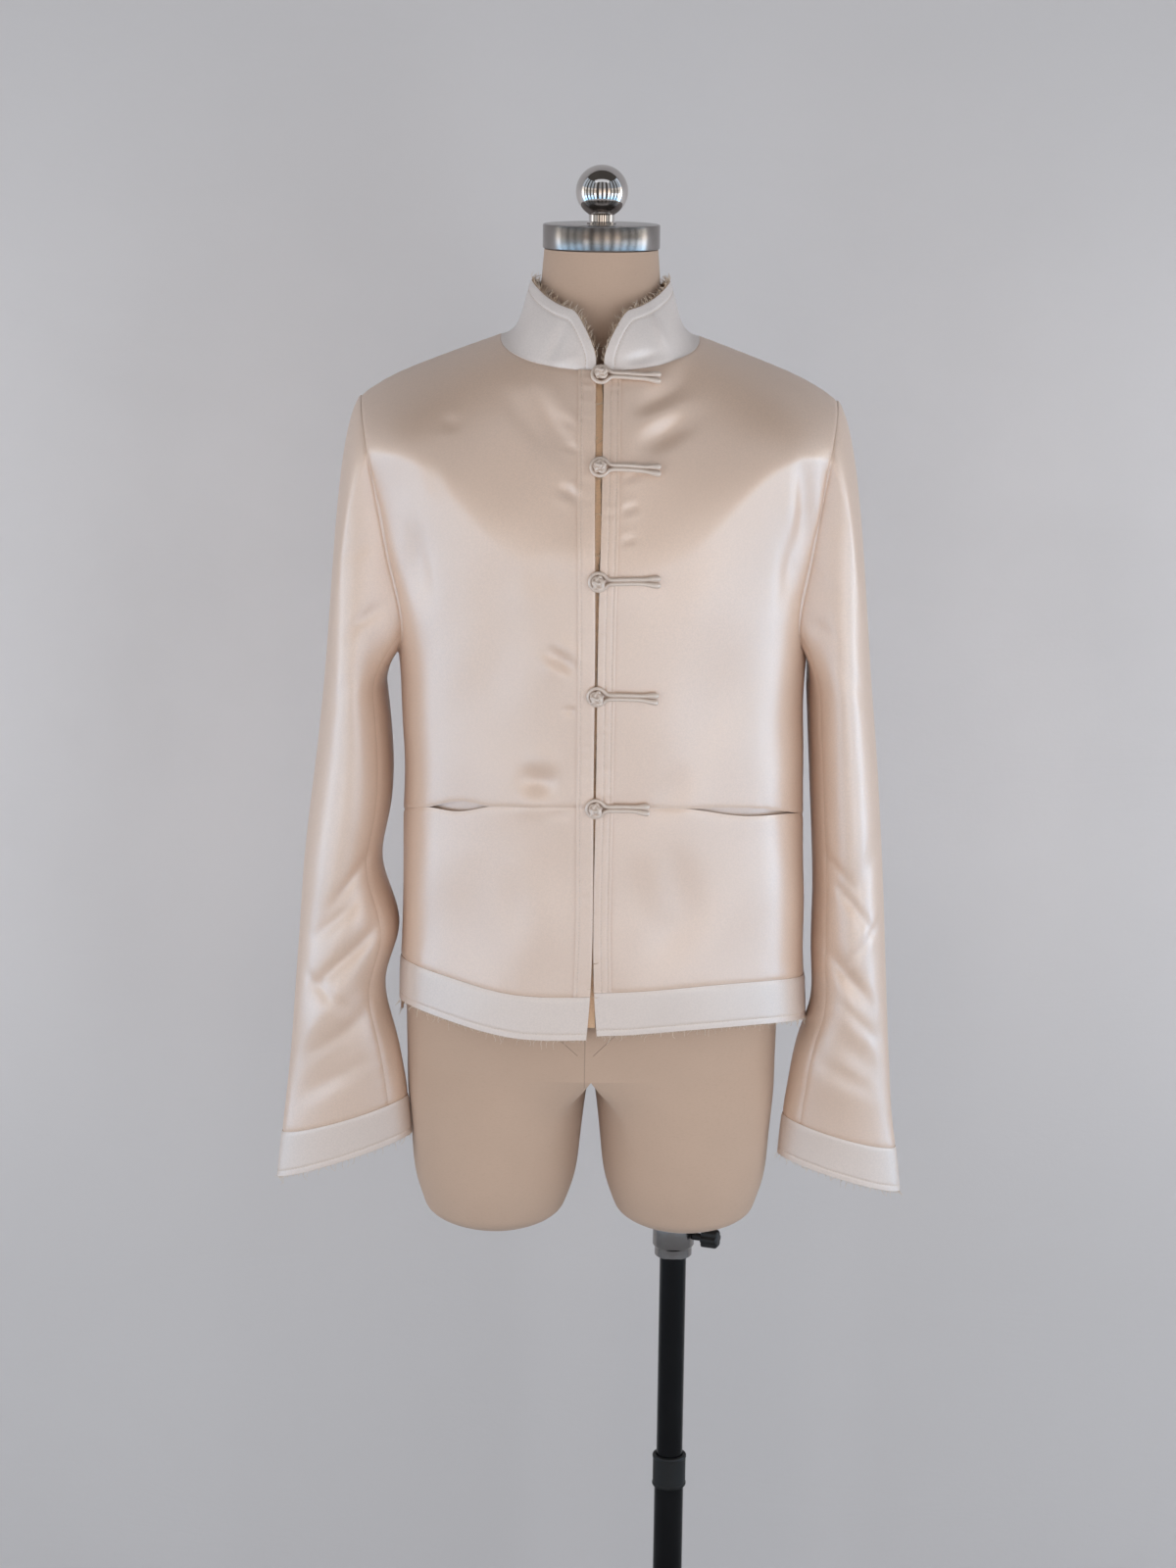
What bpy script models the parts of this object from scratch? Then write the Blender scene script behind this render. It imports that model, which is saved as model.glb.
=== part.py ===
"""A satin tang jacket buttoned over a dress form that stands on a telescopic pole.

Metres, +Z up, the wearer faces -Y. The origin is on the floor under the garment's centre line, and the
wearer's left is +X. Every cloth piece is a thin closed wall: its grid of points is the cloth's outer face,
and the wall is built inwards from it. Pieces meet with a small gap at each seam.
"""

import math
from collections import namedtuple

import bmesh
import bpy
from mathutils import Matrix, Vector

# ---------------------------------------------------------------- driving sizes

CLOTH = 0.0015  # satin with its facing
BAND_CLOTH = 0.0021  # hem and cuff bands, one layer more than the panels
STRIP_CLOTH = 0.0010  # front edge strips, which lie on the panels
GAP = 0.0003  # left between two pieces at a seam
ARMHOLE_GAP = 0.0006

NECK_SIDE_X, NECK_SIDE_Z = 0.0885, 1.410  # where the shoulder seam meets the collar
NECK_FRONT_Z = 1.386
NECK_BACK_Z = 1.400
SHOULDER_TIP_X, SHOULDER_TIP_Z = 0.2135, 1.354
FALL_POWER = 1.42  # how evenly the cloth turns upright below the shoulder seam
SEAM_Y = 0.004  # the shoulder and side seams' depth
UNDERARM_X, UNDERARM_Z = 0.1850, 1.122
RING_POWER = 2.4  # roundness of the level sections, 2 being an ellipse
WAIST_Z, WAIST_FALL = 1.0075, 0.034  # the waist seam at the centre, and how far it falls to the side
HEM_BACK_Z = 0.788
HEM_BAND = 0.040
STRIP_WIDTH = 0.0155

NECK_COLUMNS, SHOULDER_COLUMNS = 5, 6  # beside the strip's own column
BACK_NECK_COLUMNS, BACK_SHOULDER_COLUMNS = 4, 5
ARMHOLE_ROWS = 12  # also half the points round a sleeve
ARMHOLE_CROWDING = 0.6  # how much closer its rows stand at both ends of the armhole
ARMHOLE_SINK = 0.06  # and how much they sink towards the underarm
BELOW_ROWS = 5
LOWER_ROWS = 5
BACK_LOWER_ROWS = 8
COLLAR_ROWS = 4

# ---------------------------------------------------------------- tables

BodyLevel = namedtuple("BodyLevel", "height half_width front back side_shift")
BODY = (
    BodyLevel(0.760, 0.1895, 0.128, 0.122, 0.0100),
    BodyLevel(0.850, 0.1860, 0.130, 0.120, 0.0095),
    BodyLevel(0.973, 0.1835, 0.133, 0.116, 0.0085),
    BodyLevel(1.060, 0.1825, 0.138, 0.117, 0.0070),
    BodyLevel(1.122, 0.1850, 0.142, 0.121, 0.0050),
    BodyLevel(1.165, 0.1895, 0.144, 0.125, 0.0035),
    BodyLevel(1.220, 0.2030, 0.145, 0.130, 0.0020),
    BodyLevel(1.290, 0.2205, 0.145, 0.132, 0.0010),
    BodyLevel(1.350, 0.2400, 0.146, 0.130, 0.0000),
    BodyLevel(1.430, 0.2450, 0.150, 0.128, 0.0000),
)

# The shoulder seam, carried on to the centre line and past the tip: its height, how far below it the cloth
# hangs upright, and how square the turn just below it is.
ShoulderPoint = namedtuple("ShoulderPoint", "x height fall squareness")
SHOULDER = (
    ShoulderPoint(-NECK_SIDE_X, NECK_SIDE_Z, 0.170, 2.05),
    ShoulderPoint(0.0, 1.430, 0.215, 2.34),
    ShoulderPoint(NECK_SIDE_X, NECK_SIDE_Z, 0.170, 2.05),
    ShoulderPoint(0.152, 1.3865, 0.085, 1.62),
    ShoulderPoint(SHOULDER_TIP_X, SHOULDER_TIP_Z, 0.050, 1.42),
    ShoulderPoint(0.245, 1.325, 0.045, 1.42),
)

# The front armhole from the shoulder tip to the underarm: its distance from the centre line at each height.
ArmholePoint = namedtuple("ArmholePoint", "height front_x back_x")
ARMHOLE = (
    ArmholePoint(SHOULDER_TIP_Z, SHOULDER_TIP_X, SHOULDER_TIP_X),
    ArmholePoint(1.325, 0.2065, 0.2090),
    ArmholePoint(1.290, 0.1995, 0.2045),
    ArmholePoint(1.245, 0.1920, 0.1990),
    ArmholePoint(1.205, 0.1850, 0.1930),
    ArmholePoint(1.165, 0.1775, 0.1845),
    ArmholePoint(1.140, 0.1785, 0.1815),
    ArmholePoint(UNDERARM_Z, UNDERARM_X, UNDERARM_X),
)

# The raw hem's height on either front, from the edge (0) to the side seam (1).
HemPoint = namedtuple("HemPoint", "across left right")
HEM = (
    HemPoint(0.00, 0.7965, 0.7925),
    HemPoint(0.20, 0.8000, 0.7925),
    HemPoint(0.40, 0.8010, 0.7995),
    HemPoint(0.65, 0.7960, 0.8040),
    HemPoint(0.85, 0.7890, 0.8020),
    HemPoint(1.00, 0.7830, 0.7970),
)

# A soft fold of the body's cloth: its middle's distance from the centre line and height, half its length
# up the cloth, half its width, its depth, negative for a ridge, and how far it leans out per unit of height.
BodyFold = namedtuple("BodyFold", "face side x height half_length half_width depth lean")
BODY_FOLDS = (
    BodyFold(-1, -1, 0.052, 1.338, 0.038, 0.016, 0.0045, 0.75),
    BodyFold(-1, 1, 0.058, 1.330, 0.036, 0.018, 0.0040, 0.80),
    BodyFold(-1, 1, 0.172, 1.222, 0.060, 0.011, 0.0050, 0.10),
    BodyFold(-1, -1, 0.160, 1.215, 0.055, 0.013, 0.0040, 0.12),
    BodyFold(-1, -1, 0.092, 1.130, 0.120, 0.026, 0.0040, -0.10),
    BodyFold(-1, 1, 0.100, 1.095, 0.110, 0.026, 0.0040, 0.16),
    BodyFold(-1, 1, 0.078, 0.915, 0.080, 0.024, 0.0050, 0.30),
    BodyFold(-1, -1, 0.110, 0.900, 0.070, 0.026, 0.0040, -0.15),
    BodyFold(1, 1, 0.080, 1.020, 0.190, 0.026, 0.0060, 0.10),
    BodyFold(1, -1, 0.066, 0.990, 0.180, 0.024, 0.0055, 0.06),
    BodyFold(1, 1, 0.135, 1.170, 0.090, 0.020, 0.0050, 0.35),
    BodyFold(1, -1, 0.140, 1.155, 0.095, 0.022, 0.0050, 0.30),
)

# Half the opening between the two front edges.
EdgeLevel = namedtuple("EdgeLevel", "height half_gap")
FRONT_EDGE = (
    EdgeLevel(0.780, 0.0062),
    EdgeLevel(0.815, 0.0030),
    EdgeLevel(0.850, 0.0012),
    EdgeLevel(1.000, 0.0010),
    EdgeLevel(1.110, 0.0012),
    EdgeLevel(1.200, 0.0018),
    EdgeLevel(1.260, 0.0028),
    EdgeLevel(1.340, 0.0032),
    EdgeLevel(1.390, 0.0036),
)

# A pocket mouth: the seam's lips part between two distances from the centre line.
PocketMouth = namedtuple("PocketMouth", "side start end rise sag")
POCKETS = (
    PocketMouth(-1, 0.094, 0.156, 0.0045, 0.0045),
    PocketMouth(1, 0.080, 0.181, 0.0015, 0.0055),
)
POCKET_SET_BACK = 0.0045
POCKET_FACING_HEIGHT = 0.034

# A sleeve's level sections: the outer and inner edge's distance from the centre line, half its depth from
# front to back, the middle of that depth, and how far the section drops outwards.
SleeveLevel = namedtuple("SleeveLevel", "height outer inner half_depth middle_y tilt")
LEFT_SLEEVE = (
    SleeveLevel(1.090, 0.2520, 0.1925, 0.0780, 0.003, 0.00),
    SleeveLevel(1.030, 0.2580, 0.1960, 0.0740, 0.002, 0.00),
    SleeveLevel(0.970, 0.2630, 0.1995, 0.0700, 0.000, 0.00),
    SleeveLevel(0.900, 0.2680, 0.2025, 0.0640, -0.002, -0.02),
    SleeveLevel(0.840, 0.2715, 0.2025, 0.0590, -0.006, -0.06),
    SleeveLevel(0.790, 0.2745, 0.2015, 0.0530, -0.010, -0.12),
    SleeveLevel(0.765, 0.2762, 0.1935, 0.0475, -0.012, -0.15),
    SleeveLevel(0.742, 0.2780, 0.1880, 0.0440, -0.014, -0.18),
    SleeveLevel(0.715, 0.2800, 0.1840, 0.0370, -0.016, -0.24),
    SleeveLevel(0.677, 0.2855, 0.1790, 0.0290, -0.018, -0.29),
    SleeveLevel(0.637, 0.2905, 0.1755, 0.0250, -0.020, -0.31),
)
RIGHT_SLEEVE = (
    SleeveLevel(1.090, 0.2480, 0.1905, 0.0780, 0.003, 0.00),
    SleeveLevel(1.030, 0.2545, 0.1850, 0.0740, 0.002, 0.00),
    SleeveLevel(0.970, 0.2620, 0.1885, 0.0700, 0.000, 0.00),
    SleeveLevel(0.925, 0.2668, 0.1945, 0.0650, -0.002, -0.02),
    SleeveLevel(0.865, 0.2710, 0.1790, 0.0590, -0.006, -0.06),
    SleeveLevel(0.815, 0.2748, 0.1910, 0.0520, -0.010, -0.12),
    SleeveLevel(0.760, 0.2790, 0.1825, 0.0420, -0.014, -0.20),
    SleeveLevel(0.725, 0.2830, 0.1755, 0.0350, -0.016, -0.26),
    SleeveLevel(0.685, 0.2880, 0.1700, 0.0280, -0.018, -0.32),
    SleeveLevel(0.648, 0.2922, 0.1670, 0.0230, -0.020, -0.35),
)
CUFF_TOP = {1: 0.677, -1: 0.688}
CUFF_END = {1: 0.637, -1: 0.648}
SLEEVE_HEAD_ROWS = 8
SLEEVE_ROWS = 15
SLEEVE_HEAD_END = 1.090
SLEEVE_HEAD_FALL = 55  # degrees below level at which the head leaves the armhole
SLEEVE_HEAD_PUSH = 0.45  # how firmly it keeps that direction, as a share of its length
SLEEVE_INNER_PUSH = 0.35  # and how much more firmly on the side towards the body
SLEEVE_HEAD_SPREAD = 0.25  # how far the front and the back of it lean apart
UNDER_START, UNDER_END = 9, 18  # the under sleeve's points, of the 24 round the sleeve
ELBOW_ROW = 7  # the row at which each sleeve piece is parted into its arm and its forearm

# A fold in a sleeve: where its middle is round the sleeve and in height, how far it reaches round, its rise
# over that reach, its half width and its depth, negative for a ridge.
SleeveFold = namedtuple("SleeveFold", "side height around reach rise half_width depth")
SLEEVE_FOLDS = (
    SleeveFold(1, 0.925, 78, 62, -0.045, 0.019, 0.0065),
    SleeveFold(1, 0.868, 72, 55, -0.040, 0.016, -0.0045),
    SleeveFold(1, 0.822, 84, 66, 0.060, 0.019, 0.0070),
    SleeveFold(1, 0.755, 70, 60, 0.040, 0.017, 0.0055),
    SleeveFold(1, 0.870, 250, 62, 0.045, 0.020, 0.0060),
    SleeveFold(1, 0.785, 268, 60, -0.035, 0.018, 0.0055),
    SleeveFold(-1, 0.905, 98, 58, 0.045, 0.019, 0.0065),
    SleeveFold(-1, 0.842, 88, 62, 0.055, 0.019, 0.0070),
    SleeveFold(-1, 0.795, 74, 52, 0.045, 0.016, -0.0045),
    SleeveFold(-1, 0.745, 80, 60, 0.050, 0.017, 0.0055),
    SleeveFold(-1, 0.882, 252, 62, -0.045, 0.020, 0.0060),
    SleeveFold(-1, 0.780, 262, 60, 0.035, 0.018, 0.0055),
    SleeveFold(1, 1.195, 92, 45, 0.030, 0.015, 0.0050),
    SleeveFold(-1, 1.185, 84, 48, 0.032, 0.016, 0.0055),
)

COLLAR_HEIGHT = 0.0485
COLLAR_CORNER = 0.0385  # width of the rounded front corner
COLLAR_CORNER_START = 0.008
COLLAR_CORNER_POWER = 1.65
COLLAR_CORNER_STEPS = (0.12, 0.34, 0.62)  # extra columns between the front edge and the strip's edge
COLLAR_TOP_X = 0.0616
COLLAR_TOP_FRONT_Y = -0.069
COLLAR_TOP_BACK_Y = 0.056
COLLAR_BOW = 0.0022
COLLAR_FLARE = 0.0105  # how far the collar's lower part stands in from a straight line at the sides
COLLAR_FOOT_HALF_DEPTH = 0.075

FROG_HEIGHTS = (1.3820, 1.3065, 1.2105, 1.1090, 1.0075)
CORD_RADIUS = 0.0015
LOOP_RADIUS = 0.0072
KNOT_RADIUS = 0.0065
KNOT_LIFT = 0.0048
FROG_LENGTH = 0.052
FROG_STRAND_SPREAD = 0.0019
FROG_END_SPREAD = 0.0028
FROG_DROOP = 0.022
FROG_OPENING = 1.35  # how much wider the eye is open than its two strands lie apart
FROG_STEP_START, FROG_STEP_LENGTH, FROG_STEP = 0.022, 0.012, 0.3  # where the cord leaves the strip
STRAND_POINTS, LOOP_TURNS = 5, 10
KNOT_FOOT_RADIUS, KNOT_FOOT_RISE, KNOT_SHANK_RADIUS = 0.0034, 0.0009, 0.0018
KNOT_START, KNOT_STEPS, KNOT_SIDES = -62, 5, 10  # degrees from the knot's middle plane to its shank
CORD_SIDES = 6

# ---------------------------------------------------------------- dress form and stand sizes

FormLevel = namedtuple("FormLevel", "height half_width front back middle_y")
FORM = (
    FormLevel(0.745, 0.1715, 0.100, 0.112, 0.000),
    FormLevel(0.800, 0.1720, 0.103, 0.115, 0.000),
    FormLevel(0.860, 0.1650, 0.102, 0.108, 0.000),
    FormLevel(0.930, 0.1400, 0.094, 0.090, 0.000),
    FormLevel(1.000, 0.1230, 0.088, 0.080, 0.000),
    FormLevel(1.060, 0.1280, 0.094, 0.082, 0.000),
    FormLevel(1.120, 0.1410, 0.110, 0.088, 0.000),
    FormLevel(1.175, 0.1480, 0.117, 0.094, 0.000),
    FormLevel(1.230, 0.1540, 0.108, 0.098, 0.000),
    FormLevel(1.280, 0.1600, 0.092, 0.097, 0.000),
    FormLevel(1.320, 0.1560, 0.076, 0.088, 0.000),
    FormLevel(1.348, 0.1380, 0.062, 0.074, 0.002),
    FormLevel(1.370, 0.1080, 0.055, 0.062, 0.004),
    FormLevel(1.386, 0.0780, 0.053, 0.056, 0.003),
    FormLevel(1.402, 0.0610, 0.052, 0.053, 0.001),
    FormLevel(1.430, 0.0545, 0.051, 0.051, 0.000),
    FormLevel(1.486, 0.0505, 0.050, 0.050, 0.000),
)
FORM_POWER = 2.15
FORM_POINTS = 26
FORM_STEP = 0.045  # a taller step of the table gets one more ring half way up

# A thigh's level sections: an ellipse, drawn towards the half of the trunk above it by a share.
ThighLevel = namedtuple("ThighLevel", "height middle_x middle_y half_width half_depth trunk_share")
THIGHS = (
    ThighLevel(0.729, 0.0880, 0.0060, 0.0835, 0.0950, 0.70),
    ThighLevel(0.711, 0.0881, 0.0055, 0.0830, 0.0945, 0.30),
    ThighLevel(0.688, 0.0882, 0.0050, 0.0812, 0.0930, 0.08),
    ThighLevel(0.655, 0.0884, 0.0040, 0.0785, 0.0895, 0.00),
    ThighLevel(0.625, 0.0888, 0.0030, 0.0745, 0.0840, 0.00),
    ThighLevel(0.602, 0.0890, 0.0020, 0.0672, 0.0750, 0.00),
    ThighLevel(0.588, 0.0890, 0.0010, 0.0550, 0.0610, 0.00),
    ThighLevel(0.580, 0.0880, 0.0000, 0.0350, 0.0400, 0.00),
)
CROTCH_Z = 0.737
CROTCH_POINTS = 3

CAP_RADIUS, CAP_BOTTOM, CAP_TOP = 0.0520, 1.4865, 1.5080
BALL_RADIUS, BALL_Z = 0.0232, 1.5366
STEM_RADIUS = 0.0115
STEM_DROP = 0.0201  # from the ball's middle to where its stem begins
BALL_STEPS = 9
EDGE_BEVEL = 0.0012

POLE_X, POLE_Y = 0.0800, 0.0
SOCKET_RADIUS, SOCKET_BOTTOM, SOCKET_TOP = 0.0195, 0.5450, 0.5797
INNER_POLE_RADIUS = 0.0125
INNER_POLE_BOTTOM = 0.115
OUTER_POLE_RADIUS = 0.0140
OUTER_POLE_BORE = 0.0129
OUTER_POLE_TOP = 0.318
LOCK_RADIUS, LOCK_BOTTOM, LOCK_TOP = 0.0162, 0.3105, 0.3425
BASE_RADIUS, BASE_THICK = 0.190, 0.008
BOSS_RADIUS, BOSS_TOP = 0.0300, 0.030
OUTER_POLE_PLUG = 0.010
TUBE_BEVEL = 0.0006
SCREW_RADIUS, SCREW_LENGTH = 0.0035, 0.009
SCREW_TURN, SCREW_RISE = -20, 0.003  # degrees round the pole, and its rise over the socket's middle
KNOB_LENGTH = 0.016
KNOB_RADIUS = 0.0090
KNOB_SIDES = 12
KNOB_GROOVE = 0.78  # every second corner of the knob stands this much nearer its axis

Finish = namedtuple("Finish", "colour roughness metallic")
FINISHES = {
    "satin": Finish((0.80, 0.72, 0.65), 0.38, 0.0),
    "cord": Finish((0.74, 0.68, 0.61), 0.55, 0.0),
    "form_cloth": Finish((0.72, 0.58, 0.45), 0.85, 0.0),
    "steel": Finish((0.62, 0.62, 0.63), 0.28, 1.0),
    "chrome": Finish((0.80, 0.80, 0.81), 0.06, 1.0),
    "black_paint": Finish((0.015, 0.015, 0.016), 0.32, 0.0),
    "black_plastic": Finish((0.02, 0.02, 0.02), 0.50, 0.0),
}

# ---------------------------------------------------------------- small maths


def spline(rows, column, at, key="height"):
    """A smooth value of a table's column at a place between its rows (a Catmull-Rom curve)."""
    rows = sorted(rows, key=lambda row: getattr(row, key))
    keys = [getattr(row, key) for row in rows]
    values = [getattr(row, column) for row in rows]
    at = min(max(at, keys[0]), keys[-1])
    i = max(k for k in range(len(keys) - 1) if keys[k] <= at or k == 0)

    def slope(k):
        if k == 0:
            return (values[1] - values[0]) / (keys[1] - keys[0])
        if k == len(keys) - 1:
            return (values[-1] - values[-2]) / (keys[-1] - keys[-2])
        return (values[k + 1] - values[k - 1]) / (keys[k + 1] - keys[k - 1])

    step = keys[i + 1] - keys[i]
    t = (at - keys[i]) / step
    a, b = values[i], values[i + 1]
    m, n = slope(i) * step, slope(i + 1) * step
    return (
        a * (2 * t**3 - 3 * t**2 + 1)
        + m * (t**3 - 2 * t**2 + t)
        + b * (3 * t**2 - 2 * t**3)
        + n * (t**3 - t**2)
    )


def smooth(t):
    t = min(max(t, 0.0), 1.0)
    return t * t * (3 - 2 * t)


def power(value, exponent):
    return max(value, 0.0) ** exponent


# ---------------------------------------------------------------- the jacket body's outer face


def shoulder_line(x):
    """Height of the shoulder seam, carried on to the centre line and past the tip."""
    return spline(SHOULDER, "height", abs(x), key="x")


def body_point(face, side, across, height):
    """The outer face at a share across from the centre line (0) to where the section closes (1).

    face is -1 for the front and 1 for the back; side is 1 for the wearer's left.
    """
    angle = across * math.pi / 2
    half_width = spline(BODY, "half_width", height)
    x = section_x(across, height)
    reach = spline(BODY, "front" if face < 0 else "back", height)
    fall, squareness = spline(SHOULDER, "fall", x, key="x"), spline(SHOULDER, "squareness", x, key="x")
    drop = min(max((shoulder_line(x) - height) / fall, 0.0), 1.0)
    rise = power(1 - power(1 - drop, FALL_POWER), 1 / squareness)
    depth = reach * power(math.cos(angle), 2 / RING_POWER) * rise
    shift = spline(BODY, "side_shift", height) * (x / half_width) ** 2
    return Vector((side * x + shift, SEAM_Y + face * depth, height))


def section_x(across, height):
    """The distance from the centre line at a share across, before the body's side shift."""
    half_width = spline(BODY, "half_width", height)
    return half_width * power(math.sin(across * math.pi / 2), 2 / RING_POWER)


def across_of(x, height):
    """The share across at which body_point stands x from the centre line."""
    ratio = min(abs(x) / spline(BODY, "half_width", height), 1.0)
    return math.asin(power(ratio, RING_POWER / 2)) * 2 / math.pi


def body_normal(face, side, across, height):
    """The outward direction of the body's outer face, shared by front and back on the shoulder seam."""
    step = 1e-3
    x = abs(body_point(face, side, across, height).x)
    if x > NECK_SIDE_X - step and height > shoulder_line(x) - 2 * step:
        slope = (shoulder_line(x + step) - shoulder_line(x - step)) / (2 * step)
        return Vector((-slope * side, 0, 1)).normalized()
    low, high = max(across - step, 1e-4), min(across + step, 1 - 1e-4)
    along = body_point(face, side, high, height) - body_point(face, side, low, height)
    up = body_point(face, side, across, height + step) - body_point(
        face, side, across, height - step
    )
    normal = along.cross(up) * -face * side
    return normal.normalized()


def body_fold_depth(face, side, x, height):
    """How far the body's folds push its face in."""
    total = 0.0
    for fold in BODY_FOLDS:
        up = (height - fold.height) / fold.half_length
        if (fold.face, fold.side) != (face, side) or abs(up) >= 1:
            continue
        away = (x - fold.x - fold.lean * (height - fold.height)) / fold.half_width
        total += fold.depth * math.exp(-away * away) * math.cos(up * math.pi / 2) ** 2
    return total


def cloth_point(face, side, across, height, lift=0.0):
    """A point of the folded cloth's outer face, moved out by lift."""
    normal = body_normal(face, side, across, height)
    fold = body_fold_depth(face, side, section_x(across, height), height)
    return body_point(face, side, across, height) + normal * (lift - fold)


# ---------------------------------------------------------------- the edges, as (across, height)


def armhole_place(face, share):
    """The armhole's edge at a share of its length from the shoulder tip (0) to the underarm (1)."""
    column = "front_x" if face < 0 else "back_x"
    crowding = ARMHOLE_CROWDING * math.sin(2 * math.pi * share) / (2 * math.pi)
    fall = share - crowding + ARMHOLE_SINK * math.sin(math.pi * share)
    height = SHOULDER_TIP_Z + (UNDERARM_Z - SHOULDER_TIP_Z) * fall
    return across_of(spline(ARMHOLE, column, height), height), height


def neck_place(face, share):
    """The neckline at a share from the centre line (0) to the shoulder seam (1)."""
    x = NECK_SIDE_X * math.sin(share * math.pi / 2)
    middle = NECK_FRONT_Z if face < 0 else NECK_BACK_Z
    height = NECK_SIDE_Z + (middle - NECK_SIDE_Z) * math.cos(share * math.pi / 2)
    return across_of(x, height), height


def shoulder_place(share):
    """The shoulder seam at a share from the neck (0) to the tip (1)."""
    x = NECK_SIDE_X + (SHOULDER_TIP_X - NECK_SIDE_X) * share
    height = shoulder_line(x)
    return across_of(x, height), height


def neck_share(x):
    """The neckline's share at a distance from the centre line."""
    return math.asin(min(x / NECK_SIDE_X, 1.0)) * 2 / math.pi


def waist_height(across):
    """Height of the seam between the upper and the lower front, which sinks towards the side."""
    return WAIST_Z - WAIST_FALL * across**2


def hem_height(face, side, across, band=0.0):
    """Height of the raw hem, or of the top of its band."""
    if face < 0:
        return spline(HEM, "left" if side > 0 else "right", across, key="across") + band
    end = HEM[-1].left if side > 0 else HEM[-1].right
    return HEM_BACK_Z + (end - HEM_BACK_Z) * smooth(across) + band


def coons(left, right, bottom, top, u, v):
    """A point of the patch between four edges, each a function from a share to (across, height)."""
    corners = bottom(0), bottom(1), top(0), top(1)
    made = []
    for k in (0, 1):
        ruled = (
            (1 - u) * left(v)[k] + u * right(v)[k] + (1 - v) * bottom(u)[k] + v * top(u)[k]
        )
        plain = (
            (1 - u) * (1 - v) * corners[0][k]
            + u * (1 - v) * corners[1][k]
            + (1 - u) * v * corners[2][k]
            + u * v * corners[3][k]
        )
        made.append(ruled - plain)
    return made


# ---------------------------------------------------------------- grids of places, row by row from the bottom

UPPER_ROWS = BELOW_ROWS + ARMHOLE_ROWS
FRONT_COLUMNS = NECK_COLUMNS + SHOULDER_COLUMNS
BACK_COLUMNS = BACK_NECK_COLUMNS + BACK_SHOULDER_COLUMNS


def outer_edge(face, bottom_z, below_rows):
    """The side seam, then the armhole, as a function of the share up the piece."""
    turn = below_rows / (below_rows + ARMHOLE_ROWS)

    def place(v):
        if v <= turn:
            return 1.0, bottom_z + (UNDERARM_Z - bottom_z) * v / turn
        return armhole_place(face, 1 - (v - turn) / (1 - turn))

    return place


def top_edge(face, neck_part, start):
    """The neckline from a share of it, then the shoulder seam, which start at a share of the columns."""

    def place(u):
        if u <= neck_part:
            return neck_place(face, start + (1 - start) * u / neck_part)
        return shoulder_place((u - neck_part) / (1 - neck_part))

    return place


def edge_place(height, away=0.0):
    """A place at a distance from a front edge, as (across, height)."""
    return across_of(spline(FRONT_EDGE, "half_gap", height) + away, height), height


def pocket_part(side, x, lip):
    """How far a lip of the pocket mouth leaves the seam at x: lip is rise or sag."""
    for mouth in POCKETS:
        if mouth.side == side and mouth.start < x < mouth.end:
            share = (x - mouth.start) / (mouth.end - mouth.start)
            return getattr(mouth, lip) * math.sin(math.pi * share) ** 1.5
    return 0.0


def column_across(height, u):
    """The share across of a front's columns, spread from the strip's edge (0) to the side seam (1)."""
    first = edge_place(height, STRIP_WIDTH)[0]
    return first + (1 - first) * u


def upper_front_places(side):
    """The front above the waist seam. Its first column runs down the edge, its second down the strip's."""
    low = waist_height(0)
    strip_x = spline(FRONT_EDGE, "half_gap", NECK_FRONT_Z) + STRIP_WIDTH
    start = neck_share(strip_x)
    top = top_edge(-1, NECK_COLUMNS / FRONT_COLUMNS, start)

    def left(v):
        return edge_place(low + (top(0)[1] - low) * v, STRIP_WIDTH)

    def bottom(u):
        across = column_across(low, u)
        seam = waist_height(across)
        x = section_x(across, seam)
        return across, seam + pocket_part(side, x, "rise")

    right = outer_edge(-1, waist_height(1), BELOW_ROWS)
    rows = []
    for i in range(UPPER_ROWS + 1):
        v = i / UPPER_ROWS
        row = [edge_place(low + (NECK_FRONT_Z - low) * v)]
        row += [
            coons(left, right, bottom, top, j / FRONT_COLUMNS, v) for j in range(FRONT_COLUMNS + 1)
        ]
        rows.append(row)
    return rows


def lower_front_places(first, last, rows):
    """The front below the waist seam: first and last give a height at a share across."""
    places = []
    for i in range(rows + 1):
        v = i / rows
        edge_height = first(0) * (1 - v) + last(0) * v
        row = [edge_place(edge_height)]
        for j in range(FRONT_COLUMNS + 1):
            across = column_across(edge_height, j / FRONT_COLUMNS)
            row.append((across, first(across) * (1 - v) + last(across) * v))
        places.append(row)
    return places


def back_half_places():
    low = hem_height(1, 1, 0, HEM_BAND)
    rows = BACK_LOWER_ROWS + ARMHOLE_ROWS
    top = top_edge(1, BACK_NECK_COLUMNS / BACK_COLUMNS, 0)
    right = outer_edge(1, hem_height(1, 1, 1, HEM_BAND), BACK_LOWER_ROWS)

    def left(v):
        return 0.0, low + (NECK_BACK_Z - low) * v

    def bottom(u):
        return u, hem_height(1, 1, u, HEM_BAND)

    return [
        [coons(left, right, bottom, top, j / BACK_COLUMNS, i / rows) for j in range(BACK_COLUMNS + 1)]
        for i in range(rows + 1)
    ]


# ---------------------------------------------------------------- from grids to closed walls


def points_of(face, side, places, lift=0.0):
    """(points, normals) of a grid of places on the body, moved out by lift."""
    points = [[cloth_point(face, side, *place, lift) for place in row] for row in places]
    normals = [[body_normal(face, side, *place) for place in row] for row in places]
    return points, normals


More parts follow.
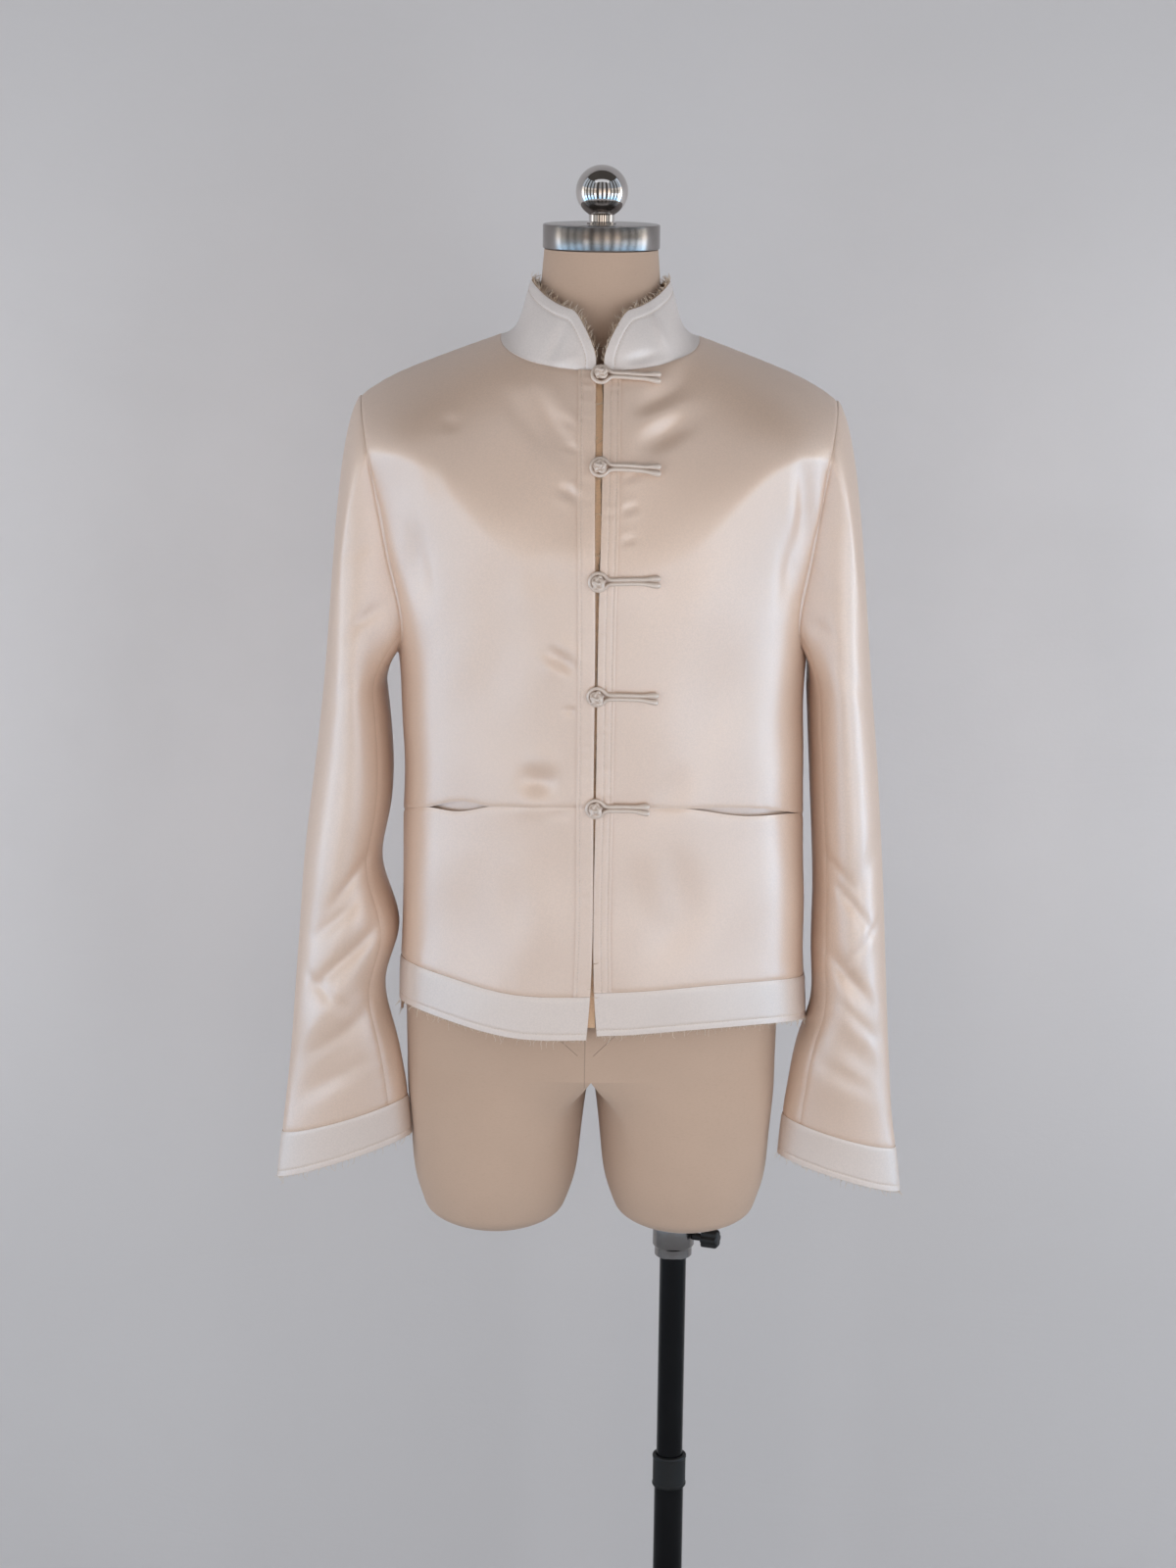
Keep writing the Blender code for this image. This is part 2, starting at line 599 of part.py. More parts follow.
def inset(points, bottom=0.0, top=0.0, start=0.0, end=0.0):
    """Moves the grid's outer rows and columns inwards along the cloth, which leaves the seam gaps."""

    def towards(a, b, distance):
        return a + (b - a).normalized() * distance

    rows, columns = len(points), len(points[0])
    if start or end:
        for i in range(rows):
            if start:
                points[i][0] = towards(points[i][0], points[i][1], start)
            if end:
                points[i][-1] = towards(points[i][-1], points[i][-2], end)
    for j in range(columns):
        if bottom:
            points[0][j] = towards(points[0][j], points[1][j], bottom)
        if top:
            points[-1][j] = towards(points[-1][j], points[-2][j], top)
    return points


def new_object(name, mesh, finish):
    obj = bpy.data.objects.new(name, mesh)
    bpy.context.scene.collection.objects.link(obj)
    mesh.materials.append(material(finish))
    return obj


def material(finish):
    made = bpy.data.materials.get(finish)
    if made is None:
        made = bpy.data.materials.new(finish)
        made.use_nodes = True
        shader = made.node_tree.nodes["Principled BSDF"]
        shader.inputs["Base Color"].default_value = (*FINISHES[finish].colour, 1.0)
        shader.inputs["Roughness"].default_value = FINISHES[finish].roughness
        shader.inputs["Metallic"].default_value = FINISHES[finish].metallic
    return made


def mesh_object(name, points, faces, finish):
    """A named object from points and faces, with its faces turned outwards."""
    mesh = bpy.data.meshes.new(name)
    mesh.from_pydata([tuple(p) for p in points], [], faces)
    work = bmesh.new()
    work.from_mesh(mesh)
    bmesh.ops.recalc_face_normals(work, faces=work.faces)
    work.to_mesh(mesh)
    work.free()
    mesh.shade_smooth()
    mesh.set_sharp_from_angle(angle=math.radians(40))
    return new_object(name, mesh, finish)


def cloth_wall(name, grid, normals, thickness, finish="satin", round_it=False):
    """A closed wall whose outer face is the grid; round_it joins its last column to its first."""
    rows, columns = len(grid), len(grid[0])
    outer = [p for row in grid for p in row]
    inner = [
        p - n * thickness
        for row, row_normals in zip(grid, normals)
        for p, n in zip(row, row_normals)
    ]
    count = len(outer)
    wrap = columns if round_it else columns - 1
    faces = []

    def at(i, j):
        return i * columns + j % columns

    for i in range(rows - 1):
        for j in range(wrap):
            for ends in ((i, j + 1), (i + 1, j + 1)), ((i + 1, j + 1), (i + 1, j)):
                cell = (at(i, j), at(*ends[0]), at(*ends[1]))
                faces.append(cell)
                faces.append(tuple(count + k for k in reversed(cell)))
    for i, turn in ((0, False), (rows - 1, True)):
        for j in range(wrap):
            rim = (at(i, j), at(i, j + 1), count + at(i, j + 1), count + at(i, j))
            faces.append(rim if turn else tuple(reversed(rim)))
    if not round_it:
        for j, turn in ((0, True), (columns - 1, False)):
            for i in range(rows - 1):
                rim = (at(i, j), at(i + 1, j), count + at(i + 1, j), count + at(i, j))
                faces.append(rim if turn else tuple(reversed(rim)))
    return mesh_object(name, outer + inner, faces, finish)


def tube(name, path, finish, radius=CORD_RADIUS, sides=CORD_SIDES):
    """A closed round solid along a path."""
    points, faces = [], []
    across = None
    for i, point in enumerate(path):
        ahead = path[min(i + 1, len(path) - 1)] - path[max(i - 1, 0)]
        ahead.normalize()
        if across is None:
            across = ahead.orthogonal().normalized()
        across = (across - ahead * across.dot(ahead)).normalized()
        other = ahead.cross(across)
        for k in range(sides):
            turn = 2 * math.pi * k / sides
            points.append(point + (across * math.cos(turn) + other * math.sin(turn)) * radius)
    for i in range(len(path) - 1):
        for k in range(sides):
            a, b = i * sides + k, i * sides + (k + 1) % sides
            faces.append((a, b, b + sides, a + sides))
    faces.append(tuple(reversed(range(sides))))
    faces.append(tuple(range(len(points) - sides, len(points))))
    return mesh_object(name, points, faces, finish)


def turned(name, profile, finish, centre=(0.0, 0.0), sides=32, frame=None):
    """A solid turned about +Z, or about a frame's own Z, from (radius, height) pairs given bottom to top.

    A radius of 0 closes the solid at a pole; otherwise its ends are flat discs.
    """
    points, faces, rings = [], [], []
    for radius, height in profile:
        start = len(points)
        if radius == 0:
            points.append(Vector((0, 0, height)))
            rings.append([start] * sides)
            continue
        for k in range(sides):
            turn = 2 * math.pi * k / sides
            points.append(Vector((radius * math.cos(turn), radius * math.sin(turn), height)))
        rings.append(list(range(start, start + sides)))
    for low, high in zip(rings, rings[1:]):
        for k in range(sides):
            corners = (low[k], low[(k + 1) % sides], high[(k + 1) % sides], high[k])
            faces.append(tuple(dict.fromkeys(corners)))
    if profile[0][0] != 0:
        faces.append(tuple(reversed(rings[0])))
    if profile[-1][0] != 0:
        faces.append(tuple(rings[-1]))
    place = frame or Matrix.Translation((centre[0], centre[1], 0))
    return mesh_object(name, [place @ p for p in points], faces, finish)


# ---------------------------------------------------------------- the jacket's panels


def side_name(side):
    return "left" if side > 0 else "right"


def make_fronts():
    for side in (1, -1):
        name = side_name(side)

        def seam(u, side=side):
            x = section_x(u, waist_height(u))
            return waist_height(u) - pocket_part(side, x, "sag")

        def band_top(u, side=side):
            return hem_height(-1, side, u, HEM_BAND)

        def raw(u, side=side):
            return hem_height(-1, side, u)

        upper = upper_front_places(side)
        points, normals = points_of(-1, side, upper)
        inset(points, bottom=GAP / 2, top=GAP / 2, end=GAP / 2)
        cloth_wall(f"front_{name}_upper", points, normals, CLOTH)

        lower = lower_front_places(band_top, seam, LOWER_ROWS)
        points, normals = points_of(-1, side, lower)
        inset(points, bottom=GAP / 2, top=GAP / 2, end=GAP / 2)
        cloth_wall(f"front_{name}_lower", points, normals, CLOTH)

        places = lower_front_places(raw, band_top, 2)
        points, normals = points_of(-1, side, places, BAND_CLOTH - CLOTH)
        inset(points, top=GAP / 2, end=GAP / 2)
        cloth_wall(f"hem_band_{name}", points, normals, BAND_CLOTH)

        strip = [row[:2] for row in lower[:-1] + upper]
        points, normals = points_of(-1, side, strip, GAP + STRIP_CLOTH)
        inset(points, bottom=4 * GAP, top=4 * GAP, end=GAP)
        cloth_wall(f"front_strip_{name}", points, normals, STRIP_CLOTH)


def mirrored_back(places, lift=0.0):
    """A back grid from the wearer's right side seam to the left one."""
    right_points, right_normals = points_of(1, -1, places, lift)
    left_points, left_normals = points_of(1, 1, places, lift)
    points = [list(reversed(r))[:-1] + l for r, l in zip(right_points, left_points)]
    normals = [list(reversed(r))[:-1] + l for r, l in zip(right_normals, left_normals)]
    return points, normals


def make_back():
    points, normals = mirrored_back(back_half_places())
    inset(points, bottom=GAP / 2, top=GAP / 2, start=GAP / 2, end=GAP / 2)
    cloth_wall("back", points, normals, CLOTH)

    def band(side):
        return [
            [
                (j / BACK_COLUMNS, hem_height(1, side, j / BACK_COLUMNS, HEM_BAND * i / 2))
                for j in range(BACK_COLUMNS + 1)
            ]
            for i in range(3)
        ]

    points, normals = mirrored_back(band(1), BAND_CLOTH - CLOTH)
    inset(points, top=GAP / 2, start=GAP / 2, end=GAP / 2)
    cloth_wall("hem_band_back", points, normals, BAND_CLOTH)


def make_pocket_facings():
    """The cloth seen inside each pocket mouth, set back behind the waist seam."""
    columns = 8
    margin = 0.006
    for mouth in POCKETS:
        places = []
        for i in range(3):
            row = []
            for j in range(columns + 1):
                x = mouth.start - margin + (mouth.end - mouth.start + 2 * margin) * j / columns
                across = across_of(x, waist_height(0.5))
                row.append((across, waist_height(across) + POCKET_FACING_HEIGHT * (i / 2 - 0.5)))
            places.append(row)
        points, normals = points_of(-1, mouth.side, places, -POCKET_SET_BACK - CLOTH)
        cloth_wall(f"pocket_facing_{side_name(mouth.side)}", points, normals, CLOTH)


def neck_points(side):
    """The panels' own points round half the neckline, from the front edge to the centre back."""
    top = top_edge(-1, 1.0, neck_share(spline(FRONT_EDGE, "half_gap", NECK_FRONT_Z) + STRIP_WIDTH))
    places = [(-1, edge_place(NECK_FRONT_Z))]
    places += [(-1, top(k / NECK_COLUMNS)) for k in range(NECK_COLUMNS + 1)]
    places += [(1, neck_place(1, 1 - k / BACK_NECK_COLUMNS)) for k in range(1, BACK_NECK_COLUMNS + 1)]
    return [body_point(face, side, *place) for face, place in places]


def collar_bases(side):
    """The collar's foot: the panels' points, with more between them where its corner is round."""
    points = neck_points(side)
    bases = [points[0]]
    bases += [points[0].lerp(points[1], share) for share in COLLAR_CORNER_STEPS]
    bases += [points[1], points[1].lerp(points[2], 0.5), points[2]]
    return bases + points[3:]


def collar_column(base):
    """Points up the collar from a point of its foot."""
    turn = math.atan2(abs(base.x) / NECK_SIDE_X, abs(base.y - SEAM_Y) / COLLAR_FOOT_HALF_DEPTH)
    end_y = COLLAR_TOP_FRONT_Y if base.y < SEAM_Y else COLLAR_TOP_BACK_Y
    top_x = math.copysign(COLLAR_TOP_X * math.sin(turn), base.x)
    lean = Vector((top_x - base.x, end_y * math.cos(turn) - base.y, 0))
    height = COLLAR_HEIGHT
    reach = abs(base.x) - spline(FRONT_EDGE, "half_gap", NECK_FRONT_Z)
    if base.y < SEAM_Y and reach < COLLAR_CORNER:
        rest = 1 - max(reach, 0.0) / COLLAR_CORNER
        share = power(1 - rest**COLLAR_CORNER_POWER, 1 / COLLAR_CORNER_POWER)
        height = COLLAR_CORNER_START + (height - COLLAR_CORNER_START) * share
    outward = -lean.normalized()
    column = []
    for i in range(COLLAR_ROWS + 1):
        share = i / COLLAR_ROWS * height / COLLAR_HEIGHT
        bow = COLLAR_BOW * math.sin(math.pi * share)
        bow -= COLLAR_FLARE * math.sin(turn) ** 4 * math.sin(math.pi * share**0.5)
        up = Vector((0, 0, COLLAR_HEIGHT * share + GAP))
        column.append(base + lean * share + outward * bow + up)
    return column


def collar_grid():
    """(points, normals) of the stand collar from the right front edge round the back to the left one."""
    bases = collar_bases(-1) + list(reversed(collar_bases(1)))[1:]
    columns = [collar_column(base) for base in bases]
    points = [list(row) for row in zip(*columns)]
    normals = []
    for i in range(COLLAR_ROWS + 1):
        row = []
        for j in range(len(columns)):
            a = points[i][max(j - 1, 0)]
            b = points[i][min(j + 1, len(columns) - 1)]
            low, high = points[max(i - 1, 0)][j], points[min(i + 1, COLLAR_ROWS)][j]
            normal = (b - a).cross(high - low)
            if i == 0:
                normal.z = 0
            row.append(normal.normalized())
        normals.append(row)
    return points, normals


def make_collar():
    points, normals = collar_grid()
    cloth_wall("collar", points, normals, CLOTH)


# ---------------------------------------------------------------- sleeves


def armhole_ring(side):
    """Points round the armhole with the body's outward direction and the way out of its edge.

    The ring starts at the shoulder tip, goes down the front to the underarm and up the back.
    """
    count = 2 * ARMHOLE_ROWS
    ring = []
    for k in range(count):
        face = -1 if k <= ARMHOLE_ROWS else 1
        share = k / ARMHOLE_ROWS if face < 0 else 2 - k / ARMHOLE_ROWS
        place = armhole_place(face, share)
        ring.append((body_point(face, side, *place), body_normal(face, side, *place)))
    made = []
    for k, (point, normal) in enumerate(ring):
        along = ring[(k + 1) % count][0] - ring[k - 1][0]
        out = along.cross(normal) * -side
        made.append((point, normal, out.normalized()))
    return made


def sleeve_levels(side):
    return LEFT_SLEEVE if side > 0 else RIGHT_SLEEVE


def sleeve_section(side, turn, height):
    """A point of the sleeve's outer face at an angle from its outer edge round through the front."""
    levels = sleeve_levels(side)
    outer, inner = spline(levels, "outer", height), spline(levels, "inner", height)
    half = (outer - inner) / 2
    x = (outer + inner) / 2 + half * math.cos(turn)
    y = spline(levels, "middle_y", height) - spline(levels, "half_depth", height) * math.sin(turn)
    z = height + spline(levels, "tilt", height) * half * math.cos(turn)
    return Vector((side * x, y, z))


def sleeve_fold_depth(side, turn, height):
    """How far the sleeve's folds push its face in."""
    degrees = math.degrees(turn)
    total = 0.0
    for fold in SLEEVE_FOLDS:
        if fold.side != side:
            continue
        away = (degrees - fold.around + 180) % 360 - 180
        share = away / fold.reach
        if abs(share) >= 1:
            continue
        middle = fold.height + fold.rise * share
        across = (height - middle) / fold.half_width
        total += fold.depth * math.exp(-across * across) * math.cos(share * math.pi / 2) ** 2
    return total


def sleeve_folded(side, turn, point, amount=1.0):
    """A point of the sleeve's plain face, pushed in by the folds that cross it."""
    outward = sleeve_section(side, turn, point.z) - sleeve_section(side, turn + math.pi, point.z)
    return point - outward.normalized() * sleeve_fold_depth(side, turn, point.z) * amount


def sleeve_low_point(side, ring, k, height):
    """The sleeve's outer face below the head."""
    turn = 2 * math.pi * k / len(ring)
    return sleeve_folded(side, turn, sleeve_section(side, turn, height))


def sleeve_head_point(side, ring, k, share):
    """The sleeve's outer face over the head, at a share of the way down from the armhole."""
    turn = 2 * math.pi * k / len(ring)
    start, normal, out = ring[k % len(ring)]
    start = start + (normal + out).normalized() * ARMHOLE_GAP * math.sqrt(2)
    end = sleeve_section(side, turn, SLEEVE_HEAD_END)
    below = sleeve_section(side, turn, SLEEVE_HEAD_END - 0.01)
    length = (end - start).length
    fall = math.radians(SLEEVE_HEAD_FALL)
    spread = -SLEEVE_HEAD_SPREAD * math.sin(turn)
    leave = Vector((side * math.cos(fall), spread, -math.sin(fall))).normalized()
    leave *= length * (SLEEVE_HEAD_PUSH + SLEEVE_INNER_PUSH * smooth(-math.cos(turn)))
    arrive = (below - end).normalized() * length
    t = share
    point = (
        start * (2 * t**3 - 3 * t**2 + 1)
        + leave * (t**3 - 2 * t**2 + t)
        + end * (3 * t**2 - 2 * t**3)
        + arrive * (t**3 - t**2)
    )
    return sleeve_folded(side, turn, point, smooth(2 * share))


def sleeve_grid(side):
    """(points, normals, cuff rows) from the cuff's end up to the armhole, 24 points round."""
    ring = armhole_ring(side)
    count = len(ring)
    heights = []
    for i in range(SLEEVE_ROWS):
        heights.append(CUFF_TOP[side] + (SLEEVE_HEAD_END - CUFF_TOP[side]) * i / SLEEVE_ROWS)
    rows = [[sleeve_low_point(side, ring, k, height) for k in range(count)] for height in heights]
    for i in range(SLEEVE_HEAD_ROWS + 1):
        share = 1 - i / SLEEVE_HEAD_ROWS
        rows.append([sleeve_head_point(side, ring, k, share) for k in range(count)])
    normals = ring_normals(rows, side)
    for k, (_, _, out) in enumerate(ring):
        normal = normals[-1][k]
        normals[-1][k] = (normal - out * max(0.0, normal.dot(out))).normalized()
    return rows, normals


def ring_normals(rows, side):
    """Outward directions of rings that run from the bottom up."""
    count = len(rows[0])
    normals = []
    for i in range(len(rows)):
        low, high = rows[max(i - 1, 0)], rows[min(i + 1, len(rows) - 1)]
        row = []
        for k in range(count):
            along = rows[i][(k + 1) % count] - rows[i][k - 1]
            up = high[k] - low[k]
            row.append((up.cross(along) * side).normalized())
        normals.append(row)
    return normals


def columns_of(grid, first, last):
    """The columns from first round to last of a ring grid."""
    count = len(grid[0])
    return [[row[k % count].copy() for k in range(first, last + 1)] for row in grid]


def make_sleeves():
    for side in (1, -1):
        name = side_name(side)
        rows, normals = sleeve_grid(side)
        count = len(rows[0])
        pieces = (
            (f"sleeve_{name}_top", UNDER_END, UNDER_START + count),
            (f"sleeve_{name}_under", UNDER_START, UNDER_END),
        )
        halves = (
            ("forearm", slice(0, ELBOW_ROW + 1), {"bottom": GAP / 2, "top": GAP / 2}),
            ("arm", slice(ELBOW_ROW, None), {"bottom": GAP / 2}),
        )
        for piece, first, last in pieces:
            for half, part, gaps in halves:
                points = columns_of(rows[part], first, last)
                inset(points, start=GAP / 2, end=GAP / 2, **gaps)
                cloth_wall(f"{piece}_{half}", points, columns_of(normals[part], first, last), CLOTH)
        band_rows = 2
        ring = armhole_ring(side)
        low, high = CUFF_END[side], CUFF_TOP[side]
        heights = [low + (high - low) * i / band_rows for i in range(band_rows + 1)]
        cuff = [[sleeve_low_point(side, ring, k, height) for k in range(count)] for height in heights]
        cuff_normals = ring_normals(cuff, side)
        lift = BAND_CLOTH - CLOTH
        cuff = [[p + n * lift for p, n in zip(r, m)] for r, m in zip(cuff, cuff_normals)]
        inset(cuff, top=GAP / 2)
        cloth_wall(f"cuff_{name}", cuff, cuff_normals, BAND_CLOTH, round_it=True)


# ---------------------------------------------------------------- frog fastenings


def front_frame(height):
    """(place on the centre line, outward, up) of a frog. It faces as the cloth a little below it does."""
    place = body_point(-1, 1, 0.001, height)
    outward = body_normal(-1, 1, 0.001, height - FROG_DROOP)
    outward.x = 0
    outward.normalize()
    return place, outward, Vector((1, 0, 0)).cross(outward) * -1


def on_front(x, height, lift):
    """A point at a height and a distance from the centre line, above the left front's face."""
    across = across_of(max(x, 0.0005), height)
    out = body_normal(-1, 1, across, height - FROG_DROOP)
    return cloth_point(-1, 1, across, height) + out * lift


def loop_path(height):
    """The middle line of a frog's cord: in along the cloth, round the knot and back beside itself."""
    place, outward, up = front_frame(height)
    on_strip = GAP + STRIP_CLOTH + GAP + CORD_RADIUS
    strand, offsets = [], []
    for k in range(STRAND_POINTS):
        share = k / STRAND_POINTS
        x = FROG_LENGTH + (LOOP_RADIUS + CORD_RADIUS - FROG_LENGTH) * share
        offset = FROG_STRAND_SPREAD + (FROG_END_SPREAD - FROG_STRAND_SPREAD) * smooth(1 - 2.2 * share)
        off_strip = smooth((x - FROG_STEP_START) / FROG_STEP_LENGTH)
        strand.append(on_front(x, height, on_strip - (GAP + STRIP_CLOTH) * FROG_STEP * off_strip))
        offsets.append(offset)
    path = [point + up * offset for point, offset in zip(strand, offsets)]
    opening = math.asin(FROG_STRAND_SPREAD / LOOP_RADIUS) * FROG_OPENING
    centre = place + outward * on_strip
    for k in range(LOOP_TURNS + 1):
        angle = opening + (2 * math.pi - 2 * opening) * k / LOOP_TURNS
        sideways = Vector((LOOP_RADIUS * math.cos(angle), 0, 0))
        path.append(centre + sideways + up * LOOP_RADIUS * math.sin(angle))
    path += [point - up * offset for point, offset in reversed(list(zip(strand, offsets)))]
    return path


def knot_profile():
    """Half the outline of a knot with its shank, from the cloth out."""
    foot = GAP + STRIP_CLOTH + GAP
    ball = foot + CORD_RADIUS + KNOT_LIFT
    profile = [
        (KNOT_FOOT_RADIUS, foot),
        (KNOT_FOOT_RADIUS, foot + KNOT_FOOT_RISE),
        (KNOT_SHANK_RADIUS, foot + 2 * KNOT_FOOT_RISE),
    ]
    for k in range(1, KNOT_STEPS):
        angle = math.radians(KNOT_START + (90 - KNOT_START) * k / KNOT_STEPS)
        profile.append((KNOT_RADIUS * math.cos(angle), ball + KNOT_RADIUS * math.sin(angle)))
    return profile + [(0, ball + KNOT_RADIUS)]


def make_frogs():
    for number, height in enumerate(FROG_HEIGHTS, 1):
        tube(f"frog_loop_{number}", loop_path(height), "cord")
        place, outward, up = front_frame(height)
        frame = Matrix.Translation(place) @ Matrix((Vector((1, 0, 0)), up, outward)).transposed().to_4x4()
        turned(f"frog_knot_{number}", knot_profile(), "cord", sides=KNOT_SIDES, frame=frame)


# ---------------------------------------------------------------- dress form and stand


def form_ring(height):
    """Points round the form at a height, from the middle of the front towards the wearer's left."""
    ring = []
    for k in range(FORM_POINTS):
        turn = 2 * math.pi * k / FORM_POINTS
        s, c = math.sin(turn), math.cos(turn)
        x = math.copysign(power(abs(s), 2 / FORM_POWER), s) * spline(FORM, "half_width", height)
        reach = spline(FORM, "front" if c > 0 else "back", height)
        y = -math.copysign(power(abs(c), 2 / FORM_POWER), c) * reach
        ring.append(Vector((x, y + spline(FORM, "middle_y", height), height)))
    return ring


def thigh_ring(side, level, above):
    """Points round a thigh, one below each point of the ring above it."""
    centre = Vector((side * level.middle_x, level.middle_y, level.height))
    ring = []
    for upper in above:
        turn = math.atan2(upper.x * side - level.middle_x, -upper.y)
        width, depth = side * level.half_width * math.sin(turn), -level.half_depth * math.cos(turn)
        point = centre + Vector((width, depth, 0))
        ring.append(point.lerp(Vector((upper.x, upper.y, level.height)), level.trunk_share))
    return ring


def make_form():
    """The trunk as rings, which part at the crotch into two thighs with round ends."""
    heights = [row.height for row in FORM]
    levels = []
    for low, high in zip(heights, heights[1:]):
        levels.append(low)
        if high - low > FORM_STEP:
            levels.append((low + high) / 2)
    levels.append(heights[-1])
    rings = [form_ring(height) for height in levels]
    points, faces = [], []
    for ring in rings:
        points.extend(ring)
    for i in range(len(rings) - 1):
        for k in range(FORM_POINTS):
            a, b = i * FORM_POINTS + k, i * FORM_POINTS + (k + 1) % FORM_POINTS
            faces.append((a, b, b + FORM_POINTS, a + FORM_POINTS))
    last = (len(rings) - 1) * FORM_POINTS
    faces.append(tuple(range(last, last + FORM_POINTS)))

    half = FORM_POINTS // 2
    trunk = rings[0]
    crotch = []
    front, back = trunk[0], trunk[half]
    for k in range(1, CROTCH_POINTS + 1):
        share = k / (CROTCH_POINTS + 1)
        point = back.lerp(front, share)
        point.z = CROTCH_Z
        crotch.append(len(points))
        points.append(point)
    for side in (1, -1):
        order = range(half + 1) if side > 0 else [(FORM_POINTS - k) % FORM_POINTS for k in range(half + 1)]
        previous = list(order) + crotch
        above = [points[k] for k in previous]
        for level in THIGHS:
            start = len(points)
            points.extend(thigh_ring(side, level, above))
            ring = list(range(start, len(points)))
            for k in range(len(ring)):
                n = (k + 1) % len(ring)
                faces.append((previous[k], previous[n], ring[n], ring[k]))
            previous = ring
        faces.append(tuple(previous))
    mesh_object("form_body", points, faces, "form_cloth")


def ring_profile(outer, bore, bottom, top, bevel=EDGE_BEVEL):
    """A tube's outline, up its bore and down its outer side."""
    return (
        (bore, bottom),
        (bore, top),
        (outer - bevel, top),
        (outer, top - bevel),
        (outer, bottom + bevel),
        (outer - bevel, bottom),
    )


def pipe(name, profile, finish, sides=28):
    """A ring turned about the pole's axis, open through its middle."""
    points, faces = [], []
    for radius, height in profile:
        for k in range(sides):
            turn = 2 * math.pi * k / sides
            points.append(
                Vector((POLE_X + radius * math.cos(turn), POLE_Y + radius * math.sin(turn), height))
            )
    for i in range(len(profile)):
        n = (i + 1) % len(profile)
        for k in range(sides):
            m = (k + 1) % sides
            faces.append((i * sides + k, i * sides + m, n * sides + m, n * sides + k))
    return mesh_object(name, points, faces, finish)


def make_neck_fittings():
    turned(
        "neck_cap",
        (
            (CAP_RADIUS - EDGE_BEVEL, CAP_BOTTOM),
            (CAP_RADIUS, CAP_BOTTOM + EDGE_BEVEL),
            (CAP_RADIUS, CAP_TOP - EDGE_BEVEL),
            (CAP_RADIUS - EDGE_BEVEL, CAP_TOP),
        ),
        "steel",
        sides=40,
    )
    profile = [(STEM_RADIUS, CAP_TOP + GAP), (STEM_RADIUS, BALL_Z - STEM_DROP)]
    start = -math.asin(STEM_DROP / BALL_RADIUS)
    for k in range(1, BALL_STEPS):
        angle = start + (math.pi / 2 - start) * k / BALL_STEPS
        profile.append((BALL_RADIUS * math.cos(angle), BALL_Z + BALL_RADIUS * math.sin(angle)))
    profile.append((0, BALL_Z + BALL_RADIUS))
    turned("finial", profile, "chrome", sides=20)


def make_pole():
    pole = (POLE_X, POLE_Y)
    pipe(
        "pole_socket",
        ring_profile(SOCKET_RADIUS, INNER_POLE_RADIUS + GAP, SOCKET_BOTTOM, SOCKET_TOP),
        "steel",
    )
    turned(
        "pole_inner",
        ((INNER_POLE_RADIUS, INNER_POLE_BOTTOM), (INNER_POLE_RADIUS, SOCKET_TOP - GAP)),
        "black_paint",
        pole,
        24,
    )
    lock_bore = INNER_POLE_RADIUS + 2 * GAP
    seat, shoulder = OUTER_POLE_RADIUS + GAP, OUTER_POLE_TOP + GAP
    outline = ring_profile(LOCK_RADIUS, lock_bore, LOCK_BOTTOM, LOCK_TOP)
    lock = pipe(
        "pole_lock_ring",
        ((seat, LOCK_BOTTOM), (seat, shoulder), (lock_bore, shoulder)) + outline[1:],
        "black_plastic",
    )
    set_frame(lock, Matrix.Translation((POLE_X, POLE_Y, (LOCK_BOTTOM + LOCK_TOP) / 2)))
    tube_bottom, plug_top = BOSS_TOP + GAP, BOSS_TOP + OUTER_POLE_PLUG
    profile = (
        (0, tube_bottom),
        (OUTER_POLE_RADIUS - TUBE_BEVEL, tube_bottom),
        (OUTER_POLE_RADIUS, tube_bottom + TUBE_BEVEL),
        (OUTER_POLE_RADIUS, OUTER_POLE_TOP - TUBE_BEVEL),
        (OUTER_POLE_RADIUS - TUBE_BEVEL, OUTER_POLE_TOP),
        (OUTER_POLE_BORE, OUTER_POLE_TOP),
        (OUTER_POLE_BORE, plug_top),
        (0, plug_top),
    )
    turned("pole_outer", profile, "black_paint", pole, 28)


def make_base():
    profile = (
        (BASE_RADIUS - 0.002, 0.0),
        (BASE_RADIUS, 0.002),
        (BASE_RADIUS, BASE_THICK - 0.003),
        (BASE_RADIUS - 0.003, BASE_THICK),
        (BOSS_RADIUS + 0.002, BASE_THICK + 0.0015),
        (BOSS_RADIUS, BASE_THICK + 0.004),
        (BOSS_RADIUS - 0.004, BOSS_TOP),
    )
    turned("base", profile, "black_paint", (POLE_X, POLE_Y), 40)


def make_clamp_screw():
    """The clamp screw, which stands out of the socket towards the wearer's left and a little forwards."""
    turn = math.radians(SCREW_TURN)
    out = Vector((math.cos(turn), math.sin(turn), 0))
    across = Vector((-math.sin(turn), math.cos(turn), 0))
    middle = Vector((POLE_X, POLE_Y, (SOCKET_BOTTOM + SOCKET_TOP) / 2 + SCREW_RISE))
    frame = Matrix.Translation(middle) @ Matrix((across, Vector((0, 0, 1)), out)).transposed().to_4x4()
    face = SOCKET_RADIUS + GAP
    knob = face + SCREW_LENGTH
    profile = (
        (SCREW_RADIUS, face),
        (SCREW_RADIUS, knob),
        (KNOB_RADIUS - 0.001, knob),
        (KNOB_RADIUS, knob + 0.001),
        (KNOB_RADIUS, knob + KNOB_LENGTH - 0.002),
        (KNOB_RADIUS - 0.002, knob + KNOB_LENGTH),
    )
    screw = turned("clamp_screw", profile, "black_plastic", sides=KNOB_SIDES, frame=frame)
    set_frame(screw, frame)
    for k, vertex in enumerate(screw.data.vertices):
        if k >= 2 * KNOB_SIDES and k % 2:
            vertex.co.xy *= KNOB_GROOVE


def set_frame(obj, frame):
    """Gives an object its joint's frame as its own, with its shape left where it is."""
    obj.data.transform(frame.inverted())
    obj.matrix_world = frame


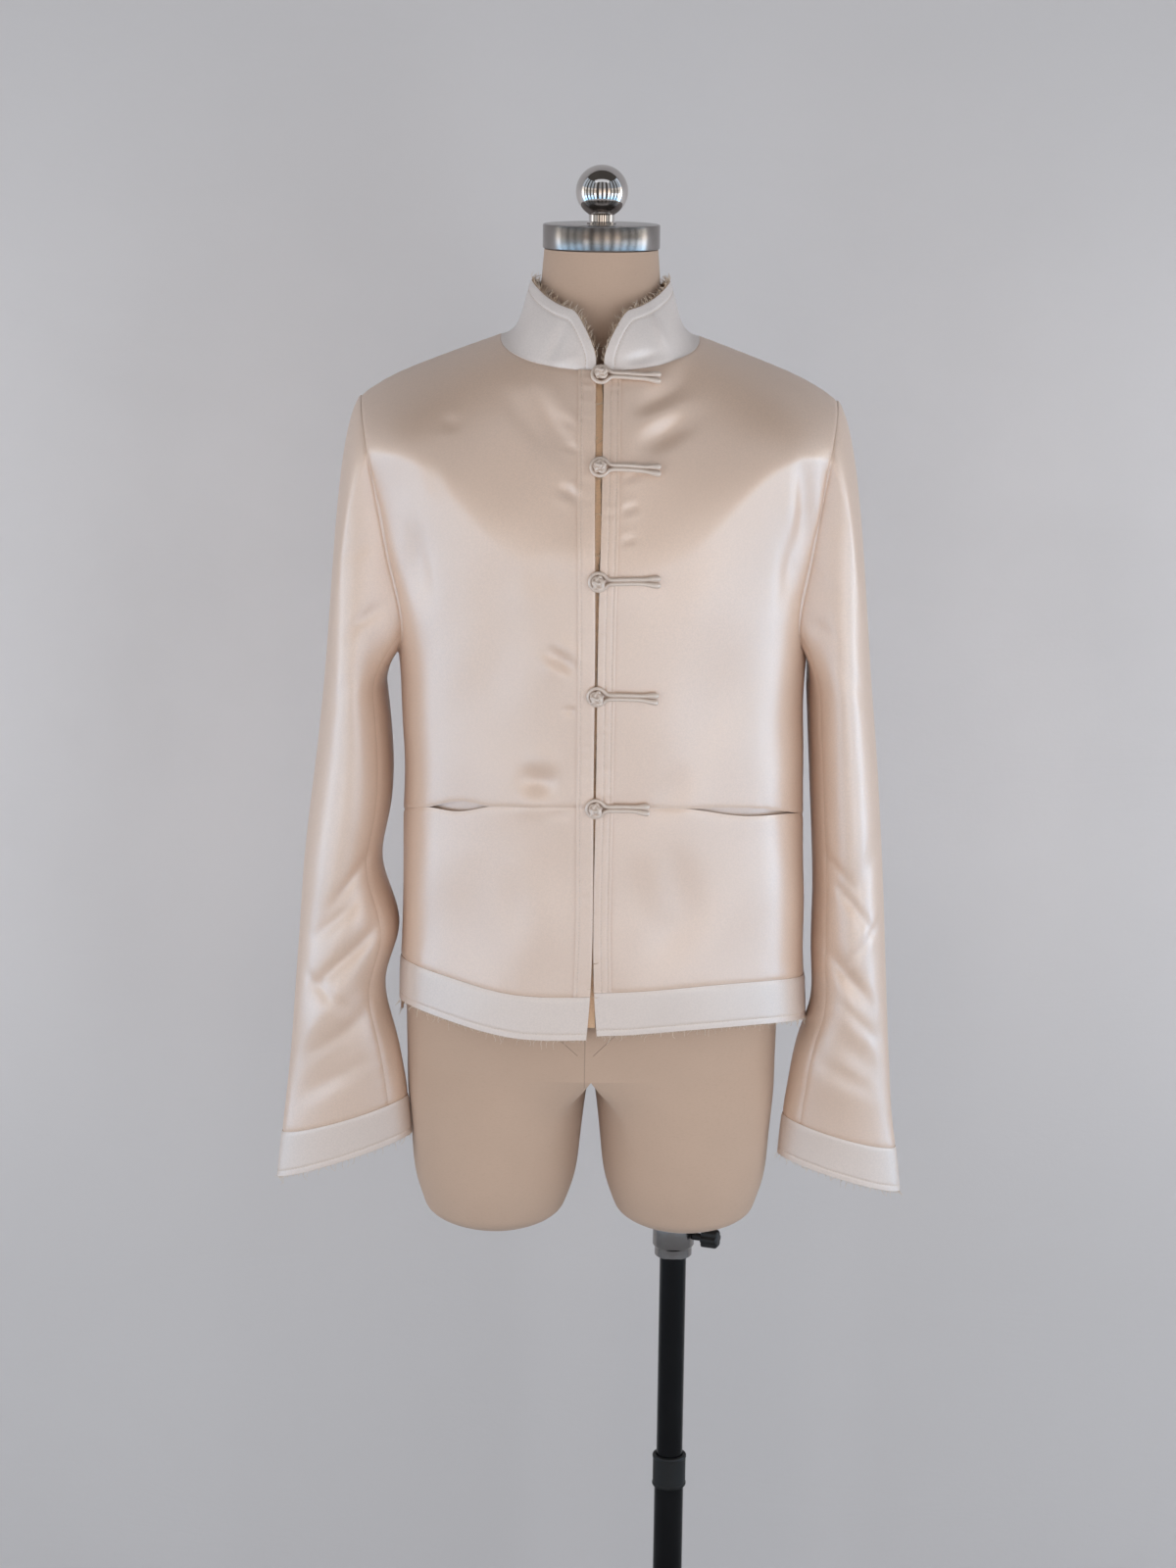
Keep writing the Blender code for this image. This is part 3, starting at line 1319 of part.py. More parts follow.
def main():
    for obj in list(bpy.data.objects):
        bpy.data.objects.remove(obj, do_unlink=True)
    make_fronts()
    make_back()
    make_pocket_facings()
    make_collar()
    make_sleeves()
    make_frogs()
    make_form()
    make_neck_fittings()
    make_pole()
    make_base()
    make_clamp_screw()


main()
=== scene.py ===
"""The finished look of a satin tang jacket on a dress form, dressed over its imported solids.

Metres, +Z up, the wearer faces -Y and the wearer's left is +X, as in the solids. Each cloth piece is a thin
closed shell on its solid's own form, with the folds, creases, seams, stitches and frayed edges added.
"""

import logging
import math
from dataclasses import dataclass, field
from enum import Enum
from typing import Any, Callable, Sequence

import bmesh
import bpy
import numpy as np
from mathutils import Matrix, Vector


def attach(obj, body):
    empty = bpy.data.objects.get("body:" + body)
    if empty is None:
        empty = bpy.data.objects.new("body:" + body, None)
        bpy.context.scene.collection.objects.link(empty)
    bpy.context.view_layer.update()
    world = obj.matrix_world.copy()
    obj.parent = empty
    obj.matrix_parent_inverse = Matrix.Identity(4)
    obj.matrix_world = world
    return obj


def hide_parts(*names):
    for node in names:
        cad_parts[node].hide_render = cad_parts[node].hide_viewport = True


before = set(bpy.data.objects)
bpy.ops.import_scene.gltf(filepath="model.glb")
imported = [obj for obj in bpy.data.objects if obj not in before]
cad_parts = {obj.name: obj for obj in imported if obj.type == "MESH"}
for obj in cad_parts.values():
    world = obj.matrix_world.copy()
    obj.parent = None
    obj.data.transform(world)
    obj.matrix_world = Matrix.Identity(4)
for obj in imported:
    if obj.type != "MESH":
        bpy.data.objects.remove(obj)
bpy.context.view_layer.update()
LOG = logging.getLogger("tang_jacket")
Array = np.ndarray

# ---------------------------------------------------------------- small maths


def smooth(share: Array | float) -> Array:
    """An even S-curve from 0 to 1, flat outside."""
    share = np.clip(share, 0.0, 1.0)
    return share * share * (3 - 2 * share)


def unit(vectors: Array) -> Array:
    """The vectors at length one."""
    return vectors / np.maximum(np.linalg.norm(vectors, axis=-1, keepdims=True), 1e-12)


def spread(*parts: Array | float) -> Array:
    """Coordinates stacked into points, each part as wide as the others."""
    return np.stack(np.broadcast_arrays(*parts), axis=-1)


def travel(points: Array, axis: int = 0) -> Array:
    """The distance walked along a line of points, or along each column or row of a grid of them.

    Args:
        points: The points, with their coordinates last.
        axis: The axis along which the walk goes.

    Returns:
        The distances, the first one 0.
    """
    walked = np.cumsum(np.linalg.norm(np.diff(points, axis=axis), axis=-1), axis=axis)
    return np.concatenate([np.zeros_like(np.take(walked, [0], axis)), walked], axis)


def evened(line: Array, step: float) -> Array:
    """The line with its points about a step apart."""
    run = travel(line)
    even = np.linspace(0, run[-1], int(run[-1] / step))
    return np.stack([np.interp(even, run, values) for values in line.T], 1)


def beside(start: Sequence[float], end: Sequence[float], x: Array, z: Array) -> tuple[Array, Array]:
    """How far places lie along a run, as a share of it, and how far to its side, in metres."""
    run = np.array(end) - start
    length = float(np.linalg.norm(run))
    ahead = ((x - start[0]) * run[0] + (z - start[1]) * run[1]) / length**2
    aside = ((x - start[0]) * -run[1] + (z - start[1]) * run[0]) / length
    return ahead, aside


def ripple(place: Array, wave: float, seed: int) -> Array:
    """An uneven wave between about -1 and 1 along a place in metres.

    Args:
        place: Distances along a seam.
        wave: The usual wavelength.
        seed: Fixes the wave's shape.

    Returns:
        The wave's height at each place.
    """
    random = np.random.default_rng(seed)
    total = np.zeros_like(np.asarray(place, float))
    waves, usual_peak = 5, 2.6
    for length in wave * random.uniform(0.6, 1.9, waves):
        total += np.sin(2 * np.pi * place / length + random.uniform(0, 2 * np.pi))
    return total / usual_peak


class Table:
    """Rows of sizes under named columns, read as smooth curves over the first column."""

    def __init__(self, columns: str, *rows: tuple[float, ...]) -> None:
        """Works out each column's natural cubic curve.

        Args:
            columns: The columns' names, the first one the place along the piece.
            rows: The sizes, in any order.
        """
        data = np.array(sorted(rows), float)
        self.keys = data[:, 0]
        names = columns.split()[1:]
        self.values = dict(zip(names, data[:, 1:].T))
        self.bends = {name: self._bends(values) for name, values in self.values.items()}

    def _bends(self, values: Array) -> Array:
        """The curve's second derivative at each key, none at the two ends."""
        count, step = len(self.keys), np.diff(self.keys)
        system, known = np.eye(count), np.zeros(count)
        for k in range(1, count - 1):
            system[k, k - 1 : k + 2] = step[k - 1], 2 * (step[k - 1] + step[k]), step[k]
            slope_before, slope_after = (values[k : k + 2] - values[k - 1 : k + 1]) / step[k - 1 : k + 1]
            known[k] = 6 * (slope_after - slope_before)
        return np.linalg.solve(system, known)

    def at(self, column: str, place: Array | float) -> Array:
        """A column's value at a place, held at its ends outside the table."""
        keys, values, bends = self.keys, self.values[column], self.bends[column]
        place = np.clip(place, keys[0], keys[-1])
        low = np.clip(np.searchsorted(keys, place, side="right") - 1, 0, len(keys) - 2)
        step = keys[low + 1] - keys[low]
        before = (keys[low + 1] - place) / step
        after = 1 - before
        bend = (before**3 - before) * bends[low] + (after**3 - after) * bends[low + 1]
        return before * values[low] + after * values[low + 1] + bend * step * step / 6


# ---------------------------------------------------------------- the jacket's sizes

CLOTH, BAND_CLOTH, STRIP_CLOTH = 0.0015, 0.0021, 0.0010
GAP = 0.0003
SEAM_GAP = 0.00005
ARMHOLE_GAP = 0.0006
NECK_SIDE_X, NECK_SIDE_Z = 0.0885, 1.410
NECK_FRONT_Z, NECK_BACK_Z = 1.386, 1.400
SHOULDER_TIP_X, SHOULDER_TIP_Z = 0.2135, 1.354
FALL_POWER = 1.42
SEAM_Y = 0.004
UNDERARM_X, UNDERARM_Z = 0.1850, 1.122
RING_POWER = 2.4
WAIST_Z, WAIST_FALL = 1.0075, 0.034
HEM_BACK_Z, HEM_BAND = 0.788, 0.040
STRIP_WIDTH = 0.0155
ARMHOLE_CROWDING, ARMHOLE_SINK = 0.6, 0.06
BELOW_SHARE = 5 / 17  # the share of an upper front's height that lies below the armhole
BACK_BELOW_SHARE = 8 / 20
WAVE_DEPTH = 0.00085  # how deep the small waves of the cloth are
ARMHOLE_EASE = 1.45  # how much the rows beside the armhole crowd towards its top
FRONT_NECK_SHARE, BACK_NECK_SHARE = 5 / 11, 4 / 9  # the neckline's share of the columns

BODY = Table(
    "height half_width front back side_shift",
    (0.760, 0.1895, 0.128, 0.122, 0.0100),
    (0.850, 0.1860, 0.130, 0.120, 0.0095),
    (0.973, 0.1835, 0.133, 0.116, 0.0085),
    (1.060, 0.1825, 0.138, 0.117, 0.0070),
    (1.122, 0.1850, 0.142, 0.121, 0.0050),
    (1.165, 0.1895, 0.144, 0.125, 0.0035),
    (1.220, 0.2030, 0.145, 0.130, 0.0020),
    (1.290, 0.2205, 0.145, 0.132, 0.0010),
    (1.350, 0.2400, 0.146, 0.130, 0.0000),
    (1.430, 0.2450, 0.150, 0.128, 0.0000),
)
SHOULDER = Table(
    "x height fall squareness",
    (-NECK_SIDE_X, NECK_SIDE_Z, 0.170, 2.05),
    (0.0, 1.430, 0.215, 2.34),
    (NECK_SIDE_X, NECK_SIDE_Z, 0.170, 2.05),
    (0.152, 1.3865, 0.085, 1.62),
    (SHOULDER_TIP_X, SHOULDER_TIP_Z, 0.050, 1.42),
    (0.245, 1.325, 0.045, 1.42),
)
ARMHOLE = Table(
    "height front_x back_x",
    (SHOULDER_TIP_Z, SHOULDER_TIP_X, SHOULDER_TIP_X),
    (1.325, 0.2065, 0.2090),
    (1.290, 0.1995, 0.2045),
    (1.245, 0.1920, 0.1990),
    (1.205, 0.1850, 0.1930),
    (1.165, 0.1775, 0.1845),
    (1.140, 0.1785, 0.1815),
    (UNDERARM_Z, UNDERARM_X, UNDERARM_X),
)
HEM = Table(
    "across left right",
    (0.00, 0.7965, 0.7925),
    (0.20, 0.8000, 0.7925),
    (0.40, 0.8010, 0.7995),
    (0.65, 0.7960, 0.8040),
    (0.85, 0.7890, 0.8020),
    (1.00, 0.7830, 0.7970),
)
FRONT_EDGE = Table(
    "height half_gap",
    (0.780, 0.0062),
    (0.815, 0.0030),
    (0.850, 0.0012),
    (1.000, 0.0010),
    (1.110, 0.0012),
    (1.200, 0.0018),
    (1.260, 0.0028),
    (1.340, 0.0032),
    (1.390, 0.0036),
)


@dataclass(frozen=True)
class PocketMouth:
    """A pocket's opening in the waist seam, between two distances from the centre line."""

    side: int
    start: float
    end: float
    rise: float
    sag: float


POCKETS = (
    PocketMouth(-1, 0.094, 0.156, 0.0045, 0.0045),
    PocketMouth(1, 0.080, 0.181, 0.0015, 0.0055),
)
POCKET_SET_BACK, POCKET_FACING_HEIGHT = 0.0045, 0.034


@dataclass(frozen=True)
class BodyFold:
    """A soft fold of the body's cloth: its middle, half its length and width, its depth and its lean."""

    face: int
    side: int
    x: float
    height: float
    half_length: float
    half_width: float
    depth: float
    lean: float


BODY_FOLDS = tuple(BodyFold(*row) for row in (
    (-1, -1, 0.052, 1.338, 0.038, 0.016, 0.0045, 0.75),
    (-1, 1, 0.058, 1.330, 0.036, 0.018, 0.0040, 0.80),
    (-1, 1, 0.172, 1.222, 0.060, 0.011, 0.0050, 0.10),
    (-1, -1, 0.160, 1.215, 0.055, 0.013, 0.0040, 0.12),
    (-1, -1, 0.092, 1.130, 0.120, 0.026, 0.0040, -0.10),
    (-1, 1, 0.100, 1.095, 0.110, 0.026, 0.0040, 0.16),
    (-1, 1, 0.078, 0.915, 0.080, 0.024, 0.0050, 0.30),
    (-1, -1, 0.110, 0.900, 0.070, 0.026, 0.0040, -0.15),
    (1, 1, 0.080, 1.020, 0.190, 0.026, 0.0060, 0.10),
    (1, -1, 0.066, 0.990, 0.180, 0.024, 0.0055, 0.06),
    (1, 1, 0.135, 1.170, 0.090, 0.020, 0.0050, 0.35),
    (1, -1, 0.140, 1.155, 0.095, 0.022, 0.0050, 0.30),
))


@dataclass(frozen=True)
class Crease:
    """A crease between two points of a face, as (x, height), with its half width, depth and ridge's share.

    x is positive on the wearer's left, and a negative depth makes a ridge.
    """

    face: int
    start: tuple[float, float]
    end: tuple[float, float]
    width: float
    depth: float
    ridge: float = 0.35


CREASES = tuple(Crease(*row) for row in (
    # pulls from the front edges towards the chest
    (-1, (-0.065, 1.379), (-0.018, 1.312), 0.0070, 0.0030),
    (-1, (-0.142, 1.345), (-0.118, 1.337), 0.0050, 0.0010),
    (-1, (-0.153, 1.313), (-0.132, 1.274), 0.0060, 0.0014),
    (-1, (-0.037, 1.353), (-0.017, 1.334), 0.0034, 0.0013),
    (-1, (-0.033, 1.328), (-0.016, 1.318), 0.0030, 0.0011),
    (-1, (-0.036, 1.294), (-0.016, 1.277), 0.0042, 0.0027),
    (-1, (-0.047, 1.155), (-0.016, 1.126), 0.0060, 0.0043),
    (-1, (-0.030, 1.099), (-0.016, 1.092), 0.0034, 0.0018),
    (-1, (-0.074, 1.036), (-0.028, 1.024), 0.0110, 0.0050),
    (-1, (-0.046, 0.997), (-0.018, 1.003), 0.0040, 0.0010),
    (-1, (0.084, 1.380), (0.020, 1.350), 0.0078, 0.0030),
    (-1, (0.084, 1.353), (0.024, 1.318), 0.0082, 0.0032),
    (-1, (0.048, 1.389), (0.086, 1.401), 0.0095, -0.0016),
    (-1, (0.041, 1.303), (0.018, 1.296), 0.0032, 0.0014),
    (-1, (0.037, 1.277), (0.018, 1.268), 0.0032, 0.0014),
    (-1, (0.035, 1.249), (0.018, 1.243), 0.0030, 0.0011),
    (-1, (0.176, 1.330), (0.186, 1.205), 0.0075, 0.0034),
    (-1, (0.084, 1.054), (0.048, 0.984), 0.0125, 0.0021),
    (-1, (0.074, 0.985), (0.070, 0.900), 0.0120, 0.0017),
    (-1, (0.044, 0.975), (0.036, 0.885), 0.0140, 0.0015),
    (-1, (-0.078, 0.960), (-0.068, 0.868), 0.0150, 0.0018),
    (-1, (-0.060, 1.232), (-0.026, 1.196), 0.0150, 0.0022),
    # the back: drags from the shoulder blades and soft vertical folds
    (1, (-0.158, 1.306), (-0.084, 1.220), 0.0100, 0.0036),
    (1, (-0.166, 1.262), (-0.116, 1.196), 0.0070, 0.0022),
    (1, (0.160, 1.308), (0.096, 1.212), 0.0100, 0.0034),
    (1, (0.170, 1.256), (0.128, 1.186), 0.0065, 0.0020),
    (1, (-0.066, 1.390), (0.012, 1.372), 0.0085, 0.0030),
    (1, (0.074, 1.388), (0.004, 1.364), 0.0075, 0.0027),
    (1, (-0.168, 1.134), (-0.066, 1.056), 0.0110, 0.0035),
    (1, (-0.140, 1.066), (-0.080, 1.030), 0.0070, 0.0020),
    (1, (0.172, 1.124), (0.080, 1.036), 0.0120, 0.0037),
    (1, (0.150, 1.052), (0.102, 1.010), 0.0070, 0.0020),
    (1, (-0.122, 0.934), (-0.100, 0.838), 0.0135, 0.0033),
    (1, (-0.050, 0.968), (-0.058, 0.850), 0.0120, 0.0024),
    (1, (0.028, 0.964), (0.040, 0.843), 0.0125, 0.0030),
    (1, (0.142, 0.954), (0.124, 0.848), 0.0120, 0.0033),
))


# ---------------------------------------------------------------- the body as a function of a place on it


class BodyShape:
    """The outer face of the jacket's body at a share across and a height.

    A face is -1 for the front and 1 for the back; a side is 1 for the wearer's left.
    """

    @staticmethod
    def shoulder_line(x: Array) -> Array:
        """Height of the shoulder seam, carried on to the centre line and past the tip."""
        return SHOULDER.at("height", np.abs(x))

    @staticmethod
    def section_x(across: Array, height: Array) -> Array:
        """Distance from the centre line, before the body's side shift."""
        half = BODY.at("half_width", height)
        return half * np.maximum(np.sin(across * np.pi / 2), 0) ** (2 / RING_POWER)

    @staticmethod
    def across_of(x: Array, height: Array) -> Array:
        """The share across of a distance from the centre line."""
        ratio = np.minimum(np.abs(x) / BODY.at("half_width", height), 1.0)
        return np.arcsin(ratio ** (RING_POWER / 2)) * 2 / np.pi

    @classmethod
    def drop(cls, across: Array, height: Array) -> Array:
        """How far below the shoulder seam a place lies, as a share of the cloth's fall."""
        x = cls.section_x(across, height)
        return np.clip((cls.shoulder_line(x) - height) / SHOULDER.at("fall", x), 0.0, 1.0)

    @classmethod
    def point(cls, face: int, side: int, across: Array, height: Array) -> Array:
        """Points of the plain outer face.

        Args:
            face: The front or the back.
            side: The wearer's left or right.
            across: Shares from the centre line to where the section closes.
            height: Heights over the floor.

        Returns:
            The points, one for each place.
        """
        x = cls.section_x(across, height)
        reach = BODY.at("front" if face < 0 else "back", height)
        rise = 1 - (1 - cls.drop(across, height)) ** FALL_POWER
        rise = np.maximum(rise, 0) ** (1 / SHOULDER.at("squareness", x))
        depth = reach * np.maximum(np.cos(across * np.pi / 2), 0) ** (2 / RING_POWER) * rise
        shift = BODY.at("side_shift", height) * (x / BODY.at("half_width", height)) ** 2
        return spread(side * x + shift, SEAM_Y + face * depth, height)

    @classmethod
    def normal(cls, face: int, side: int, across: Array, height: Array) -> Array:
        """The outward directions, shared by front and back on the shoulder seam."""
        step, down = 1e-3, 2e-4
        low, high = np.clip(across - step, 1e-4, None), np.clip(across + step, None, 1 - 1e-4)
        along = cls.point(face, side, high, height) - cls.point(face, side, low, height)
        up = cls.point(face, side, across, height) - cls.point(face, side, across, height - down)
        plain = unit(np.cross(along, up) * -face * side)
        x = cls.section_x(across, height)
        slope = (cls.shoulder_line(x + step) - cls.shoulder_line(x - step)) / (2 * step)
        seam = unit(spread(-slope * side, 0.0 * slope, 1.0))
        near = (1 - smooth(cls.drop(across, height) / 0.02)) * (x > NECK_SIDE_X - step)
        return unit(plain * (1 - near[..., None]) + seam * near[..., None])

    @staticmethod
    def creases_at(face: int, x: Array, height: Array) -> Array:
        """How far the face's creases push the cloth in at signed distances from the centre line."""
        total = np.zeros_like(x)
        for crease in CREASES:
            if crease.face != face:
                continue
            ahead, aside = beside(crease.start, crease.end, x, height)
            aside = aside / crease.width
            reach = np.cos(np.clip((ahead - 0.5) * 1.15, -0.5, 0.5) * np.pi) ** 1.5
            trough = np.exp(-(aside**2)) - crease.ridge * np.exp(-((np.abs(aside) - 1.9) ** 2))
            total += crease.depth * trough * reach
        return total

    @classmethod
    def relief(cls, face: int, side: int, across: Array, height: Array) -> Array:
        """How far the folds, creases and soft waves push the face in."""
        x = cls.section_x(across, height)
        total = cls.creases_at(face, side * x, height)
        for fold in BODY_FOLDS:
            if (fold.face, fold.side) == (face, side):
                up = np.clip((height - fold.height) / fold.half_length, -1, 1)
                away = (x - fold.x - fold.lean * (height - fold.height)) / fold.half_width
                total += fold.depth * np.exp(-away * away) * np.cos(up * np.pi / 2) ** 2
        s = side * x
        calm = smooth(cls.drop(across, height) * 4)
        wave = np.sin(s * 41 + height * 23 + face) * np.sin(height * 31 - s * 17 + 2 * face)
        wave += 0.5 * np.sin(s * 83 - height * 29) * np.sin(height * 47 + 1.3)
        return total + wave * WAVE_DEPTH * calm


# ---------------------------------------------------------------- edges and grids of places

Place = tuple[Array, Array]
Edge = Callable[[Array], Place]


def armhole_place(face: int, share: Array) -> Place:
    """The armhole's edge at a share of its length from the shoulder tip (0) to the underarm (1)."""
    share = np.asarray(share, float)
    fall = share - ARMHOLE_CROWDING * np.sin(2 * np.pi * share) / (2 * np.pi)
    fall = fall + ARMHOLE_SINK * np.sin(np.pi * share)
    height = SHOULDER_TIP_Z + (UNDERARM_Z - SHOULDER_TIP_Z) * fall
    x = ARMHOLE.at("front_x" if face < 0 else "back_x", height)
    return BodyShape.across_of(x, height), height


def neck_place(face: int, share: Array) -> Place:
    """The neckline at a share from the centre line (0) to the shoulder seam (1)."""
    turn = np.asarray(share, float) * np.pi / 2
    middle = NECK_FRONT_Z if face < 0 else NECK_BACK_Z
    height = NECK_SIDE_Z + (middle - NECK_SIDE_Z) * np.cos(turn)
    return BodyShape.across_of(NECK_SIDE_X * np.sin(turn), height), height


def neck_share(x: float) -> float:
    """The neckline's share at a distance from the centre line."""
    return math.asin(min(x / NECK_SIDE_X, 1.0)) * 2 / math.pi


def shoulder_place(share: Array) -> Place:
    """The shoulder seam at a share from the neck (0) to the tip (1)."""
    x = NECK_SIDE_X + (SHOULDER_TIP_X - NECK_SIDE_X) * np.asarray(share, float)
    height = BodyShape.shoulder_line(x)
    return BodyShape.across_of(x, height), height


def edge_place(height: Array, away: Array | float = 0.0) -> Place:
    """A place at a distance from a front edge."""
    return BodyShape.across_of(FRONT_EDGE.at("half_gap", height) + away, height), height


def waist_height(across: Array) -> Array:
    """Height of the seam between the upper and the lower front."""
    return WAIST_Z - WAIST_FALL * np.asarray(across, float) ** 2


def hem_height(face: int, side: int, across: Array, band: float = 0.0) -> Array:
    """Height of the raw hem, or of the top of its band."""
    column = "left" if side > 0 else "right"
    if face < 0:
        return HEM.at(column, across) + band
    end = HEM.values[column][-1]
    return HEM_BACK_Z + (end - HEM_BACK_Z) * smooth(across) + band


def pocket_part(side: int, x: Array, lip: str) -> Array:
    """How far a lip of the pocket mouth leaves the waist seam: lip is rise or sag."""
    mouth = next(m for m in POCKETS if m.side == side)
    share = np.clip((x - mouth.start) / (mouth.end - mouth.start), 0, 1)
    return getattr(mouth, lip) * np.sin(np.pi * share) ** 1.5


def top_edge(face: int, neck_part: float, start: float) -> Edge:
    """The neckline from a share of it, then the shoulder seam, over a share of the columns."""

    def place(u: Array) -> Place:
        """The edge's places at shares along it."""
        u = np.asarray(u, float)
        neck = neck_place(face, start + (1 - start) * np.minimum(u / neck_part, 1))
        shoulder = shoulder_place(np.clip((u - neck_part) / max(1 - neck_part, 1e-9), 0, 1))
        on_neck = u <= neck_part
        return np.where(on_neck, neck[0], shoulder[0]), np.where(on_neck, neck[1], shoulder[1])

    return place


def outer_edge(face: int, bottom_z: float, turn: float) -> Edge:
    """The side seam, then the armhole, which starts at a share of the way up."""

    def place(v: Array) -> Place:
        """The edge's places at shares along it."""
        v = np.asarray(v, float)
        low = bottom_z + (UNDERARM_Z - bottom_z) * np.minimum(v / turn, 1)
        hole = armhole_place(face, np.clip(1 - (v - turn) / (1 - turn), 0, 1))
        below = v <= turn
        return np.where(below, 1.0, hole[0]), np.where(below, low, hole[1])

    return place


def coons(left: Edge, right: Edge, bottom: Edge, top: Edge, u: Array, v: Array) -> Place:
    """The patch between four edges.

    Args:
        left: The edge at share 0 across, from the bottom up.
        right: The edge at share 1 across.
        bottom: The edge at share 0 up.
        top: The edge at share 1 up.
        u: The columns' shares.
        v: The rows' shares.

    Returns:
        The places, a row of them for each share up.
    """
    made = []
    u_row, v_column = u[None, :], v[:, None]
    for k in (0, 1):
        sides = (1 - u_row) * left(v)[k][:, None] + u_row * right(v)[k][:, None]
        ends = (1 - v_column) * bottom(u)[k][None, :] + v_column * top(u)[k][None, :]
        low = (1 - u_row) * bottom(np.zeros(1))[k] + u_row * bottom(np.ones(1))[k]
        high = (1 - u_row) * top(np.zeros(1))[k] + u_row * top(np.ones(1))[k]
        made.append(sides + ends - (1 - v_column) * low - v_column * high)
    return made[0], made[1]


def shares(length: float, step: float, *stops: float, lines: Sequence[float] = ()) -> Array:
    """Shares along a piece, a step apart but crowded at both ends and at its stitch lines.

    Args:
        length: The piece's length.
        step: The usual distance between two shares.
        stops: Shares where two of its seams meet, each of which gets a share of its own.
        lines: The distances of its stitch lines from its start.

    Returns:
        The shares, from 0 to 1.
    """
    marks = (0.0, *stops, 1.0)
    made = [0.0]
    near = np.array([0.0005, 0.0011, 0.0019, 0.0031]) / length
    for low, high in zip(marks, marks[1:]):
        lead = near if low == 0.0 else near[:0]
        tail = near[::-1] if high == 1.0 else near[:0]
        first, last = low + (lead[-1] if len(lead) else 0), high - (tail[0] if len(tail) else 0)
        count = max(int(round((last - first) * length / step)), 2)
        body = np.linspace(first, last, count + 1)
        made += [*(low + lead[:-1]), *body, *(high - tail[1:]), high]
    for line in lines:
        made = [share for share in made if abs(share * length - line) > 0.0021 or share in marks]
        made += [(line + away) / length for away in (-0.0016, -0.0008, 0.0, 0.0008, 0.0016)]
    return np.unique(np.round(made, 9))


# ---------------------------------------------------------------- grids of cloth


@dataclass
class Run:
    """Points along a line on the cloth, with their outward directions."""

    points: Array
    normals: Array

    def evened(self, step: float, start: float = 0.0, end: float = 0.0) -> "Run":
        """The line with its points a step apart, shortened at either end."""
        reach = travel(self.points)
        count = max(int((reach[-1] - start - end) / step), 2)
        places = np.linspace(start, reach[-1] - end, count)
        made = [np.stack([np.interp(places, reach, values[:, k]) for k in range(3)], 1)
                for values in (self.points, self.normals)]
        return Run(made[0], unit(made[1]))

    def lifted(self, distance: float) -> "Run":
        """The line moved out from the cloth."""
        return Run(self.points + self.normals * distance, self.normals)

    def ahead(self) -> Array:
        """The line's direction at each point."""
        return unit(np.gradient(self.points, axis=0))


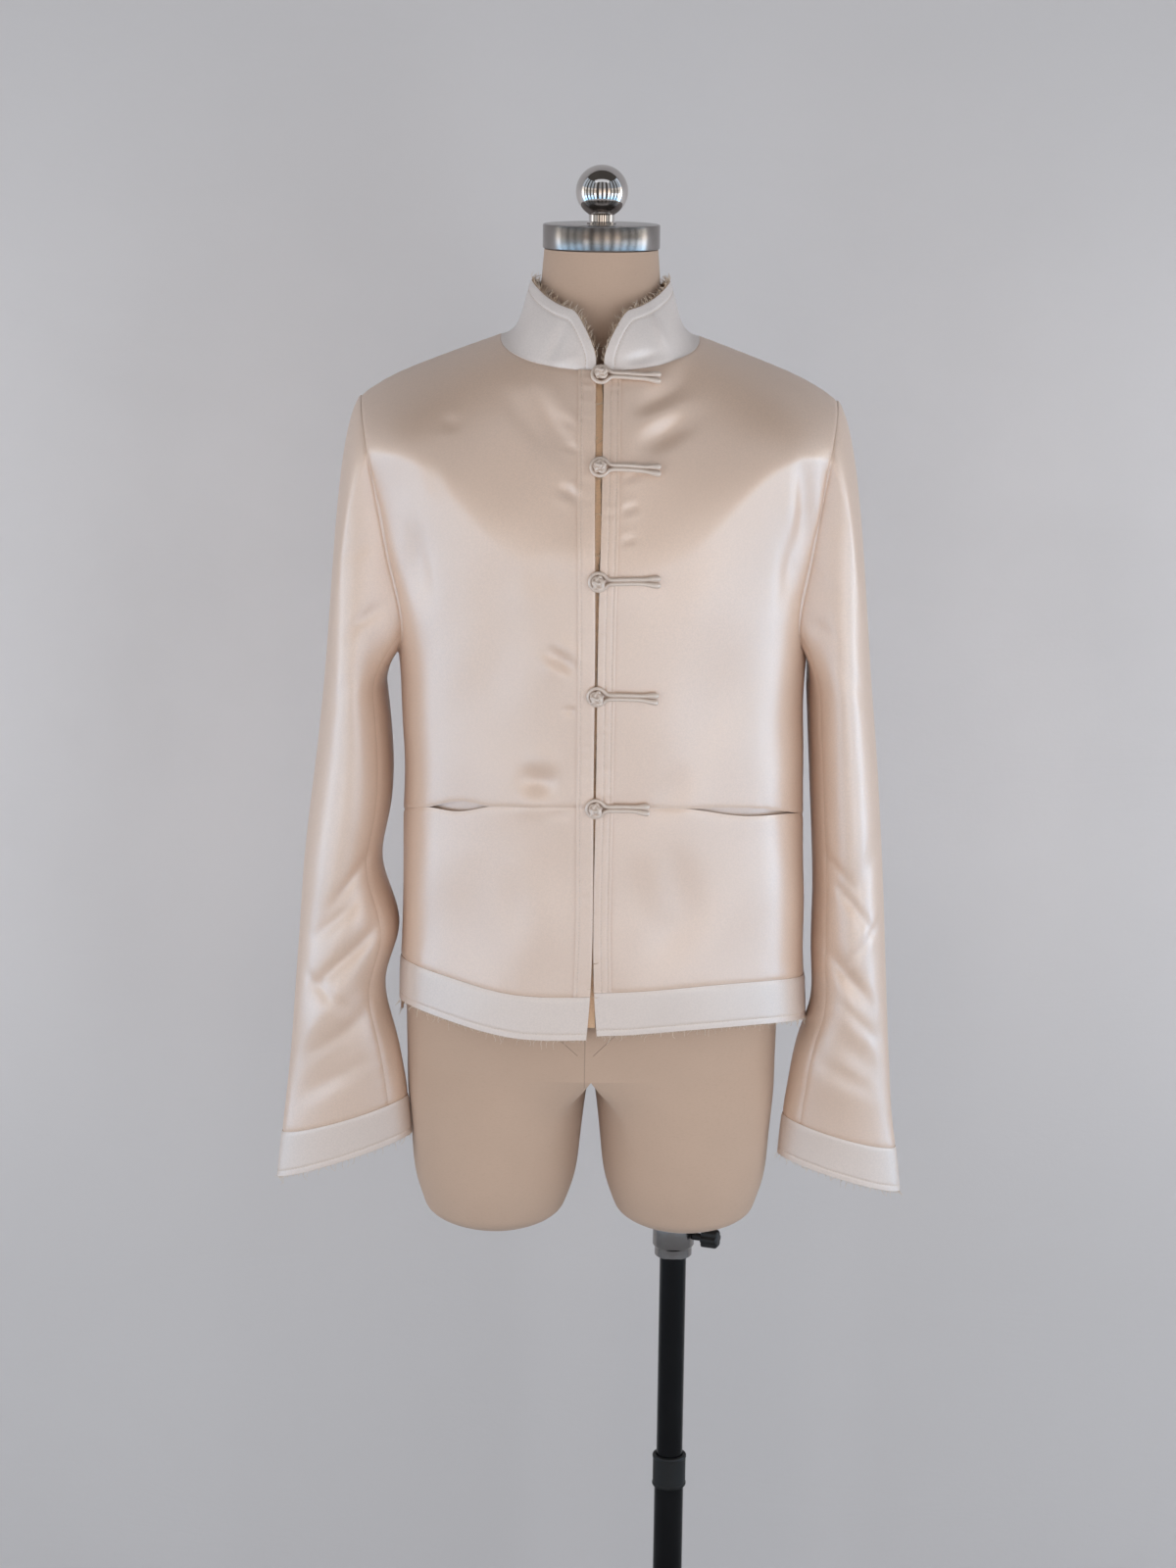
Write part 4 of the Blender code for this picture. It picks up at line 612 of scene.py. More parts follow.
@dataclass
class Grid:
    """Points of a piece's outer face, row by row, with their outward directions and flat places."""

    points: Array
    normals: Array
    flat: Array = field(init=False)

    def __post_init__(self) -> None:
        """Works out the flat places, in metres across and up."""
        self.flat = spread(travel(self.points, 1), travel(self.points).mean(axis=1)[:, None])

    def size(self) -> tuple[float, float]:
        """The widest row and the longest column, in metres."""
        along = np.linalg.norm(np.diff(self.points, axis=1), axis=2).sum(axis=1).max()
        up = np.linalg.norm(np.diff(self.points, axis=0), axis=2).sum(axis=0).max()
        return float(along), float(up)

    def push(self, depth: Array) -> None:
        """Moves the face in along its own directions."""
        self.points = self.points - self.normals * depth[..., None]

    def sample(self, row: Array, column: Array) -> Run:
        """The places between the grid's own, at rows and columns that need not be whole."""
        rows, columns = self.points.shape[:2]
        i = np.clip(np.floor(row).astype(int), 0, rows - 2)
        j = np.clip(np.floor(column).astype(int), 0, columns - 2)
        a, b = (row - i)[:, None], (column - j)[:, None]
        made = []
        for values in (self.points, self.normals):
            low = values[i, j] * (1 - b) + values[i, j + 1] * b
            high = values[i + 1, j] * (1 - b) + values[i + 1, j + 1] * b
            made.append(low * (1 - a) + high * a)
        return Run(made[0], unit(made[1]))

    def from_edge(self, edge: str) -> Array:
        """The points as rows that start at one of the edges bottom, top, start and end."""
        points = self.points.swapaxes(0, 1) if edge in ("start", "end") else self.points
        return points[::-1] if edge in ("top", "end") else points

    def dip(self, edge: str, depth: Array) -> None:
        """Presses the cloth in by depths that are given in rows from an edge."""
        depth = depth[::-1] if edge in ("top", "end") else depth
        self.push(depth.T if edge in ("start", "end") else depth)

    def line(self, edge: str, away: float) -> Run:
        """The line at a distance from an edge."""
        points = self.from_edge(edge)
        place = np.array([np.interp(away, column, np.arange(len(column))) for column in travel(points).T])
        if edge in ("top", "end"):
            place = len(points) - 1 - place
        other = np.arange(len(place), dtype=float)
        return self.sample(other, place) if edge in ("start", "end") else self.sample(place, other)

    def groove(self, edge: str, away: float, depth: float = 0.00035) -> None:
        """Presses the cloth in along a stitch line at a distance from an edge."""
        points = self.from_edge(edge)
        uneven = 1 + 0.5 * ripple(travel(points[0]), 0.006, 5)
        self.dip(edge, depth * np.exp(-(((travel(points) - away) / 0.0010) ** 2)) * uneven[None, :])

    def tuck(self, edges: str, depth: float = 0.0007, width: float = 0.0023, pucker: float = 0.0,
             seed: int = 1) -> None:
        """Rolls the cloth in at its seams, with the small puckers that stitching leaves.

        Args:
            edges: Which edges are seams, of bottom, top, start and end.
            depth: How far the cloth dips at a seam.
            width: How far from the seam it does.
            pucker: The height of the puckers.
            seed: Fixes the puckers.
        """
        for number, edge in enumerate(("bottom", "top", "start", "end")):
            if edge in edges.split():
                points = self.from_edge(edge)
                away = travel(points)
                wave = pucker * ripple(travel(points[0]), 0.011, 10 * seed + number)[None, :]
                fading = np.exp(-away / 0.006) * (1 - np.exp(-((away / 0.0016) ** 2)))
                self.dip(edge, depth * np.exp(-((away / width) ** 2)) + wave * fading)

    def seam(self, edges: str, pucker: float, seed: int) -> None:
        """Tucks edges in as seams and draws them in along the cloth, which leaves the seams' gaps."""
        self.tuck(edges, pucker=pucker, seed=seed)
        self.inset(**{edge: SEAM_GAP for edge in edges.split()})

    def inset(self, bottom: float = 0.0, top: float = 0.0, start: float = 0.0, end: float = 0.0) -> None:
        """Draws the outer rows and columns in along the cloth."""
        p = self.points
        for row, beside, distance in ((0, 1, bottom), (-1, -2, top)):
            p[row] = p[row] + unit(p[beside] - p[row]) * distance
        for column, beside, distance in ((0, 1, start), (-1, -2, end)):
            p[:, column] = p[:, column] + unit(p[:, beside] - p[:, column]) * distance


def body_grid(face: int, side: int, places: Place, lift: Array | float = 0.0) -> Grid:
    """A grid on the folded body, moved out by lift."""
    across, height = places
    normals = BodyShape.normal(face, side, across, height)
    points = BodyShape.point(face, side, across, height)
    depth = BodyShape.relief(face, side, across, height)
    return Grid(points + normals * (lift - depth)[..., None], normals)


# ---------------------------------------------------------------- shaders


def math_node(operation: str, swapped: bool = False) -> Callable[..., "Value"]:
    """A method of Value that adds a Math node.

    Args:
        operation: The node's operation.
        swapped: Whether the other value comes first.

    Returns:
        The method.
    """

    def method(self: "Value", *others: "Value | float") -> "Value":
        """The operation's result for this value and the others."""
        values = [*others, self] if swapped else [self, *others]
        return self.shader.node("ShaderNodeMath", {"operation": operation}, dict(enumerate(values)))

    return method


class Value:
    """A number's or a colour's socket that takes part in Python sums."""

    def __init__(self, shader: "Shader", socket: bpy.types.NodeSocket) -> None:
        """Keeps the socket and the shader that it belongs to."""
        self.shader, self.socket = shader, socket

    __add__, __radd__ = math_node("ADD"), math_node("ADD", swapped=True)
    __sub__, __mul__ = math_node("SUBTRACT"), math_node("MULTIPLY")
    absolute, sine, most = math_node("ABSOLUTE"), math_node("SINE"), math_node("MAXIMUM")

    def ramp(self, low: float, high: float) -> "Value":
        """0 below low, 1 above high and a smooth step between them, either way round."""
        settings = {"interpolation_type": "SMOOTHSTEP"}
        inputs = {"Value": self, "From Min": low, "From Max": high, "To Min": 0.0, "To Max": 1.0}
        return self.shader.node("ShaderNodeMapRange", settings, inputs)


class Shader:
    """A material's node tree, made node by node."""

    def __init__(self, name: str) -> None:
        """Starts an empty material."""
        self.material = bpy.data.materials.new(name)
        self.material.use_nodes = True
        self.tree = self.material.node_tree
        self.tree.nodes.clear()

    def node(self, kind: str, settings: dict[str, Any] | None = None,
             inputs: dict[Any, Any] | None = None, output: int | str = 0) -> Value:
        """Adds a node.

        Args:
            kind: The node's type.
            settings: What is set on the node itself, first.
            inputs: The values or links of its sockets, by name or number.
            output: Which of its outputs is wanted.

        Returns:
            The output's socket.
        """
        made = self.tree.nodes.new(kind)
        for key, value in (settings or {}).items():
            if key == "stops":
                self._stops(made, value)
            else:
                setattr(made, key, value)
        for key, value in (inputs or {}).items():
            if isinstance(value, Value):
                self.tree.links.new(value.socket, made.inputs[key])
            else:
                made.inputs[key].default_value = value
        return Value(self, made.outputs[output] if len(made.outputs) else None)

    @staticmethod
    def _stops(ramp: bpy.types.Node, stops: Sequence[tuple[float, tuple[float, float, float]]]) -> None:
        """Sets a colour ramp's stops."""
        elements = ramp.color_ramp.elements
        while len(elements) < len(stops):
            elements.new(0.5)
        for element, (place, colour) in zip(elements, stops):
            element.position, element.color = place, (*colour, 1.0)

    def place(self) -> Value:
        """The surface's place in the object."""
        return self.node("ShaderNodeTexCoord", output="Object")

    def parts(self, vector: Value) -> tuple[Value, Value, Value]:
        """A vector's three numbers."""
        made = self.tree.nodes.new("ShaderNodeSeparateXYZ")
        self.tree.links.new(vector.socket, made.inputs[0])
        return tuple(Value(self, made.outputs[k]) for k in range(3))

    def flat(self) -> Value:
        """The cloth's own place, across and up in metres, from its map."""
        return self.node("ShaderNodeUVMap", {"uv_map": "cloth"})

    def scaled(self, vector: Value, scale: tuple[float, float, float],
               turn: tuple[float, float, float] = (0, 0, 0)) -> Value:
        """A vector stretched and turned."""
        inputs = {"Vector": vector, "Scale": scale, "Rotation": turn}
        return self.node("ShaderNodeMapping", inputs=inputs)

    def noise(self, vector: Value, scale: float, detail: float = 2.0, rough: float = 0.5,
              twist: float = 0.0) -> Value:
        """A noise between 0 and 1."""
        inputs = {"Vector": vector, "Scale": scale, "Detail": detail, "Roughness": rough,
                  "Distortion": twist}
        return self.node("ShaderNodeTexNoise", inputs=inputs)

    def mix(self, share: Value | float, first: Any, second: Any) -> Value:
        """A colour between two others."""
        made = self.tree.nodes.new("ShaderNodeMix")
        made.data_type = "RGBA"
        for key, value in ((0, share), (6, first), (7, second)):
            if isinstance(value, Value):
                self.tree.links.new(value.socket, made.inputs[key])
            else:
                made.inputs[key].default_value = (*value, 1.0) if isinstance(value, tuple) else value
        return Value(self, made.outputs[2])

    def bump(self, height: Value, distance: float, strength: float = 1.0) -> Value:
        """A direction shaken by a height in metres times distance."""
        inputs = {"Height": height, "Distance": distance, "Strength": strength}
        return self.node("ShaderNodeBump", inputs=inputs)

    def finish(self, inputs: dict[str, Any]) -> bpy.types.Material:
        """Ends the tree in one shader.

        Args:
            inputs: The Principled shader's values and links by socket name.

        Returns:
            The material.
        """
        surface = self.node("ShaderNodeBsdfPrincipled", inputs=inputs)
        self.node("ShaderNodeOutputMaterial", inputs={"Surface": surface})
        return self.material


Colour = tuple[float, float, float]


def shade(colour: Colour, share: float) -> Colour:
    """A colour at a share of its brightness."""
    return tuple(share * part for part in colour)


@dataclass(frozen=True)
class Satin:
    """Heavy satin: a pale peach ground under a broad cool sheen."""

    name: str
    colour: Colour
    roughness: float = 0.42
    sheen: float = 0.05
    gloss: float = 1.0

    def material(self) -> bpy.types.Material:
        """The finish's material."""
        shader = Shader(self.name)
        flat = shader.flat()
        cloud = shader.noise(shader.place(), 9.0, 3.0)
        slub = shader.noise(shader.scaled(flat, (420.0, 2400.0, 1.0)), 1.0, 3.0, 0.6)
        grain = shader.noise(shader.scaled(flat, (1500.0, 900.0, 1.0)), 1.0, 2.0, 0.6)
        fleck = shader.noise(shader.place(), 620.0, 4.0, 0.7)
        colour = shader.mix(cloud.ramp(0.3, 0.7), self.colour, shade(self.colour, 0.95))
        colour = shader.mix(fleck.ramp(0.35, 0.65), colour, shade(self.colour, 0.90))
        colour = shader.mix(slub.ramp(0.25, 0.8) * 0.25, colour, shade(self.colour, 0.9))
        normal = shader.bump(slub * 0.6 + grain * 0.4, 0.00005, 0.6)
        return shader.finish({
            "Base Color": colour,
            "Roughness": self.roughness - 0.05 + cloud * 0.06 + fleck * 0.05,
            "IOR": 1.9,
            "Specular IOR Level": self.gloss,
            "Sheen Weight": self.sheen,
            "Sheen Roughness": 0.4,
            "Normal": normal,
        })


@dataclass(frozen=True)
class Linen:
    """Plain woven cloth stretched over the form, with its seams pressed in.

    A seam in front is a line between two places, as (x, height); a level seam goes round at a height.
    """

    name: str
    colour: Colour
    front_seams: tuple[tuple[tuple[float, float], tuple[float, float]], ...] = (
        ((-0.006, 1.300), (-0.006, 0.739)), ((-0.051, 0.806), (-0.013, 0.771)),
        ((0.037, 0.806), (0.002, 0.771)))
    back_seams: tuple[tuple[tuple[float, float], tuple[float, float]], ...] = (
        ((0.0, 1.300), (0.0, 0.739)),)
    level_seams: tuple[float, ...] = (1.4035, 1.005)
    side_seam_y: float = 0.006
    seam_width: float = 0.0005

    def seams(self, x: Value, y: Value, z: Value) -> Value:
        """Where the seams are, from 0 to 1.

        Args:
            x: The distance from the centre line.
            y: The depth.
            z: The height.

        Returns:
            The mask.
        """

        def pressed(away: Value) -> Value:
            """The mask of a seam at distances from it."""
            return away.absolute().ramp(self.seam_width, 0.3 * self.seam_width)

        total = pressed(y - self.side_seam_y)
        for height in self.level_seams:
            total = total.most(pressed(z - height))
        for seams, facing in ((self.front_seams, y.ramp(-0.02, -0.03)),
                              (self.back_seams, y.ramp(0.02, 0.03))):
            for start, end in seams:
                run = (end[0] - start[0], end[1] - start[1])
                length = math.hypot(*run)
                ahead = ((x - start[0]) * run[0] + (z - start[1]) * run[1]) * (1 / length)
                aside = ((x - start[0]) * run[1] - (z - start[1]) * run[0]) * (1 / length)
                near = pressed(aside) * ahead.ramp(-0.001, 0.0) * ahead.ramp(length + 0.001, length)
                total = total.most(near * facing)
        return total

    def material(self) -> bpy.types.Material:
        """The finish's material."""
        shader = Shader(self.name)
        place = shader.place()
        x, y, z = shader.parts(place)
        warp = (x * 5200.0).sine() * 0.5 + (z * 5200.0).sine() * 0.5
        slub = shader.noise(shader.scaled(place, (300.0, 300.0, 1400.0)), 1.0, 3.0)
        cloud = shader.noise(place, 6.0, 3.0)
        colour = shader.mix(cloud.ramp(0.3, 0.7), self.colour, shade(self.colour, 0.93))
        colour = shader.mix(slub.ramp(0.45, 0.8) * 0.35, colour, shade(self.colour, 0.82))
        seams = self.seams(x, y, z)
        colour = shader.mix(seams * 0.5, colour, shade(self.colour, 0.45))
        normal = shader.bump(warp * 0.3 + slub - seams * 6.0, 0.00012, 0.6)
        return shader.finish({
            "Base Color": colour,
            "Roughness": 0.86 + slub * 0.08,
            "Specular IOR Level": 0.25,
            "Sheen Weight": 0.12,
            "Sheen Roughness": 0.5,
            "Normal": normal,
        })


@dataclass(frozen=True)
class Metal:
    """Bare metal, turned or polished."""

    name: str
    colour: Colour
    roughness: float
    brushed: float = 0.0

    def material(self) -> bpy.types.Material:
        """The finish's material."""
        shader = Shader(self.name)
        place = shader.place()
        rings = shader.noise(shader.scaled(place, (6.0, 6.0, 2600.0)), 1.0, 3.0)
        smear = shader.noise(place, 60.0, 3.0)
        return shader.finish({
            "Base Color": shader.mix(smear.ramp(0.3, 0.7), self.colour, shade(self.colour, 0.88)),
            "Metallic": 1.0,
            "Roughness": self.roughness + smear * 0.04 + rings * self.brushed,
            "Normal": shader.bump(rings, 0.00002, self.brushed),
        })


@dataclass(frozen=True)
class Coated:
    """Paint or plastic over a hard piece."""

    name: str
    colour: Colour
    roughness: float
    grain: float = 0.0

    def material(self) -> bpy.types.Material:
        """The finish's material."""
        shader = Shader(self.name)
        place = shader.place()
        smear = shader.noise(place, 35.0, 4.0)
        pebble = shader.noise(place, 1800.0, 2.0)
        worn = tuple(min(part * 1.5 + 0.002, 1.0) for part in self.colour)
        return shader.finish({
            "Base Color": shader.mix(smear.ramp(0.45, 0.8), self.colour, worn),
            "Roughness": self.roughness - 0.04 + smear * 0.1,
            "Specular IOR Level": 0.2,
            "Normal": shader.bump(pebble, 0.00006, 0.1 + self.grain),
        })


@dataclass(frozen=True)
class Thread:
    """Sewing thread and frayed yarn."""

    name: str
    colour: Colour

    def material(self) -> bpy.types.Material:
        """The finish's material."""
        shader = Shader(self.name)
        place = shader.place()
        cloud = shader.noise(place, 900.0, 2.0)
        return shader.finish({
            "Base Color": shader.mix(cloud.ramp(0.35, 0.65), self.colour, shade(self.colour, 0.8)),
            "Roughness": 0.55 + cloud * 0.2,
            "Specular IOR Level": 0.4,
            "Sheen Weight": 0.2,
        })


class Finish(Enum):
    """The finishes of the pieces, each with its material."""

    SATIN = Satin("satin", (0.79, 0.575, 0.44))
    REVERSE = Satin("satin_reverse", (0.66, 0.46, 0.31), 0.62, 0.05, 0.4)
    # painted sheen: the hem bands and cuffs get a lighter, cooler base colour that stands in for their
    # bright reflection
    CROSS = Satin("satin_across_the_grain", (0.76, 0.63, 0.55), 0.48, 0.1, 0.85)
    # painted sheen: the collar gets a whiter, cooler base colour that stands in for the cool reflection its
    # tilt doesn't catch
    COLLAR = Satin("collar_satin", (0.79, 0.70, 0.655), 0.46, 0.1)
    CORD = Satin("cord_satin", (0.74, 0.60, 0.50), 0.42, 0.05, 0.9)
    FACING = Satin("facing_cloth", (0.90, 0.60, 0.36), 0.55, 0.05, 0.35)
    STITCH = Thread("sewing_thread", (0.74, 0.61, 0.51))
    FRAY = Thread("frayed_yarn", (0.80, 0.68, 0.56))
    TAN_FRAY = Thread("frayed_tan_yarn", (0.66, 0.49, 0.34))
    LINEN = Linen("form_linen", (0.605, 0.44, 0.335))
    STEEL = Metal("brushed_steel", (0.31, 0.285, 0.27), 0.17, 0.06)
    CHROME = Metal("polished_chrome", (0.64, 0.60, 0.58), 0.03)
    PAINT = Coated("gloss_black_paint", (0.003, 0.003, 0.0035), 0.20)
    PLASTIC = Coated("black_plastic", (0.018, 0.018, 0.018), 0.45, 0.5)


MADE: dict[Finish, bpy.types.Material] = {}


def dressed(finish: Finish) -> bpy.types.Material:
    """The finish's material, made once."""
    if finish not in MADE:
        MADE[finish] = finish.value.material()
    return MADE[finish]


# ---------------------------------------------------------------- meshes


def linked(name: str, data: bpy.types.ID) -> bpy.types.Object:
    """A new object in the scene."""
    made = bpy.data.objects.new(name, data)
    bpy.context.scene.collection.objects.link(made)
    return made


def new_piece(name: str, points: Array, faces: Sequence[Sequence[int]], finishes: Sequence[Finish],
              slots: Array | None = None, flat: Array | None = None,
              angle: float = 42.0) -> bpy.types.Object:
    """A smooth-shaded mesh object at the origin.

    Args:
        name: The piece's name.
        points: Its points.
        faces: Its faces, which point outwards.
        finishes: Its finishes.
        slots: Each face's finish by number.
        flat: Each point's place on the flat cloth.
        angle: Edges sharper than this many degrees stay sharp.

    Returns:
        The object.
    """
    mesh = bpy.data.meshes.new(name)
    mesh.from_pydata(points.tolist(), [], faces)
    for finish in finishes:
        mesh.materials.append(dressed(finish))
    if slots is not None:
        mesh.polygons.foreach_set("material_index", slots)
    corners = np.empty(len(mesh.loops), int)
    mesh.loops.foreach_get("vertex_index", corners)
    if flat is not None:
        layer = mesh.uv_layers.new(name="cloth")
        layer.data.foreach_set("uv", flat[corners].ravel())
    mesh.shade_smooth()
    mesh.set_sharp_from_angle(angle=math.radians(angle))
    mesh.update()
    return linked(name, mesh)


def shell(name: str, grid: Grid, thickness: float, outer: Finish = Finish.SATIN,
          inner: Finish = Finish.REVERSE, ring: bool = False) -> bpy.types.Object:
    """A closed thin wall whose outer face is the grid.

    Args:
        name: The piece's name.
        grid: The outer face.
        thickness: The wall's thickness.
        outer: The finish outside.
        inner: The finish inside and on the edges.
        ring: Whether the last column joins the first.

    Returns:
        The object.
    """
    rows, columns = grid.points.shape[:2]
    outside = grid.points.reshape(-1, 3)
    inside = (grid.points - grid.normals * thickness).reshape(-1, 3)
    count = rows * columns
    index = np.arange(count).reshape(rows, columns)
    if ring:
        index = np.concatenate([index, index[:, :1]], axis=1)
    a, b, c, d = index[:-1, :-1], index[:-1, 1:], index[1:, 1:], index[1:, :-1]
    face = np.stack([a, b, c, d], axis=-1).reshape(-1, 4)
    across = outside[face[:, 2]] - outside[face[:, 0]]
    up = outside[face[:, 3]] - outside[face[:, 1]]
    facing = (np.cross(across, up) * grid.normals.reshape(-1, 3)[face[:, 0]]).sum()
    rims = [np.stack([index[0, 1:], index[0, :-1], count + index[0, :-1], count + index[0, 1:]], -1),
            np.stack([index[-1, :-1], index[-1, 1:], count + index[-1, 1:], count + index[-1, :-1]], -1)]
    if not ring:
        low, high = index[:-1, 0], index[1:, 0]
        rims.append(np.stack([low, high, count + high, count + low], -1))
        low, high = index[:-1, -1], index[1:, -1]
        rims.append(np.stack([high, low, count + low, count + high], -1))
    faces = np.concatenate([face, count + face[:, ::-1], *rims])
    slots = np.ones(len(faces), int)
    slots[: len(face)] = 0
    if facing < 0:
        faces = faces[:, ::-1]
    flat = np.tile(grid.flat.reshape(-1, 2), (2, 1))
    return new_piece(name, np.concatenate([outside, inside]), faces.tolist(), (outer, inner), slots, flat)


def swept(name: str, path: Array, radius: float | Array, finish: Finish, sides: int = 10,
          closed: bool = False) -> bpy.types.Object:
    """A round cord along a path, with round ends unless it is closed.

    Args:
        name: The piece's name.
        path: The cord's middle line.
        radius: Half its thickness, for all of it or for each point.
        finish: Its finish.
        sides: Points round it.
        closed: Whether its end joins its start.

    Returns:
        The object.
    """
    half = np.broadcast_to(radius, len(path))
    points, radii = list(path), list(half)
    for where, toward in () if closed else ((0, 1), (-1, -2)):
        away = unit(path[where] - path[toward])
        for lean in (0.45, 0.9, 1.25, 1.5):
            end = 0 if where == 0 else len(points)
            points.insert(end, path[where] + away * half[where] * math.sin(lean))
            radii.insert(end, half[where] * math.cos(lean))
    line = np.array(points)
    ahead = np.roll(line, -1, 0) - np.roll(line, 1, 0)
    if not closed:
        ahead[0], ahead[-1] = line[1] - line[0], line[-1] - line[-2]
    ahead = unit(ahead)
    across = np.cross(ahead, (0.31, 0.67, 0.71))
    across[0] = unit(across[0])
    for k, direction in enumerate(ahead):
        before = across[max(k - 1, 0)]
        across[k] = unit(before - direction * (before @ direction))
    other = np.cross(ahead, across)
    turn = np.linspace(0, 2 * np.pi, sides, endpoint=False)
    twist = math.atan2(float(across[0] @ np.cross(ahead[0], across[-1])), float(across[0] @ across[-1]))
    angle = turn[None, :] + np.linspace(0, twist if closed else 0, len(line))[:, None]
    ring = across[:, None] * np.cos(angle)[..., None] + other[:, None] * np.sin(angle)[..., None]
    rings = line[:, None] + ring * np.array(radii)[:, None, None]
    index = np.arange(len(line) * sides).reshape(len(line), sides)
    after, beyond = np.roll(index, -1, 0), np.roll(index, -1, 1)
    quads = np.stack([index, beyond, np.roll(after, -1, 1), after], -1)
    faces = quads[: len(line) if closed else -1].reshape(-1, 4).tolist()
    if not closed:
        faces += [index[0, ::-1].tolist(), index[-1].tolist()]
    flat = spread(travel(line)[:, None], turn[None, :] * float(half[0])).reshape(-1, 2)
    return new_piece(name, rings.reshape(-1, 3), faces, (finish,), flat=flat)


def lathe(name: str, profile: Sequence[tuple[float, float]], finish: Finish, place: Matrix,
          sides: int = 96, ring: bool = False) -> bpy.types.Object:
    """A piece turned about a place's own Z, from (radius, height) pairs given bottom to top.

    Args:
        name: The piece's name.
        profile: The outline; a radius of 0 closes it at a pole.
        finish: Its finish.
        place: Where its axis stands.
        sides: Points round it.
        ring: Whether the outline closes on itself, as a tube's does.

    Returns:
        The object.
    """
    points: list[Vector] = []
    rings: list[list[int]] = []
    for radius, height in profile:
        start = len(points)
        if radius == 0:
            points.append(place @ Vector((0, 0, height)))
            rings.append([start] * sides)
            continue
        for k in range(sides):
            turn = 2 * math.pi * k / sides
            points.append(place @ Vector((radius * math.cos(turn), radius * math.sin(turn), height)))
        rings.append(list(range(start, start + sides)))
    faces = []
    pairs = list(zip(rings, rings[1:])) + ([(rings[-1], rings[0])] if ring else [])
    for low, high in pairs:
        for k in range(sides):
            corners = (low[k], low[(k + 1) % sides], high[(k + 1) % sides], high[k])
            faces.append(tuple(dict.fromkeys(corners)))
    if not ring and profile[0][0] != 0:
        faces.append(tuple(reversed(rings[0])))
    if not ring and profile[-1][0] != 0:
        faces.append(tuple(rings[-1]))
    return new_piece(name, np.array([tuple(p) for p in points]), faces, (finish,), angle=35.0)


